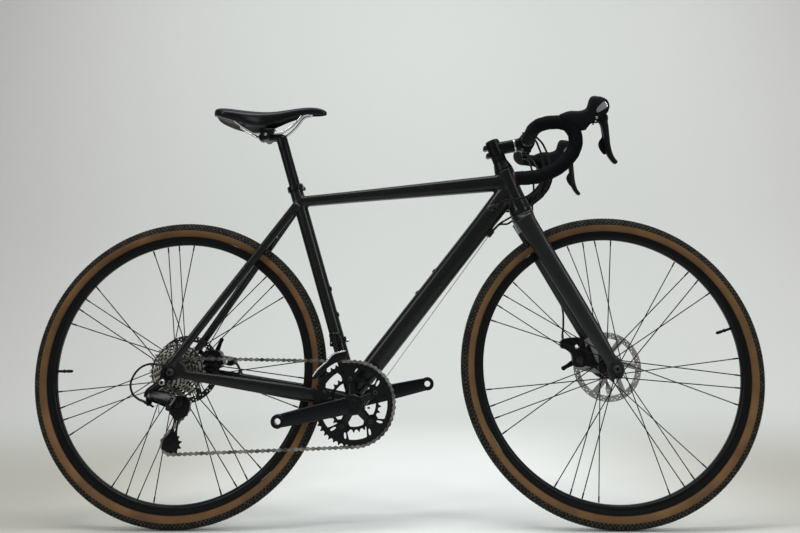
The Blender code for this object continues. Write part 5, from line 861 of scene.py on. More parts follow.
cap_shapes = [lathe(cap, STEER_FOOT, STEER_UP, 40), hex_bolt(steer_point(STEM_HIGH + 1.8), STEER_UP)]
piece("stem_top_cap", together(*cap_shapes), anodised, "steering_body", "black_metal", "stem_cap")


# Handlebar: a black alloy drop bar, thicker where the stem holds it. Padded tape is wound round it with its
# edges overlapping, from beside the stem to the bar's ends, where plugs hold it.
BAR_ROUTE = [(0, 112, 0), (1, 150, 0), (12, 189, 0), (38, 206, 0), (64, 210, -6), (79, 211, -24),
             (82, 211, -48), (71, 211, -75), (43, 212, -103), (0, 212, -123), (-54, 212, -128)]
bar_path = smooth_path(beside(BAR_CENTRE, BAR_ROUTE), 14)
middle_rows = [(0, 15.9), (30, 15.9), (44, 15.5), (60, 12.6), (66, 12), (111, 12)]
half_path = [BAR_CENTRE + left * MM * SIDE for left, _ in middle_rows] + bar_path
radii = [radius for _, radius in middle_rows] + [12] * len(bar_path)
whole_path = [point * Vector((1, -1, 1)) for point in reversed(half_path[1:])] + half_path
piece("bar", sweep(whole_path, list(reversed(radii[1:])) + radii, 28, start_side=Vector((1, 0, 0))),
      anodised, "steering_body", "black_metal", "handlebar")


TAPE_ADVANCE, TAPE_RADIUS, TAPE_RISE, TAPE_EDGE = 24.0, 15.0, 1.05, 0.05


def wound_tape(path, mirror):
    """A sleeve along the path whose skin rises across each turn of the tape and drops at its edge."""
    bm = bmesh.new()
    fine = [path[0]]
    for here, after in zip(path, path[1:]):
        steps = max(1, round((after - here).length / (1.1 * MM)))
        fine += [here.lerp(after, (k + 1) / steps) for k in range(steps)]
    forward = Vector((1, 0, 0))
    rings = []
    travelled = 0.0
    sides = 56
    for i, point in enumerate(fine):
        tangent = (fine[min(i + 1, len(fine) - 1)] - fine[max(i - 1, 0)]).normalized()
        forward = (forward - forward.dot(tangent) * tangent).normalized()
        upright = tangent.cross(forward)
        travelled += (point - fine[i - 1]).length / MM if i else 0.0
        ring = []
        for k in range(sides):
            turn = k / sides
            wrap = (travelled / TAPE_ADVANCE + turn) % 1.0
            radius = TAPE_RADIUS + TAPE_RISE * (min(wrap / TAPE_EDGE, 1.0) * (1 - 0.75 * wrap))
            angle = 2 * math.pi * turn
            ring.append(bm.verts.new(point + radius * MM * (math.cos(angle) * forward
                                                            + math.sin(angle) * upright)))
        rings.append(ring)
    skinned(bm, rings)
    if mirror:
        bmesh.ops.scale(bm, vec=(1, -1, 1), verts=bm.verts)
    return bm


tape_black = Finish("wound_tape", Specular_IOR_Level=0.05)
pores = tape_black.place.node("ShaderNodeTexVoronoi", Vector=tape_black.place, Scale=900.0)
tape_black.set(Base_Color=tape_black.noise(40).mix((0.0014, 0.0018, 0.0026, 1),
                                                   (0.0040, 0.0046, 0.0058, 1)),
               Roughness=0.62 + 0.2 * tape_black.noise(160),
               Normal=tape_black.bump(pores + 0.8 * tape_black.noise(260), 0.18 * MM, 0.6))
plug_mark = Finish("plug_ring", Roughness=0.4)
plug_mark.set(Base_Color=plug_mark.noise(60).mix(srgb(120, 34, 40), srgb(140, 48, 52)),
              Roughness=0.35 + 0.1 * plug_mark.noise(200))
tape_path = [BAR_CENTRE + 0.050 * SIDE, BAR_CENTRE + 0.080 * SIDE] + bar_path
end_point, before_end = bar_path[-1], bar_path[-2]
end_way = (end_point - before_end).normalized()
for word, side in (("left", 1), ("right", -1)):
    flip = Vector((1, side, 1))
    piece("wound_tape_" + word, wound_tape(tape_path, side < 0), tape_black, "steering_body", "soft_rubber",
          "tape_" + word, sharp=math.radians(50))
    base, way = end_point * flip, end_way * flip
    rim = [(0, 0.2), (15.2, 0.2), (15.6, 1.0), (15.4, 2.4), (14, 3.4), (11.4, 3.8), (11, 3.4), (0, 3.2)]
    piece("bar_plug_" + word, lathe(rim, base, way, 36), anodised, "steering_body", "black_metal")
    mark = [(9.2, 3.5), (9.2, 3.95), (10.6, 3.95), (10.6, 3.5)]
    piece("plug_ring_" + word, lathe(mark, base, way, 36), plug_mark, "steering_body", "black_metal")


# Hoods: rubber sleeves over the lever bodies. Levers: black blades on a pivot, each with a bright front
# plate, and behind them the shift paddles.
def rounded_box_rings(rows, centre, sides=28, power=0.65):
    """A form across the bike from rows of (forward, height, half height, half width) in millimetres."""
    bm = bmesh.new()
    rings = []
    for x, z, tall, wide in rows:
        ring = []
        for k in range(sides):
            c, s = math.cos(2 * math.pi * k / sides), math.sin(2 * math.pi * k / sides)
            ring.append(bm.verts.new(centre + at(x, math.copysign(abs(c) ** power, c) * wide,
                                                 z + math.copysign(abs(s) ** power, s) * tall)))
        rings.append(ring)
    return skinned(bm, rings)


HOOD_CENTRE = BAR_CENTRE + 0.211 * SIDE
LEVER_PIVOT = Vector((0.478, 0.211, 0.900))
hood_rows = eased([(50, 3, 13, 14), (72, 3, 20, 16), (94, 1, 22, 16), (110, 6, 24.5, 15.5),
                   (121, 22, 33, 14.5), (138, 24, 32, 14.5), (149, 30, 23, 13), (157, 33, 14, 10.5),
                   (161, 34, 5, 5)], 6)
lever_line = [(-8, 3), (-4, 7), (0, 8.2), (6, 7.4), (10, 5.5), (13, 0), (16, -6), (18, -12), (19.6, -22),
              (20.4, -34), (21.4, -48), (22.4, -62), (24.6, -76), (27.4, -86), (31.5, -95), (36.4, -101.5),
              (36.8, -105), (33.6, -107.6), (29, -106), (24, -101), (18.4, -93), (13.4, -83), (10.8, -74),
              (9.4, -62), (8.4, -48), (7, -33), (3.6, -21), (0, -14), (-5, -10), (-8, -4)]
paddle_line = [(-5, 0), (5, 0), (6, -10), (6.6, -22), (7, -40), (6.4, -55), (4.4, -64), (1, -68),
               (-3, -67), (-9, -59), (-12.4, -50), (-12.4, -42), (-9, -35), (-4, -28), (-4, -18), (-5, -8)]


def leant_back(x, z):
    """A point of the lever's outline, the further to the rear the lower it lies."""
    drop = max(-z, 0)
    return x - min(0.5 * drop, 6 + 0.04 * drop), z


hood_rubber = Finish("hood_rubber", Specular_IOR_Level=0.07)
dots = hood_rubber.place.node("ShaderNodeTexVoronoi", Vector=hood_rubber.place, Scale=520.0)
hood_rubber.set(Base_Color=hood_rubber.noise(22).mix((0.0014, 0.0018, 0.0028, 1),
                                                     (0.0040, 0.0046, 0.0062, 1)),
                Roughness=0.52 + 0.16 * hood_rubber.noise(90),
                Normal=hood_rubber.bump(dots, 0.12 * MM, 0.5))
lever_black = Finish("lever_black", Specular_IOR_Level=0.14)
lever_black.set(Base_Color=lever_black.noise(18).mix((0.0018, 0.0020, 0.0026, 1),
                                                     (0.0042, 0.0046, 0.0054, 1)),
                Roughness=0.3 + 0.12 * lever_black.noise(140))
for word, side in (("left", 1), ("right", -1)):
    flip = Vector((1, side, 1))
    inside = [point for point in bar_path
              if point.x > BAR_CENTRE.x + 0.020 and point.z > BAR_CENTRE.z - 0.072]
    body = combined(rounded_box_rings(hood_rows, HOOD_CENTRE),
                    [sweep(inside, 16.6, 24, start_side=Vector((1, 0, 0))),
                     box(LEVER_PIVOT + at(-27, -8.5, -40), LEVER_PIVOT + at(60, 8.5, 10), 2),
                     box(LEVER_PIVOT + at(-36, -12, -40), LEVER_PIVOT + at(60, 12, -10), 2)], "DIFFERENCE")
    body = combined(body, [rod(LEVER_PIVOT - 0.0135 * SIDE, LEVER_PIVOT + 0.0135 * SIDE, 2.5, 20)])
    if side < 0:
        body = mirrored(body)
    sleeve = piece("hood_sleeve_" + word, body, hood_rubber, "steering_body", "soft_rubber", "hood_" + word)
    edge_bevel(sleeve, 1.2, 48, 3)
    line = rounded_outline(about(LEVER_PIVOT, [leant_back(x, z) for x, z in lever_line]), 3)
    blade = plate([line, circle(LEVER_PIVOT, 2.9, 20)], LEVER_PIVOT.y - 0.0065, LEVER_PIVOT.y + 0.0065, 2.4)
    hook = rounded_outline(about(LEVER_PIVOT + at(3, 0, -16), paddle_line), 4)
    paddle = plate([hook], LEVER_PIVOT.y - 0.0108, LEVER_PIVOT.y - 0.0068, 1.4)
    front = [(-14, 9), (-12, 17), (2, 31), (7, 30.5), (11.6, 23), (10, 18), (-1, 11), (-10, 6.4),
             (-12.6, 6.6)]
    front_plate = plate([rounded_outline(about(LEVER_PIVOT, front), 4)], LEVER_PIVOT.y - 0.0152,
                        LEVER_PIVOT.y + 0.0152, 1.6)
    pins = [rod(LEVER_PIVOT + at(x, end * 12.5, z), LEVER_PIVOT + at(x, end * half, z), radius, 20, 0.5)
            for x, z, half, radius in ((-14, -5, 15.6, 2.8), (-17, -13, 15.2, 2.2)) for end in (-1, 1)]
    shapes = {"lever_blade_": (blade, lever_black, "lever_", "black_metal", "brake_lever_"),
              "paddle_blade_": (paddle, lever_black, "paddle_", "black_metal", "shift_paddle_"),
              "lever_front_": (together(front_plate, *pins), polished, "steering_body", "silver", None)}
    for start, (shape, finish, body_start, slot, node) in shapes.items():
        if side < 0:
            shape = mirrored(shape)
        body_name = body_start if node is None else body_start + word
        piece(start + word, shape, finish, body_name, slot, *([node + word] if node else []))


# Seatpost: a round black post with a clamp head whose cradle holds the saddle's rails. The collar at the
# top of the seat tube pinches it with one bolt.
SADDLE_CLAMP = Vector((-0.296, 0, 0.923))
post_top = seat_point(643)
piece("post_tube", rod(seat_point(375), post_top, 13.6, 40, 0.6), anodised, "seat", "black_metal",
      "seatpost")
neck_path = [post_top - 14 * MM * SEAT_UP, post_top - 10 * MM * SEAT_UP, post_top + 20 * MM * SEAT_UP,
             post_top + 26 * MM * SEAT_UP, post_top + 30 * MM * SEAT_UP]
neck = sweep(neck_path, [13.4, 13.9, 13.9, 12.5, 8.5], 32)
lower = sweep(beside(SADDLE_CLAMP, [(-40, 0, -5), (-37, 0, -5), (-18, 0, -5), (8, 0, -4), (17, 0, -6)]),
              [(14, 6), (17, 10), (17, 11), (15, 11), (12.5, 9)], 32, power=3.6)
cradle = rod(SADDLE_CLAMP + at(-20, -27, -5), SADDLE_CLAMP + at(-20, 27, -5), 11.4, 36, 1.5)
upper = sweep(beside(SADDLE_CLAMP, [(-36, 0, 6), (-34, 0, 6), (0, 0, 6), (2, 0, 6)]),
              [(25, 6), (28, 9.4), (28, 9.4), (25, 6)], 32, power=4.0)
head = combined(neck, [lower, cradle, upper])
head = combined(head, [rod(*beside(SADDLE_CLAMP, [(-60, side * 21, 1.5), (60, side * 21, 1.5)]), 3.9, 20)
                       for side in (-1, 1)], "DIFFERENCE")
edge_bevel(piece("post_head", head, anodised, "seat", "black_metal", "seatpost"), 0.6)
bolts = [hex_bolt(SADDLE_CLAMP + at(-36, 0, 8), Vector((-1, 0, 0.12)), 4.2, 5),
         hex_bolt(SADDLE_CLAMP + at(-20, -27, -3), -SIDE, 4.0, 1.8),
         hex_bolt(SADDLE_CLAMP + at(-20, 27, -3), SIDE, 4.0, 1.8),
         hex_bolt(SADDLE_CLAMP + at(-30, 0, -13), Vector((-0.3, 0, -0.9)), 4.0, 5)]
piece("post_bolts", together(*bolts), polished, "seat", "silver")
collar = [(16.9, 524), (19.6, 524), (20, 524.6), (20, 536.4), (19.6, 537.4), (16.9, 537.4)]
lug_centre = seat_point(530.5)
lugs = [rod(lug_centre + at(20, -7, 0), lug_centre + at(20, 7, 0), 5, 24, 0.7)]
piece("seat_collar", combined(lathe(collar, seat_point(0), SEAT_UP, 44), lugs), anodised, "frame_body",
      "black_metal", "seat_clamp")
piece("collar_bolt", hex_bolt(lug_centre + at(20, -7, 0), -SIDE, 3.6, 1.6), polished, "frame_body",
      "silver")


# Saddle rails: two round bars of bright steel, joined round the nose. They end close under the saddle.
# The post's head clamps them at the middle.
rail = [(86, 9, 51.5), (76, 10.5, 49.5), (66, 12.5, 43), (56, 15, 31), (46, 17, 20), (33, 20, 9),
        (22, 21, 2.6), (10, 21, 1.5), (-44, 21, 1.5), (-56, 22, 4.5), (-68, 25, 11.5), (-80, 28, 19),
        (-98, 33, 32)]
rail_left = smooth_path(beside(SADDLE_CLAMP, rail), 6)
rail_bars = []
for side in (1, -1):
    rail_bars.append(sweep([point * Vector((1, side, 1)) for point in rail_left], 3.5, 20,
                           start_side=Vector((0, 1, 0.4))))
nose = smooth_path(beside(SADDLE_CLAMP, [(86, 9, 51.5), (90, 5, 52.5), (91, 0, 52.8), (90, -5, 52.5),
                                         (86, -9, 51.5)]), 4)
rail_bars.append(sweep(nose, 3.5, 16, start_side=Vector((0.2, 0, 1))))
piece("rail_bars", together(*rail_bars), polished, "seat", "silver", "saddle_rails")


# Saddle: foam under a glossy black cover that is drawn in under its lower edge.
# It is one subdivided skin with a crown, a narrow waist and a step round its skirt.
saddle_rows = [(-152, 20, 56, 8), (-150, 34, 60, 14), (-144, 50, 64.6, 22), (-132, 62, 65, 27),
               (-119, 68, 64, 31), (-100, 68.5, 62, 35), (-84, 65, 60.5, 38), (-66, 57, 59.4, 41),
               (-49, 47, 59, 43), (-32, 37, 59, 41), (-14, 30, 59.5, 38), (6, 25, 61.2, 33),
               (26, 21.5, 64, 28), (48, 19.5, 67.4, 24), (71, 18, 70, 20), (90, 17, 70.6, 19),
               (106, 15.6, 69.4, 18), (118, 12.6, 66.6, 15), (126, 8.6, 63, 11), (130, 4.4, 59.4, 6)]
across_steps = [(0, 0.015), (0.3, 0.0), (0.58, 0.035), (0.8, 0.14), (0.93, 0.32), (1.0, 0.56),
                (0.985, 0.80), (0.955, 0.84), (0.95, 0.88), (0.93, 0.97), (0.86, 1.0), (0.6, 0.78),
                (0.3, 0.66), (0, 0.62)]
steps = across_steps + [(-a, b) for a, b in reversed(across_steps[1:-1])]
cover_skin = bmesh.new()
rings = []
for x, wide, top, deep in eased(saddle_rows, 3):
    rings.append([cover_skin.verts.new(SADDLE_CLAMP + at(x, a * wide, top - b * deep)) for a, b in steps])
skinned(cover_skin, rings)
gloss = Finish("saddle_gloss", Specular_IOR_Level=0.15, Coat_Weight=0.06, Coat_Roughness=0.1)
grain = gloss.place.node("ShaderNodeTexVoronoi", Vector=gloss.place, Scale=700.0)
gloss.set(Base_Color=gloss.noise(12).mix((0.0014, 0.0020, 0.0030, 1), (0.0034, 0.0042, 0.0056, 1)),
          Roughness=0.24 + 0.14 * gloss.noise(50),
          Normal=gloss.bump(grain + 0.6 * gloss.noise(30), 0.07 * MM, 0.4))
saddle_cover = new_object("saddle_cover", cover_skin, gloss.material, sharp=ALL_SMOOTH)
finer = saddle_cover.modifiers.new("finer", "SUBSURF")
finer.levels = finer.render_levels = 1
put(saddle_cover, "seat", "saddle_cover", "saddle")


# Bottom bracket: a black alloy cup in each end of the frame's shell.
# The ridges round its edge are for the tool.
cup = [(12.6, 34.3), (20, 34.3), (21, 35), (21, 40.6), (20.2, 41.3), (12.6, 41.3)]
for word, side in (("left", SIDE), ("right", -SIDE)):
    ridges = []
    for k in range(16):
        angle = 2 * math.pi * k / 16
        out = toward(angle)
        spot = BOTTOM_BRACKET + 20.8 * MM * out
        ridges.append(rod(spot + 36 * MM * side, spot + 40.5 * MM * side, 1.3, 10))
    piece("bracket_cup_" + word + "_body", together(lathe(cup, BOTTOM_BRACKET, side, 48), *ridges),
          anodised, "frame_body", "black_metal", "bracket_cup_" + word)


# Chainrings: black alloy, a 46-tooth ring outside and a 30-tooth one inside.
# Each is bolted to the five arms of the crank's spider.
CHAIN_PITCH, CHAINLINE, ROLLER_SEAT = 12.7, -47.0, 4.1
OUTER_TEETH, INNER_TEETH, DRIVEN_TEETH, PULLEY_TEETH = 46, 30, 15, 11
SPIDER_TURN = 26.0
# the turns, in radians, at which the teeth stand between the chain's rollers
OUTER_PHASE, SPROCKET_PHASE, GUIDE_PHASE, TENSION_PHASE = 1.4091754, -2.6717125, -0.2747218, -1.7979557


def pitch_radius(teeth):
    return CHAIN_PITCH / (2 * math.sin(math.pi / teeth))


def toothed_edge(centre, teeth, phase, tip=2.6, worn=False):
    """A sprocket's edge in metres: round valleys for the rollers and narrow, blunt teeth between them."""
    pitch = pitch_radius(teeth)
    outline = []
    for k in range(teeth):
        middle = phase + 2 * math.pi * k / teeth
        half = math.pi / teeth
        reach = tip - (0.8 if worn and k % 4 == 0 else 0.0)
        for lean in [math.radians(d) for d in (-70, -35, 0, 35, 70)]:
            x = pitch - ROLLER_SEAT * math.cos(lean)
            y = ROLLER_SEAT * math.sin(lean)
            outline.append((middle + math.atan2(y, x), math.hypot(x, y)))
        outline += [(middle + half * 0.80, pitch + 0.45 * reach),
                    (middle + half * 0.93, pitch + 0.95 * reach),
                    (middle + half * 1.07, pitch + 0.95 * reach),
                    (middle + half * 1.20, pitch + 0.45 * reach)]
    return [(centre.x + r * MM * math.cos(a), centre.z + r * MM * math.sin(a)) for a, r in outline]


ring_black = Finish("ring_black", Specular_IOR_Level=0.14)
ring_black.set(Base_Color=ring_black.noise(20).mix((0.0020, 0.0024, 0.0030, 1),
                                                   (0.0050, 0.0054, 0.0062, 1)),
               Roughness=0.28 + 0.18 * ring_black.noise(110))
hole = pitch_radius(OUTER_TEETH) - ROLLER_SEAT - 11.5
inside = []
for k in range(5):
    arm = SPIDER_TURN + 72 * k
    edge = [(21, hole), (19.4, hole - 4), (16.5, 65), (13, 55), (8, 50)]
    inside += [(arm - turn, r) for turn, r in edge] + [(arm, 49)]
    inside += [(arm + turn, r) for turn, r in reversed(edge)]
    inside += [(arm + 21 + 30 * j / 7, hole) for j in range(1, 7)]
outlines = [toothed_edge(BOTTOM_BRACKET, OUTER_TEETH, OUTER_PHASE, 2.6, True),
            polar(BOTTOM_BRACKET, inside)]
for k in range(5):
    for lean in (-1, 1):
        slot = []
        for j in range(16):
            a = 2 * math.pi * j / 16
            slot.append((SPIDER_TURN + 72 * k + lean * (12.6 + 2.0 * math.cos(a) + 2.1 * math.sin(a)),
                         71 + 6.8 * math.cos(a) - 0.6 * math.sin(a)))
        outlines.append(polar(BOTTOM_BRACKET, slot))
big_ring = plate(outlines, (CHAINLINE - 0.8) * MM, (CHAINLINE + 0.8) * MM)
ring_shapes = [big_ring]
for k in range(10):
    angle = math.radians(SPIDER_TURN + 11 + 36 * k)
    spot = BOTTOM_BRACKET + Vector((math.cos(angle) * (hole + 7) * MM, (CHAINLINE - 0.8) * MM,
                                    math.sin(angle) * (hole + 7) * MM))
    ring_shapes.append(rod(spot, spot - 0.5 * MM * SIDE, 1.7, 12))
piece("ring_46", together(*ring_shapes), ring_black, "crankset", "black_metal", "chainring_outer")
inside = []
for k in range(5):
    arm = SPIDER_TURN + 72 * k
    inside += [(arm - 18, 50), (arm - 12, 44), (arm - 7, 37), (arm, 36), (arm + 7, 37), (arm + 12, 44),
               (arm + 18, 50)]
    inside += [(arm + 18 + 36 * j / 6, 50.5) for j in range(1, 6)]
piece("ring_30", plate([toothed_edge(BOTTOM_BRACKET, INNER_TEETH, 0.0), polar(BOTTOM_BRACKET, inside)],
                       (CHAINLINE + 5.8) * MM, (CHAINLINE + 7.4) * MM), ring_black, "crankset",
      "black_metal", "chainring_inner")


# Cranks: the drive-side arm is in one piece with the five-armed spider. Both arms are broad, flat-faced and
# glossy black, with a hole for the pedal at the tip, and the left one is pinched on the spindle.
CRANK_TURN = math.radians(191.6)
crank_gloss = Finish("crank_black", Specular_IOR_Level=0.14, Coat_Weight=0.05, Coat_Roughness=0.14)
crank_gloss.set(Base_Color=crank_gloss.noise(10).mix((0.0014, 0.0018, 0.0026, 1),
                                                     (0.0034, 0.0040, 0.0052, 1)),
                Roughness=0.22 + 0.14 * crank_gloss.noise(60))
arm_rows = eased([(0.0, 7.5, 19.5), (0.12, 7.6, 18.8), (0.45, 7.0, 18), (0.85, 6.6, 15.6),
                  (1.0, 6.5, 14.5)])


def crank_arm(angle, side):
    """An arm, the bosses at its two ends, and the tool for its pedal hole."""
    way = toward(angle)
    root = BOTTOM_BRACKET + side * 0.058 * SIDE
    eye = BOTTOM_BRACKET + 0.1725 * way + side * 0.069 * SIDE
    arm = straight(root, eye, arm_rows, 36, 3.4)
    shapes = [rod(root - 8 * MM * SIDE, root + 8 * MM * SIDE, 22, 56, 1.6),
              rod(eye - 6.7 * MM * SIDE, eye + 6.7 * MM * SIDE, 15.5, 48, 1.2)]
    hole = rod(eye - 0.02 * SIDE, eye + 0.02 * SIDE, 7, 36)
    return arm, shapes, hole


arm, shapes, hole_tool = crank_arm(CRANK_TURN, -1)
spider_line = []
for k in range(5):
    turn = SPIDER_TURN + 72 * k
    spider_line += [(turn - 22, 26), (turn - 17, 33), (turn - 11.5, 44), (turn - 9.4, 55), (turn - 6, 61),
                    (turn, 62.4), (turn + 6, 61), (turn + 9.4, 55), (turn + 11.5, 44), (turn + 17, 33),
                    (turn + 22, 26)]
spider = plate([polar(BOTTOM_BRACKET, spider_line)], -0.0459, -0.0415, 0.5)
spider_high = []
for k in range(5):
    angle = math.radians(SPIDER_TURN + 72 * k)
    out = toward(angle)
    ridge_line = ((15, -56), (24, -52.5), (34, -48.5), (45, -45))
    ridge = [BOTTOM_BRACKET + r * MM * out + y * MM * SIDE for r, y in ridge_line]
    spider_high.append(sweep(ridge, [(9.5, 3.5), (8, 3.5), (6.4, 3), (5, 2)], 20,
                             start_side=out.cross(SIDE), power=3))
core = rod(BOTTOM_BRACKET - 41.1 * MM * SIDE, BOTTOM_BRACKET - 58 * MM * SIDE, 20, 48)
spindle = rod(BOTTOM_BRACKET - 58 * MM * SIDE, BOTTOM_BRACKET + 64 * MM * SIDE, 12, 40)
drive_skin = combined(combined(arm, shapes), [hole_tool], "DIFFERENCE")
drive_arm = edge_bevel(new_object("drive_arm", drive_skin, crank_gloss.material), 0.5, 50)
put(drive_arm, "crankset", "glossy_black", "crank_right")
piece("spider", together(spider, core, *spider_high), crank_gloss, "crankset", "glossy_black",
      "crank_right")
piece("spindle", spindle, dark_steel, "crankset", "glossy_black", "crank_right")
ring_bolts = []
for k in range(5):
    angle = math.radians(SPIDER_TURN + 72 * k)
    spot = BOTTOM_BRACKET + 55 * MM * toward(angle)
    nut = [(0, 46.6), (2.6, 46.8), (2.8, 48.4), (4.4, 48.5), (4.9, 48.1), (4.9, 39.0), (4.6, 38.6),
           (0, 38.6)]
    ring_bolts.append(lathe(nut, spot, -SIDE, 24))
piece("ring_bolts", together(*ring_bolts), dark_steel, "crankset", "black_metal")
cap = [(0, 66.4), (3.8, 66.2), (4.2, 64.6), (9.8, 64.8), (10.4, 66.9), (11.6, 67.1), (12, 66.6), (12, 62),
       (0, 62)]
piece("crank_bolt_cap", lathe(cap, BOTTOM_BRACKET, -SIDE, 48), anodised, "crankset", "black_metal")
arm, shapes, hole_tool = crank_arm(CRANK_TURN + math.pi, 1)
bore = rod(BOTTOM_BRACKET + 38 * MM * SIDE, BOTTOM_BRACKET + 64.3 * MM * SIDE, 12.3, 40)
left_skin = combined(combined(arm, shapes), [hole_tool, bore], "DIFFERENCE")
left_arm = edge_bevel(new_object("left_arm", left_skin, crank_gloss.material), 0.5, 50)
put(left_arm, "crankset", "glossy_black", "crank_left")
root_left = BOTTOM_BRACKET + at(0, 58, 0)
pinch = [hex_bolt(root_left + at(x, 0, -19.5), Vector((0, 0, -1)), 3.2, 2.0) for x in (16, 27)]
end_cap = [(0, 66.6), (6, 66.4), (8, 67.2), (9.6, 67), (10, 66), (10, 64.4), (0, 64.4)]
piece("left_arm_bolts", together(lathe(end_cap, BOTTOM_BRACKET, SIDE, 40), *pinch), dark_steel, "crankset",
      "black_metal")


# Chain: 112 links of alternate inner and outer steel plates on pins and rollers. It lies on the outer ring,
# the fifth sprocket and both pulleys of the derailleur.
CAGE_PIVOT = REAR_HUB + at(16, 0, -66)
CAGE_REST = -0.0944611
LINK_COUNT = 112
spin = Matrix.Rotation(-CAGE_REST, 3, "Y")
GUIDE = CAGE_PIVOT + spin @ at(3, 0, -11.5)
TENSION = CAGE_PIVOT + spin @ at(-5, 0, -93.5)


def flat(vector):
    return Vector((vector.x, vector.z)) / MM


def tangent_direction(first, second):
    """The way the chain runs from one wheel to the next. A wheel is (centre, radius, turn)."""
    offset = flat(second[0]) - flat(first[0])
    across = first[2] * first[1] - second[2] * second[1]
    return math.atan2(offset.y, offset.x) - math.atan2(across, math.sqrt(offset.length_squared - across**2))


chain_wheels = [(BOTTOM_BRACKET, pitch_radius(OUTER_TEETH), 1), (TENSION, pitch_radius(PULLEY_TEETH), 1),
                (GUIDE, pitch_radius(PULLEY_TEETH), -1), (REAR_HUB, pitch_radius(DRIVEN_TEETH), 1)]
headings = [tangent_direction(chain_wheels[k], chain_wheels[(k + 1) % 4]) for k in range(4)]
path = []
for k, (centre, radius, turn) in enumerate(chain_wheels):
    swept = (turn * (headings[k - 1] - headings[k])) % (2 * math.pi)
    start = headings[k - 1] + turn * math.pi / 2
    path.append((flat(centre), radius, start, -turn * swept, radius * swept))
    leave = start - turn * swept
    end = flat(centre) + radius * Vector((math.cos(leave), math.sin(leave)))
    after, after_radius, after_turn = chain_wheels[(k + 1) % 4]
    touch = headings[k] + after_turn * math.pi / 2
    reached = flat(after) + after_radius * Vector((math.cos(touch), math.sin(touch)))
    path.append((end, reached, (reached - end).length))


def path_point(along):
    """The place on the chain's path after a distance in millimetres."""
    along %= sum(piece[-1] for piece in path)
    for piece in path:
        if along <= piece[-1]:
            break
        along -= piece[-1]
    part = along / piece[-1]
    if len(piece) == 3:
        return piece[0].lerp(piece[1], part)
    centre, radius, start, swept, _ = piece
    return centre + radius * Vector((math.cos(start + swept * part), math.sin(start + swept * part)))


pins, along = [], 0.0
for _ in range(LINK_COUNT):
    pins.append(path_point(along))
    step = CHAIN_PITCH
    for _ in range(4):
        step *= CHAIN_PITCH / (path_point(along + step) - pins[-1]).length
    along += step
chain_steel = Finish("chain_steel", Metallic=0.9)
oil = chain_steel.noise(45, 6)
chain_steel.set(Base_Color=oil.above(0.3, 0.7).mix((0.05, 0.047, 0.043, 1), (0.30, 0.29, 0.265, 1)),
                Roughness=0.32 + 0.25 * oil)


def link_plate(a, b, near, far, half, waist):
    """One chain plate between two pins: round ends and a narrower waist."""
    way = (b - a).normalized()
    across = Vector((-way.y, way.x))
    outline = []
    for centre, first in ((b, -90), (a, 90)):
        for k in range(7):
            angle = math.radians(first + 30 * k)
            outline.append(centre + half * (math.cos(angle) * way + math.sin(angle) * across))
        middle = (a + b) / 2
        outline.append(middle + (waist if first < 0 else -waist) * across)
    bm = bmesh.new()
    loops = [[bm.verts.new((p.x * MM, y * MM, p.y * MM)) for p in outline] for y in (near, far)]
    for loop in loops:
        bm.faces.new(loop)
    for k in range(len(outline)):
        n = (k + 1) % len(outline)
        bm.faces.new((loops[0][k], loops[0][n], loops[1][n], loops[1][k]))
    return bm


pieces = []
for k, (a, b) in enumerate(zip(pins, pins[1:] + pins[:1])):
    near, far = (1.15, 1.95) if k % 2 else (2.0, 2.8)
    for side in (-1, 1):
        pieces.append(link_plate(a, b, CHAINLINE + side * near, CHAINLINE + side * far, 4.3, 1.9))
    place = Vector((a.x * MM, CHAINLINE * MM, a.y * MM))
    pieces.append(rod(place - 3.05 * MM * SIDE, place + 3.05 * MM * SIDE, 1.8, 12, 0.3))
    pieces.append(rod(place - 1.1 * MM * SIDE, place + 1.1 * MM * SIDE, 3.8, 14))
piece("chain_links", together(*pieces), chain_steel, "frame_body", "chain_steel", "chain")


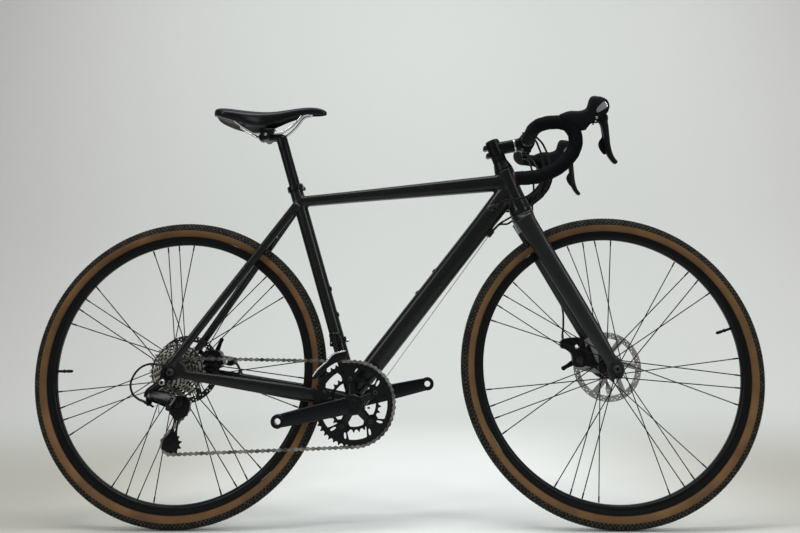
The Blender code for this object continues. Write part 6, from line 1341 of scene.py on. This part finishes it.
# Cassette: eleven nickel-plated steel sprockets, the larger ones pierced to save weight, with dark spacers.
# A lockring holds them on the rear hub.
nickel = Finish("nickel_steel", Metallic=0.9)
wear = nickel.noise(70, 5)
nickel.set(Base_Color=wear.above(0.25, 0.75).mix((0.22, 0.21, 0.18, 1), (0.66, 0.64, 0.56, 1)),
           Roughness=0.28 + 0.22 * nickel.noise(130))
SPROCKETS = (11, 12, 13, 14, 15, 17, 19, 22, 25, 28, 32)
discs, spacer_rings, painted_shade_rings = [], [], []
for index, teeth in enumerate(SPROCKETS):
    left = CHAINLINE + (index - 4) * 3.75
    outlines = [toothed_edge(REAR_HUB, teeth, SPROCKET_PHASE, 2.4),
                circle(REAR_HUB, 17 if teeth > 12 else 12, 32)]
    root = pitch_radius(teeth) - ROLLER_SEAT
    if teeth >= 17:
        low = max(pitch_radius(SPROCKETS[index - 1]) + 0.5, 22) if teeth < 22 else 24
        high = root - 3.4
        arms = 6 if teeth > 22 else 10
        for k in range(arms):
            if high - low > 4:
                first, last = 360 / arms * (k + 0.14) + 7 * index, 360 / arms * (k + 0.86) + 7 * index
                steps = 6
                window = [(first + (last - first) * j / steps, high) for j in range(steps + 1)]
                window += [(last - (last - first) * (0.12 + 0.76 * j / steps), low)
                           for j in range(steps + 1)]
                outlines.append(polar(REAR_HUB, window))
        for k in range(teeth):
            angle = math.radians(360 / teeth * (k + 0.5)) + SPROCKET_PHASE
            spot = REAR_HUB + (root - 1.5) * MM * toward(angle)
            if teeth >= 19 and k % 2 == 0:
                outlines.append(circle(spot, 1.1, 8))
    discs.append(plate(outlines, (left - 0.85) * MM, (left + 0.85) * MM))
    # A thin dark ring on each sprocket's outer face, just inside its teeth, is painted shade between the
    # sprockets.
    painted_shade_rings.append(lathe([(root - 3.2, left - 0.95), (root + 0.6, left - 0.95), (root + 0.6, left - 0.8),
                        (root - 3.2, left - 0.8)], REAR_HUB, SIDE, 64))
    if index:
        reach = min(pitch_radius(SPROCKETS[index - 1]) - 6.5, 22)
        spacer_rings.append(lathe([(reach - 4, left - 2.9), (reach, left - 2.9), (reach, left - 0.85),
                                   (reach - 4, left - 0.85)], REAR_HUB, SIDE, 36))
piece("sprockets", together(*discs), nickel, "cassette_body", "sprocket_steel", "cassette")
lockring = [(9.6, -64), (13.4, -64), (15.2, -63.4), (15.4, -62.4), (9.6, -62.2)]
carrier_cone = [(17, -42.4), (20, -42.4), (25, -27), (25, -25.5), (17, -25.5)]
piece("cassette_spacers_and_painted_shade", together(lathe(lockring, REAR_HUB, SIDE, 32),
                                   lathe(carrier_cone, REAR_HUB, SIDE, 40), *spacer_rings, *painted_shade_rings),
      dark_steel, "cassette_body", "sprocket_steel", "cassette")


# Rear derailleur: it hangs below the dropout on its own bolted plate. Two knuckles carry the
# parallelogram's two bars, and the long cage below carries the guide and tension pulleys.
HANGER_BOLT = REAR_HUB + at(-13, 0, -21)
LINK_SLOPE, LINK_SLANT = math.radians(20.0), math.radians(45.0)
LINK_ALONG = Vector((math.cos(LINK_SLOPE), 0, -math.sin(LINK_SLOPE)))
LINK_DOWN = Vector((-math.sin(LINK_SLOPE), 0, -math.cos(LINK_SLOPE)))
LINK_ACROSS = math.cos(LINK_SLANT) * SIDE + math.sin(LINK_SLANT) * LINK_DOWN
LINK_AXIS = LINK_ALONG.cross(LINK_ACROSS)
LINK_START = REAR_HUB + at(-34, -84, -48)
LINK_END = LINK_START + 42 * MM * LINK_ALONG
INNER_START = LINK_START + 14 * MM * LINK_ACROSS
ADJUSTER_END = REAR_HUB + at(-51, -86, -63)


hanger_line = rounded_outline(about(REAR_HUB, [(-11.5, 9), (-11.5, -8), (-6.4, -13), (-5.6, -25),
                                               (-10, -31.5), (-17, -31), (-22.6, -22), (-20.6, 7)]), 5)
hanger_plate = plate([hanger_line, circle(HANGER_BOLT, 4.3, 24)], -0.0778, -0.0738, 0.6)
piece("hanger_plate", together(hanger_plate, hex_bolt(REAR_HUB + at(-16, -77.8, 1), -SIDE, 2.8, 1.2)),
      anodised, "frame_body", "black_metal", "derailleur_hanger")


def knuckle_prongs(outer_pivot, away):
    """The prongs that hold both bars of the parallelogram, and the web behind them."""
    inner_pivot = outer_pivot + 14 * MM * LINK_ACROSS
    parts = []
    for end in (-1, 1):
        level = end * 10.3 * MM * LINK_AXIS
        spots = [outer_pivot - 4 * MM * LINK_ACROSS + level, inner_pivot + 4 * MM * LINK_ACROSS + level]
        parts.append(sweep([spot + 2.5 * MM * away for spot in spots], (2, 6.5), 24, start_side=LINK_AXIS,
                           power=4.0))
        for pivot in (outer_pivot, inner_pivot):
            parts.append(rod(pivot + end * 8.2 * MM * LINK_AXIS, pivot + end * 12.9 * MM * LINK_AXIS, 2.6,
                             16, 0.4))
    web = [outer_pivot - 3.6 * MM * LINK_ACROSS + 7 * MM * away,
           inner_pivot + 3.6 * MM * LINK_ACROSS + 7 * MM * away]
    parts.append(sweep(web, (11.7, 2), 24, start_side=LINK_AXIS, power=4.0))
    return parts


mount = HANGER_BOLT + at(0, -78.1, 0)
middle = mount + at(0, -7, 0)
web = LINK_START + at(-13, 4, 0)
neck = sweep(smooth_path([middle + at(6, 0, 2), middle + at(-6, 0, -4), web + at(3, -2, 6),
                          web + at(0, 0, -4)], 4), (7, 9), 24)
arm = sweep([web + at(-1, -2, 0), ADJUSTER_END + at(7, 0, -4)], 3.6, 20)
upper_shapes = [rod(mount, mount + at(0, -14, 0), 10, 36, 1.5), neck, arm,
                *knuckle_prongs(LINK_START, -LINK_ALONG)]
piece("upper_knuckle", together(*upper_shapes), crank_gloss, "frame_body", "black_metal",
      "derailleur_upper_knuckle")
barrel_way = at(21, 0, -11).normalized()
barrel = [(0, 0), (3.3, 0), (3.6, 0.6), (3.6, 4), (3.2, 4.5), (3.2, 6), (4.0, 6.4), (4.2, 12), (3.6, 12.8),
          (2.4, 13.5), (2.4, 23.5), (0, 23.7)]
ridges = []
for k in range(10):
    turn = Matrix.Rotation(2 * math.pi * k / 10, 3, barrel_way) @ SIDE
    spot = ADJUSTER_END + 4.1 * MM * turn
    ridges.append(rod(spot + 7 * MM * barrel_way, spot + 12 * MM * barrel_way, 0.5, 8))
piece("barrel_adjuster", together(lathe(barrel, ADJUSTER_END, barrel_way, 28), *ridges), anodised,
      "frame_body", "black_metal", "derailleur_upper_knuckle")
mount_bolt = [(0, 12.6), (3.4, 12.8), (3.6, 14.8), (6.2, 15), (6.8, 14.4), (6.8, 13), (0, 13)]
piece("mount_bolt", lathe(mount_bolt, mount, -SIDE, 32), polished, "frame_body", "silver")
for name, start, finish, wide in (("outer", LINK_START, crank_gloss, 2.2),
                                  ("inner", INNER_START, anodised, 2.2)):
    bar = sweep([start + step * MM * LINK_ALONG for step in (-3, -1.5, 10, 32, 43.5, 45)],
                [(7, 1.6), (8, 2.2), (7.6, wide), (7.6, wide), (8, 2.2), (7, 1.6)], 32,
                start_side=LINK_AXIS, power=3.4)
    if name == "outer":
        cover = []
        for step, deep in ((-2, -7), (0, -8.2), (14, -10), (32, -10.2), (42, -9.2), (44, -8)):
            cover.append(start + (step * LINK_ALONG + deep * LINK_ACROSS - 3 * LINK_AXIS) * MM)
        bar = together(bar, sweep(cover, [(7, 1.4), (10, 2.4), (14, 3.6), (15, 3.6), (11, 2.6), (8, 1.4)],
                                  32,
                                  start_side=LINK_AXIS, power=3.0))
    piece("link_" + name, bar, finish, name + "_link", "glossy_black" if name == "outer" else "black_metal",
          "derailleur_" + name + "_link")
outer_face = CAGE_PIVOT + at(0, -52.3, 0)
drum = [(0, 0), (12.6, 0), (13, 0.6), (13, 11), (12, 13.2), (10, 14), (4.4, 14), (4, 12.8), (0, 12.6)]
neck = sweep([outer_face + at(0, -8, 0), LINK_END + 10 * MM * LINK_ALONG + 7 * MM * LINK_ACROSS],
             [(6, 8), (6.5, 8)], 28)
lower_shapes = [lathe(drum, outer_face, -SIDE, 44), neck, *knuckle_prongs(LINK_END, LINK_ALONG)]
piece("lower_knuckle_body", together(*lower_shapes), crank_gloss, "lower_knuckle", "glossy_black",
      "derailleur_lower_knuckle")
along_cage = (TENSION - GUIDE).normalized()
across_cage = along_cage.cross(SIDE)
cage_shapes = []
for face, wide, low in ((-1, 9, 19), (1, 7, 15)):
    # the outer plate is broad round the guide pulley
    top = 2.1 if face < 0 else 1.0
    corners = [(GUIDE - 11 * top * MM * along_cage, 6 * top),
               (GUIDE - 5 * top * MM * along_cage, 10.5 * top),
               (GUIDE + 7 * top * MM * along_cage, 10 * top),
               (GUIDE.lerp(TENSION, 0.35), wide * 0.72), (GUIDE.lerp(TENSION, 0.68), wide * 0.9),
               (TENSION - 8 * MM * along_cage, low * 0.93), (TENSION + 6 * MM * along_cage, low),
               (TENSION + 15 * MM * along_cage, 0.75 * low)]
    right = [spot + half * MM * across_cage for spot, half in corners]
    left = [spot - half * MM * across_cage for spot, half in reversed(corners)]
    outline = rounded_outline([(spot.x, spot.z) for spot in right + left], 4)
    slot = []
    for k in range(20):
        angle = 2 * math.pi * k / 20
        spot = (GUIDE.lerp(TENSION, 0.52) + 15 * MM * math.cos(angle) * along_cage
                + (3.2 if face < 0 else 2.4) * MM * math.sin(angle) * across_cage)
        slot.append((spot.x, spot.z))
    near, far = sorted((CHAINLINE + face * 3.6, CHAINLINE + face * 5.0))
    cage_shapes.append(plate([outline, slot], near * MM, far * MM, 0.35))
cage_shapes.append(rod(CAGE_PIVOT + at(0, -52, 0), CAGE_PIVOT + at(0, -50.6, 0), 11, 36))
for spot in (GUIDE, TENSION):
    cage_shapes.append(rod(spot + at(0, CHAINLINE - 5.9, 0), spot + at(0, CHAINLINE + 5.6, 0), 2.5, 20))
    cage_shapes.append(hex_bolt(spot + at(0, CHAINLINE - 4.8, 0), -SIDE, 3.6, 1.7))
piece("cage_plates", together(*cage_shapes), anodised, "cage", "black_metal", "derailleur_cage")
pulley_plastic = Finish("pulley_plastic", Specular_IOR_Level=0.12)
pulley_plastic.set(Base_Color=pulley_plastic.noise(50).mix((0.004, 0.004, 0.004, 1),
                                                           (0.010, 0.010, 0.010, 1)),
                   Roughness=0.45 + 0.2 * pulley_plastic.noise(220))
for name, centre, phase in (("guide", GUIDE, GUIDE_PHASE), ("tension", TENSION, TENSION_PHASE)):
    window = ((-18, 14), (0, 14.6), (18, 14), (14, 11), (0, 10.6), (-14, 11))
    windows = [polar(centre, [(72 * k + phase * 57.3 + a, r) for a, r in window]) for k in range(5)]
    wheel = plate([toothed_edge(centre, PULLEY_TEETH, phase, 2.4), *windows, circle(centre, 2.8, 20)],
                  (CHAINLINE - 0.95) * MM, (CHAINLINE + 0.95) * MM)
    boss = lathe([(2.8, -3.3), (7.4, -3.3), (8.2, -2.6), (8.6, -1), (8.6, 1), (8.2, 2.6), (7.4, 3.3),
                  (2.8, 3.3)],
                 centre + at(0, CHAINLINE, 0), SIDE, 32)
    piece(name + "_pulley_wheel", together(wheel, boss), pulley_plastic, name + "_wheel", "black_plastic",
          name + "_pulley")


# Front derailleur: a band on the seat tube holds its body, and its slim black cage, whose upper edge is
# bright, swings over the outer ring on a pin between the body's two cheeks.
FD_PIVOT = BOTTOM_BRACKET + at(-46, -32, 152)
band_place = seat_point(144)
band = [(16.8, -6), (19.6, -6), (20.2, -5.4), (20.2, 5.4), (19.6, 6), (16.8, 6)]
body_shapes = [lathe(band, band_place, SEAT_UP, 44),
               sweep([FD_PIVOT + at(-2, 18, z) for z in (-26, -24, 4, 6)],
                     [(6.5, 10), (8, 12), (8, 12), (6.5, 10)], 28,
                     power=3.2)]
for low, high in ((-13, -6), (3, 9)):
    body_shapes.append(box(FD_PIVOT + at(low, -4.4, -5), FD_PIVOT + at(high, 12, 4.5), 1.6))
body_shapes.append(rod(FD_PIVOT + at(-13.4, 0, 0), FD_PIVOT + at(9.4, 0, 0), 4, 24, 0.6))
tube_room = [rod(seat_point(54), seat_point(234), 16.8, 44)]
put(edge_bevel(new_object("changer_body", combined(combined(body_shapes[0], body_shapes[1:]), tube_room,
                                                   "DIFFERENCE"),
                          anodised.material), 0.5), "frame_body", "black_metal", "front_derailleur_body")
fd_bolts = [hex_bolt(band_place + at(20, -2, 1), Vector((1, 0, 0.17)), 3.6, 6),
            hex_bolt(FD_PIVOT + at(-8, -0.5, -17), -SIDE, 2.4, 3),
            hex_bolt(FD_PIVOT + at(2, -0.5, -17), -SIDE, 2.4, 3)]
piece("changer_bolts", together(*fd_bolts), polished, "frame_body", "silver")
low = pitch_radius(OUTER_TEETH) + 7
cage_line = [(98, low + 5), (103, low + 1.2), (109, low), (116, low - 0.4), (124, low - 0.4), (132, low),
             (140, low), (147, low + 2), (150, low + 7), (149.5, low + 12), (145, low + 13.6),
             (136, low + 13.6), (128, low + 14), (121, low + 16.5), (115, low + 20.5), (110, low + 22),
             (103, low + 21), (98, low + 20)]
outline = polar(BOTTOM_BRACKET, cage_line)
inner_gap = 5.3
cage_shapes = [plate([outline], (CHAINLINE - inner_gap - 1.2) * MM, (CHAINLINE - inner_gap) * MM, 0.3),
               plate([outline], (CHAINLINE + inner_gap) * MM, (CHAINLINE + inner_gap + 1.2) * MM, 0.3),
               plate([polar(BOTTOM_BRACKET, [(99 + 14 * k / 6, low + 17.6) for k in range(7)]
                            + [(113 - 14 * k / 6, low + 20) for k in range(7)])],
                     (CHAINLINE - inner_gap - 0.6) * MM, (CHAINLINE + inner_gap + 0.6) * MM)]
rib_line = [(147 - 26 * k / 8, low + 12) for k in range(8)]
rib_line += [(116, low + 18), (111, low + 20.4), (99, low + 19)]
rib = polar(BOTTOM_BRACKET, rib_line)
bright_rib = sweep([Vector((x, (CHAINLINE - inner_gap - 1.6) * MM, z)) for x, z in rib], (0.9, 1.5), 14)
tail = polar(BOTTOM_BRACKET, [(147, low + 7)])[0]
tail_point = Vector((tail[0], CHAINLINE * MM, tail[1]))
cage_shapes.append(rod(tail_point - (inner_gap + 1) * MM * SIDE, tail_point + (inner_gap + 1) * MM * SIDE,
                       2.8, 20, 0.4))
arm_x, arm_z = polar(BOTTOM_BRACKET, [(110, low + 17)])[0]
arm_end = Vector((arm_x, (CHAINLINE + inner_gap / 2) * MM, arm_z))
cage_shapes.append(sweep([FD_PIVOT + at(-1.5, -3, -3), arm_end], (4, 4), 24, power=3.4))
cage_shapes.append(lathe([(4.4, -5.7), (7.6, -5.7), (8, -5.2), (8, 2.2), (7.6, 2.7), (4.4, 2.7)], FD_PIVOT,
                         Vector((1, 0, 0)), 32))
piece("changer_cage", together(*cage_shapes), ring_black, "front_changer", "black_metal",
      "front_derailleur_cage")
piece("changer_rib", bright_rib, polished, "front_changer", "silver")


# Disc brakes: cable-pulled calipers on the left. Each is a cast body over the rotor, with an arm on its
# outer face that the cable pulls, a barrel where its housing ends, and a pad adjuster.
brakes = (
    ("front", FRONT_HUB + at(-66, 0, 17), at(-36, 0, -20), 40, FRONT_HUB, 46, "steering_body", "front_arm",
     [(-14, -14), (10, -16), (17, 0), (17, 22), (12, 48), (-12, 52), (-40, 46), (-42, 28), (-30, 24),
      (-18, 12)],
     [(5, 39), (3, -8)], [(-34, 28.5), (-35, 45.5)]),
    ("rear", REAR_HUB + at(62, 0, 26), at(16, 0, 43), 52, REAR_HUB, 65, "frame_body", "rear_arm",
     [(-18, -24), (20, -24), (30, -14), (50, -18), (60, -8), (48, 2), (26, 6), (22, 14), (8, 20),
      (-14, 18), (-26, 4)],
     [(-10, -15), (14, -15)], [(40, -6.5), (57.5, -12.5)]),
)
for name, pivot, to_tip, disc, hub, face, body_name, arm_body, shape, mounts, barrel_ends in brakes:
    near = 2 * disc - face - 6
    body = plate([rounded_outline(about(pivot, shape), 4)], near * MM, face * MM, 1.6)
    slot_tool = rod(hub + (disc - 1.6) * MM * SIDE, hub + (disc + 1.6) * MM * SIDE, 82, 96)
    window_x, window_z = (-4, 30) if name == "front" else (36, -8)
    window = rod(pivot + at(window_x, face - 40, window_z), pivot + at(window_x, face + 10, window_z), 5.5,
                 28)
    cast = combined(body, [slot_tool, window], "DIFFERENCE")
    piece(name + "_caliper_body", cast, anodised, body_name, "black_metal", name + "_caliper")
    small = []
    for x, z in mounts:
        spot = pivot + at(x, face - 1, z)
        small.append(hex_bolt(spot, SIDE, 4.2, 3.4))
        small.append(hex_bolt(Vector((spot.x, (near + 2) * MM, spot.z)), -SIDE, 4.2, 2.2))
    adjuster = [(0, 0.6), (3, 0.6), (3.2, 0.2), (7.6, 0.5), (8, 0.3), (8, -0.5), (0, -0.5)]
    small.append(lathe(adjuster, Vector((pivot.x, near * MM, pivot.z)), -SIDE, 28))
    barrel = [pivot + at(x, face - 5, z) for x, z in barrel_ends]
    small.append(rod(barrel[0], barrel[1], 4.4, 24, 0.8))
    piece(name + "_caliper_fittings", together(*small), dark_steel, body_name, "black_metal")
    tip = pivot + to_tip
    head = lathe([(0, 0.3), (8, 0.3), (8.2, 0.8), (8, 4.6), (7, 5.3), (0, 5.3)], pivot + face * MM * SIDE,
                 SIDE, 32)
    bar = sweep([pivot + (face + 2.8) * MM * SIDE, pivot.lerp(tip, 0.8) + (face + 2.8) * MM * SIDE,
                 tip + (face + 2.8) * MM * SIDE], [(2.1, 8), (2, 4.6), (2, 4.8)], 24, power=3.0)
    knob = rod(tip + (face + 0.6) * MM * SIDE, tip + (face + 5.2) * MM * SIDE, 5.2, 24, 0.6)
    piece(name + "_arm_bar", together(head, bar, knob), anodised, arm_body, "black_metal",
          name + "_caliper_arm")
    piece(name + "_arm_bolts", together(hex_bolt(pivot + (face + 5.2) * MM * SIDE, SIDE, 4.0, 1.6),
                                        hex_bolt(tip + (face + 5.2) * MM * SIDE, SIDE, 2.8, 1.6)), polished,
          arm_body, "black_metal")


# Cables: black housings from under the bar's tape to the frame and the brakes, with dark metal ferrules at
# their stops. From the frame's stop two bare steel wires run along the down tube to a plastic guide under
# the bracket.
FRONT_BRAKE = [(341, 110.3, 877), (347, 84, 868), (356, 64, 838), (358, 59, 790), (352, 60, 735),
               (354, 62, 690), (372, 65, 620), (396, 67, 555), (414, 66, 490), (413, 56, 450),
               (408, 45, 428), (407, 42, 415.2)]
REAR_BRAKE = [(341, -110, 877), (352, -88, 866), (366, -62, 835), (368, -48, 795), (348, -44, 757),
              (308, -47, 745), (270, -44, 740), (252.3, -32.3, 731.2)]
RIGHT_SHIFT = [(346, -111, 880), (366, -84, 866), (384, -46, 832), (384, -6, 785), (352, 28, 744),
               (314, 34, 722), (293, 27, 710), (264, 8, 692), (246.2, 6, 675.2)]
LEFT_SHIFT = [(346, 111, 880), (364, 84, 862), (374, 56, 815), (366, 52, 765), (340, 51, 737),
              (312, 43, 715), (286, 25, 694), (262, -7, 688), (246.2, -6, 675.2)]
TAIL_BRAKE = [(-389, 60, 363.2), (-384, 59, 356), (-380.3, 58, 350)]
REAR_SHIFT = [(-533.7, -70.5, 366.6), (-556, -73, 369), (-576, -76, 362), (-590, -79, 346),
              (-596, -82, 325), (-589, -85, 305), (-574, -86, 293), (-560.3, -86, 287.6)]
DOWN_CABLE = [(-90, 6, 251.5), (-74, 6, 258.5), (232.8, 6, 658.7)]
housing_black = Finish("housing_black", Specular_IOR_Level=0.12)
housing_black.set(Base_Color=housing_black.noise(40).mix((0.003, 0.003, 0.0035, 1),
                                                         (0.006, 0.006, 0.0065, 1)),
                  Roughness=0.34 + 0.12 * housing_black.noise(180))


def in_metres(points):
    return [at(*point) for point in points]


housings = (("front_brake_housing", FRONT_BRAKE, "steering_body"), ("rear_brake_housing", REAR_BRAKE, None),
            ("shift_housing_right", RIGHT_SHIFT, None), ("shift_housing_left", LEFT_SHIFT, None),
            ("rear_brake_tail_housing", TAIL_BRAKE, "frame_body"),
            ("derailleur_housing", REAR_SHIFT, "frame_body"))
for name, points, body_name in housings:
    route = smooth_path(in_metres(points), 12)
    tube = new_object(name + "_tube", sweep(route, 2.4, 16, start_side=Vector((0.3, 1, 0.2))),
                      housing_black.material)
    ends = [rod(route[0], route[0] + (route[1] - route[0]).normalized() * 9 * MM, 2.9, 16, 0.4),
            rod(route[-1], route[-1] + (route[-2] - route[-1]).normalized() * 11 * MM, 2.9, 16, 0.4)]
    if body_name:
        put(tube, body_name, "black_plastic", name)
        piece(name + "_ferrules", together(*ends), dark_steel, body_name, "black_metal")
    else:
        piece(name + "_ferrule", together(ends[1]), dark_steel, "frame_body", "black_metal")
        ends[0].free()
        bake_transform(tube)
        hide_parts(name)
strands = []
for side in (1, -1):
    strand = [Vector((x, side * y, z)) * MM for x, y, z in DOWN_CABLE]
    strands.append(sweep([strand[0], strand[0].lerp(strand[1], 0.6), strand[1],
                          strand[1].lerp(strand[2], 0.03),
                          strand[2]], 0.9, 10, start_side=Vector((0, 1, 0.01))))
steel_wire = Finish("steel_wire", Metallic=1.0)
steel_wire.set(Base_Color=steel_wire.noise(400).mix((0.30, 0.30, 0.30, 1), (0.50, 0.50, 0.49, 1)),
               Roughness=0.3 + 0.15 * steel_wire.noise(900))
piece("down_tube_wires", together(*strands), steel_wire, "frame_body", "silver", "down_tube_cables")
guide_top = BOTTOM_BRACKET.z - 22.3 * MM
guide = box(Vector((BOTTOM_BRACKET.x - 8 * MM, -11 * MM, guide_top - 6 * MM)),
            Vector((BOTTOM_BRACKET.x + 7 * MM, 11 * MM, guide_top)), 1.4)
piece("cable_guide", guide, pulley_plastic, "frame_body", "black_plastic", "down_tube_cables")
loose_ends = [sweep([ADJUSTER_END + at(21, 0, -11), LINK_START + at(15, -1, -20)], 0.8, 10),
              sweep([LINK_START + at(15, -1, -20), LINK_START + at(17, -4, -34)], 0.8, 10),
              rod(LINK_START + at(17, -4, -34), LINK_START + at(17.2, -4, -40), 1.3, 10, 0.3)]
piece("derailleur_wire", together(*loose_ends), steel_wire, "frame_body", "silver")
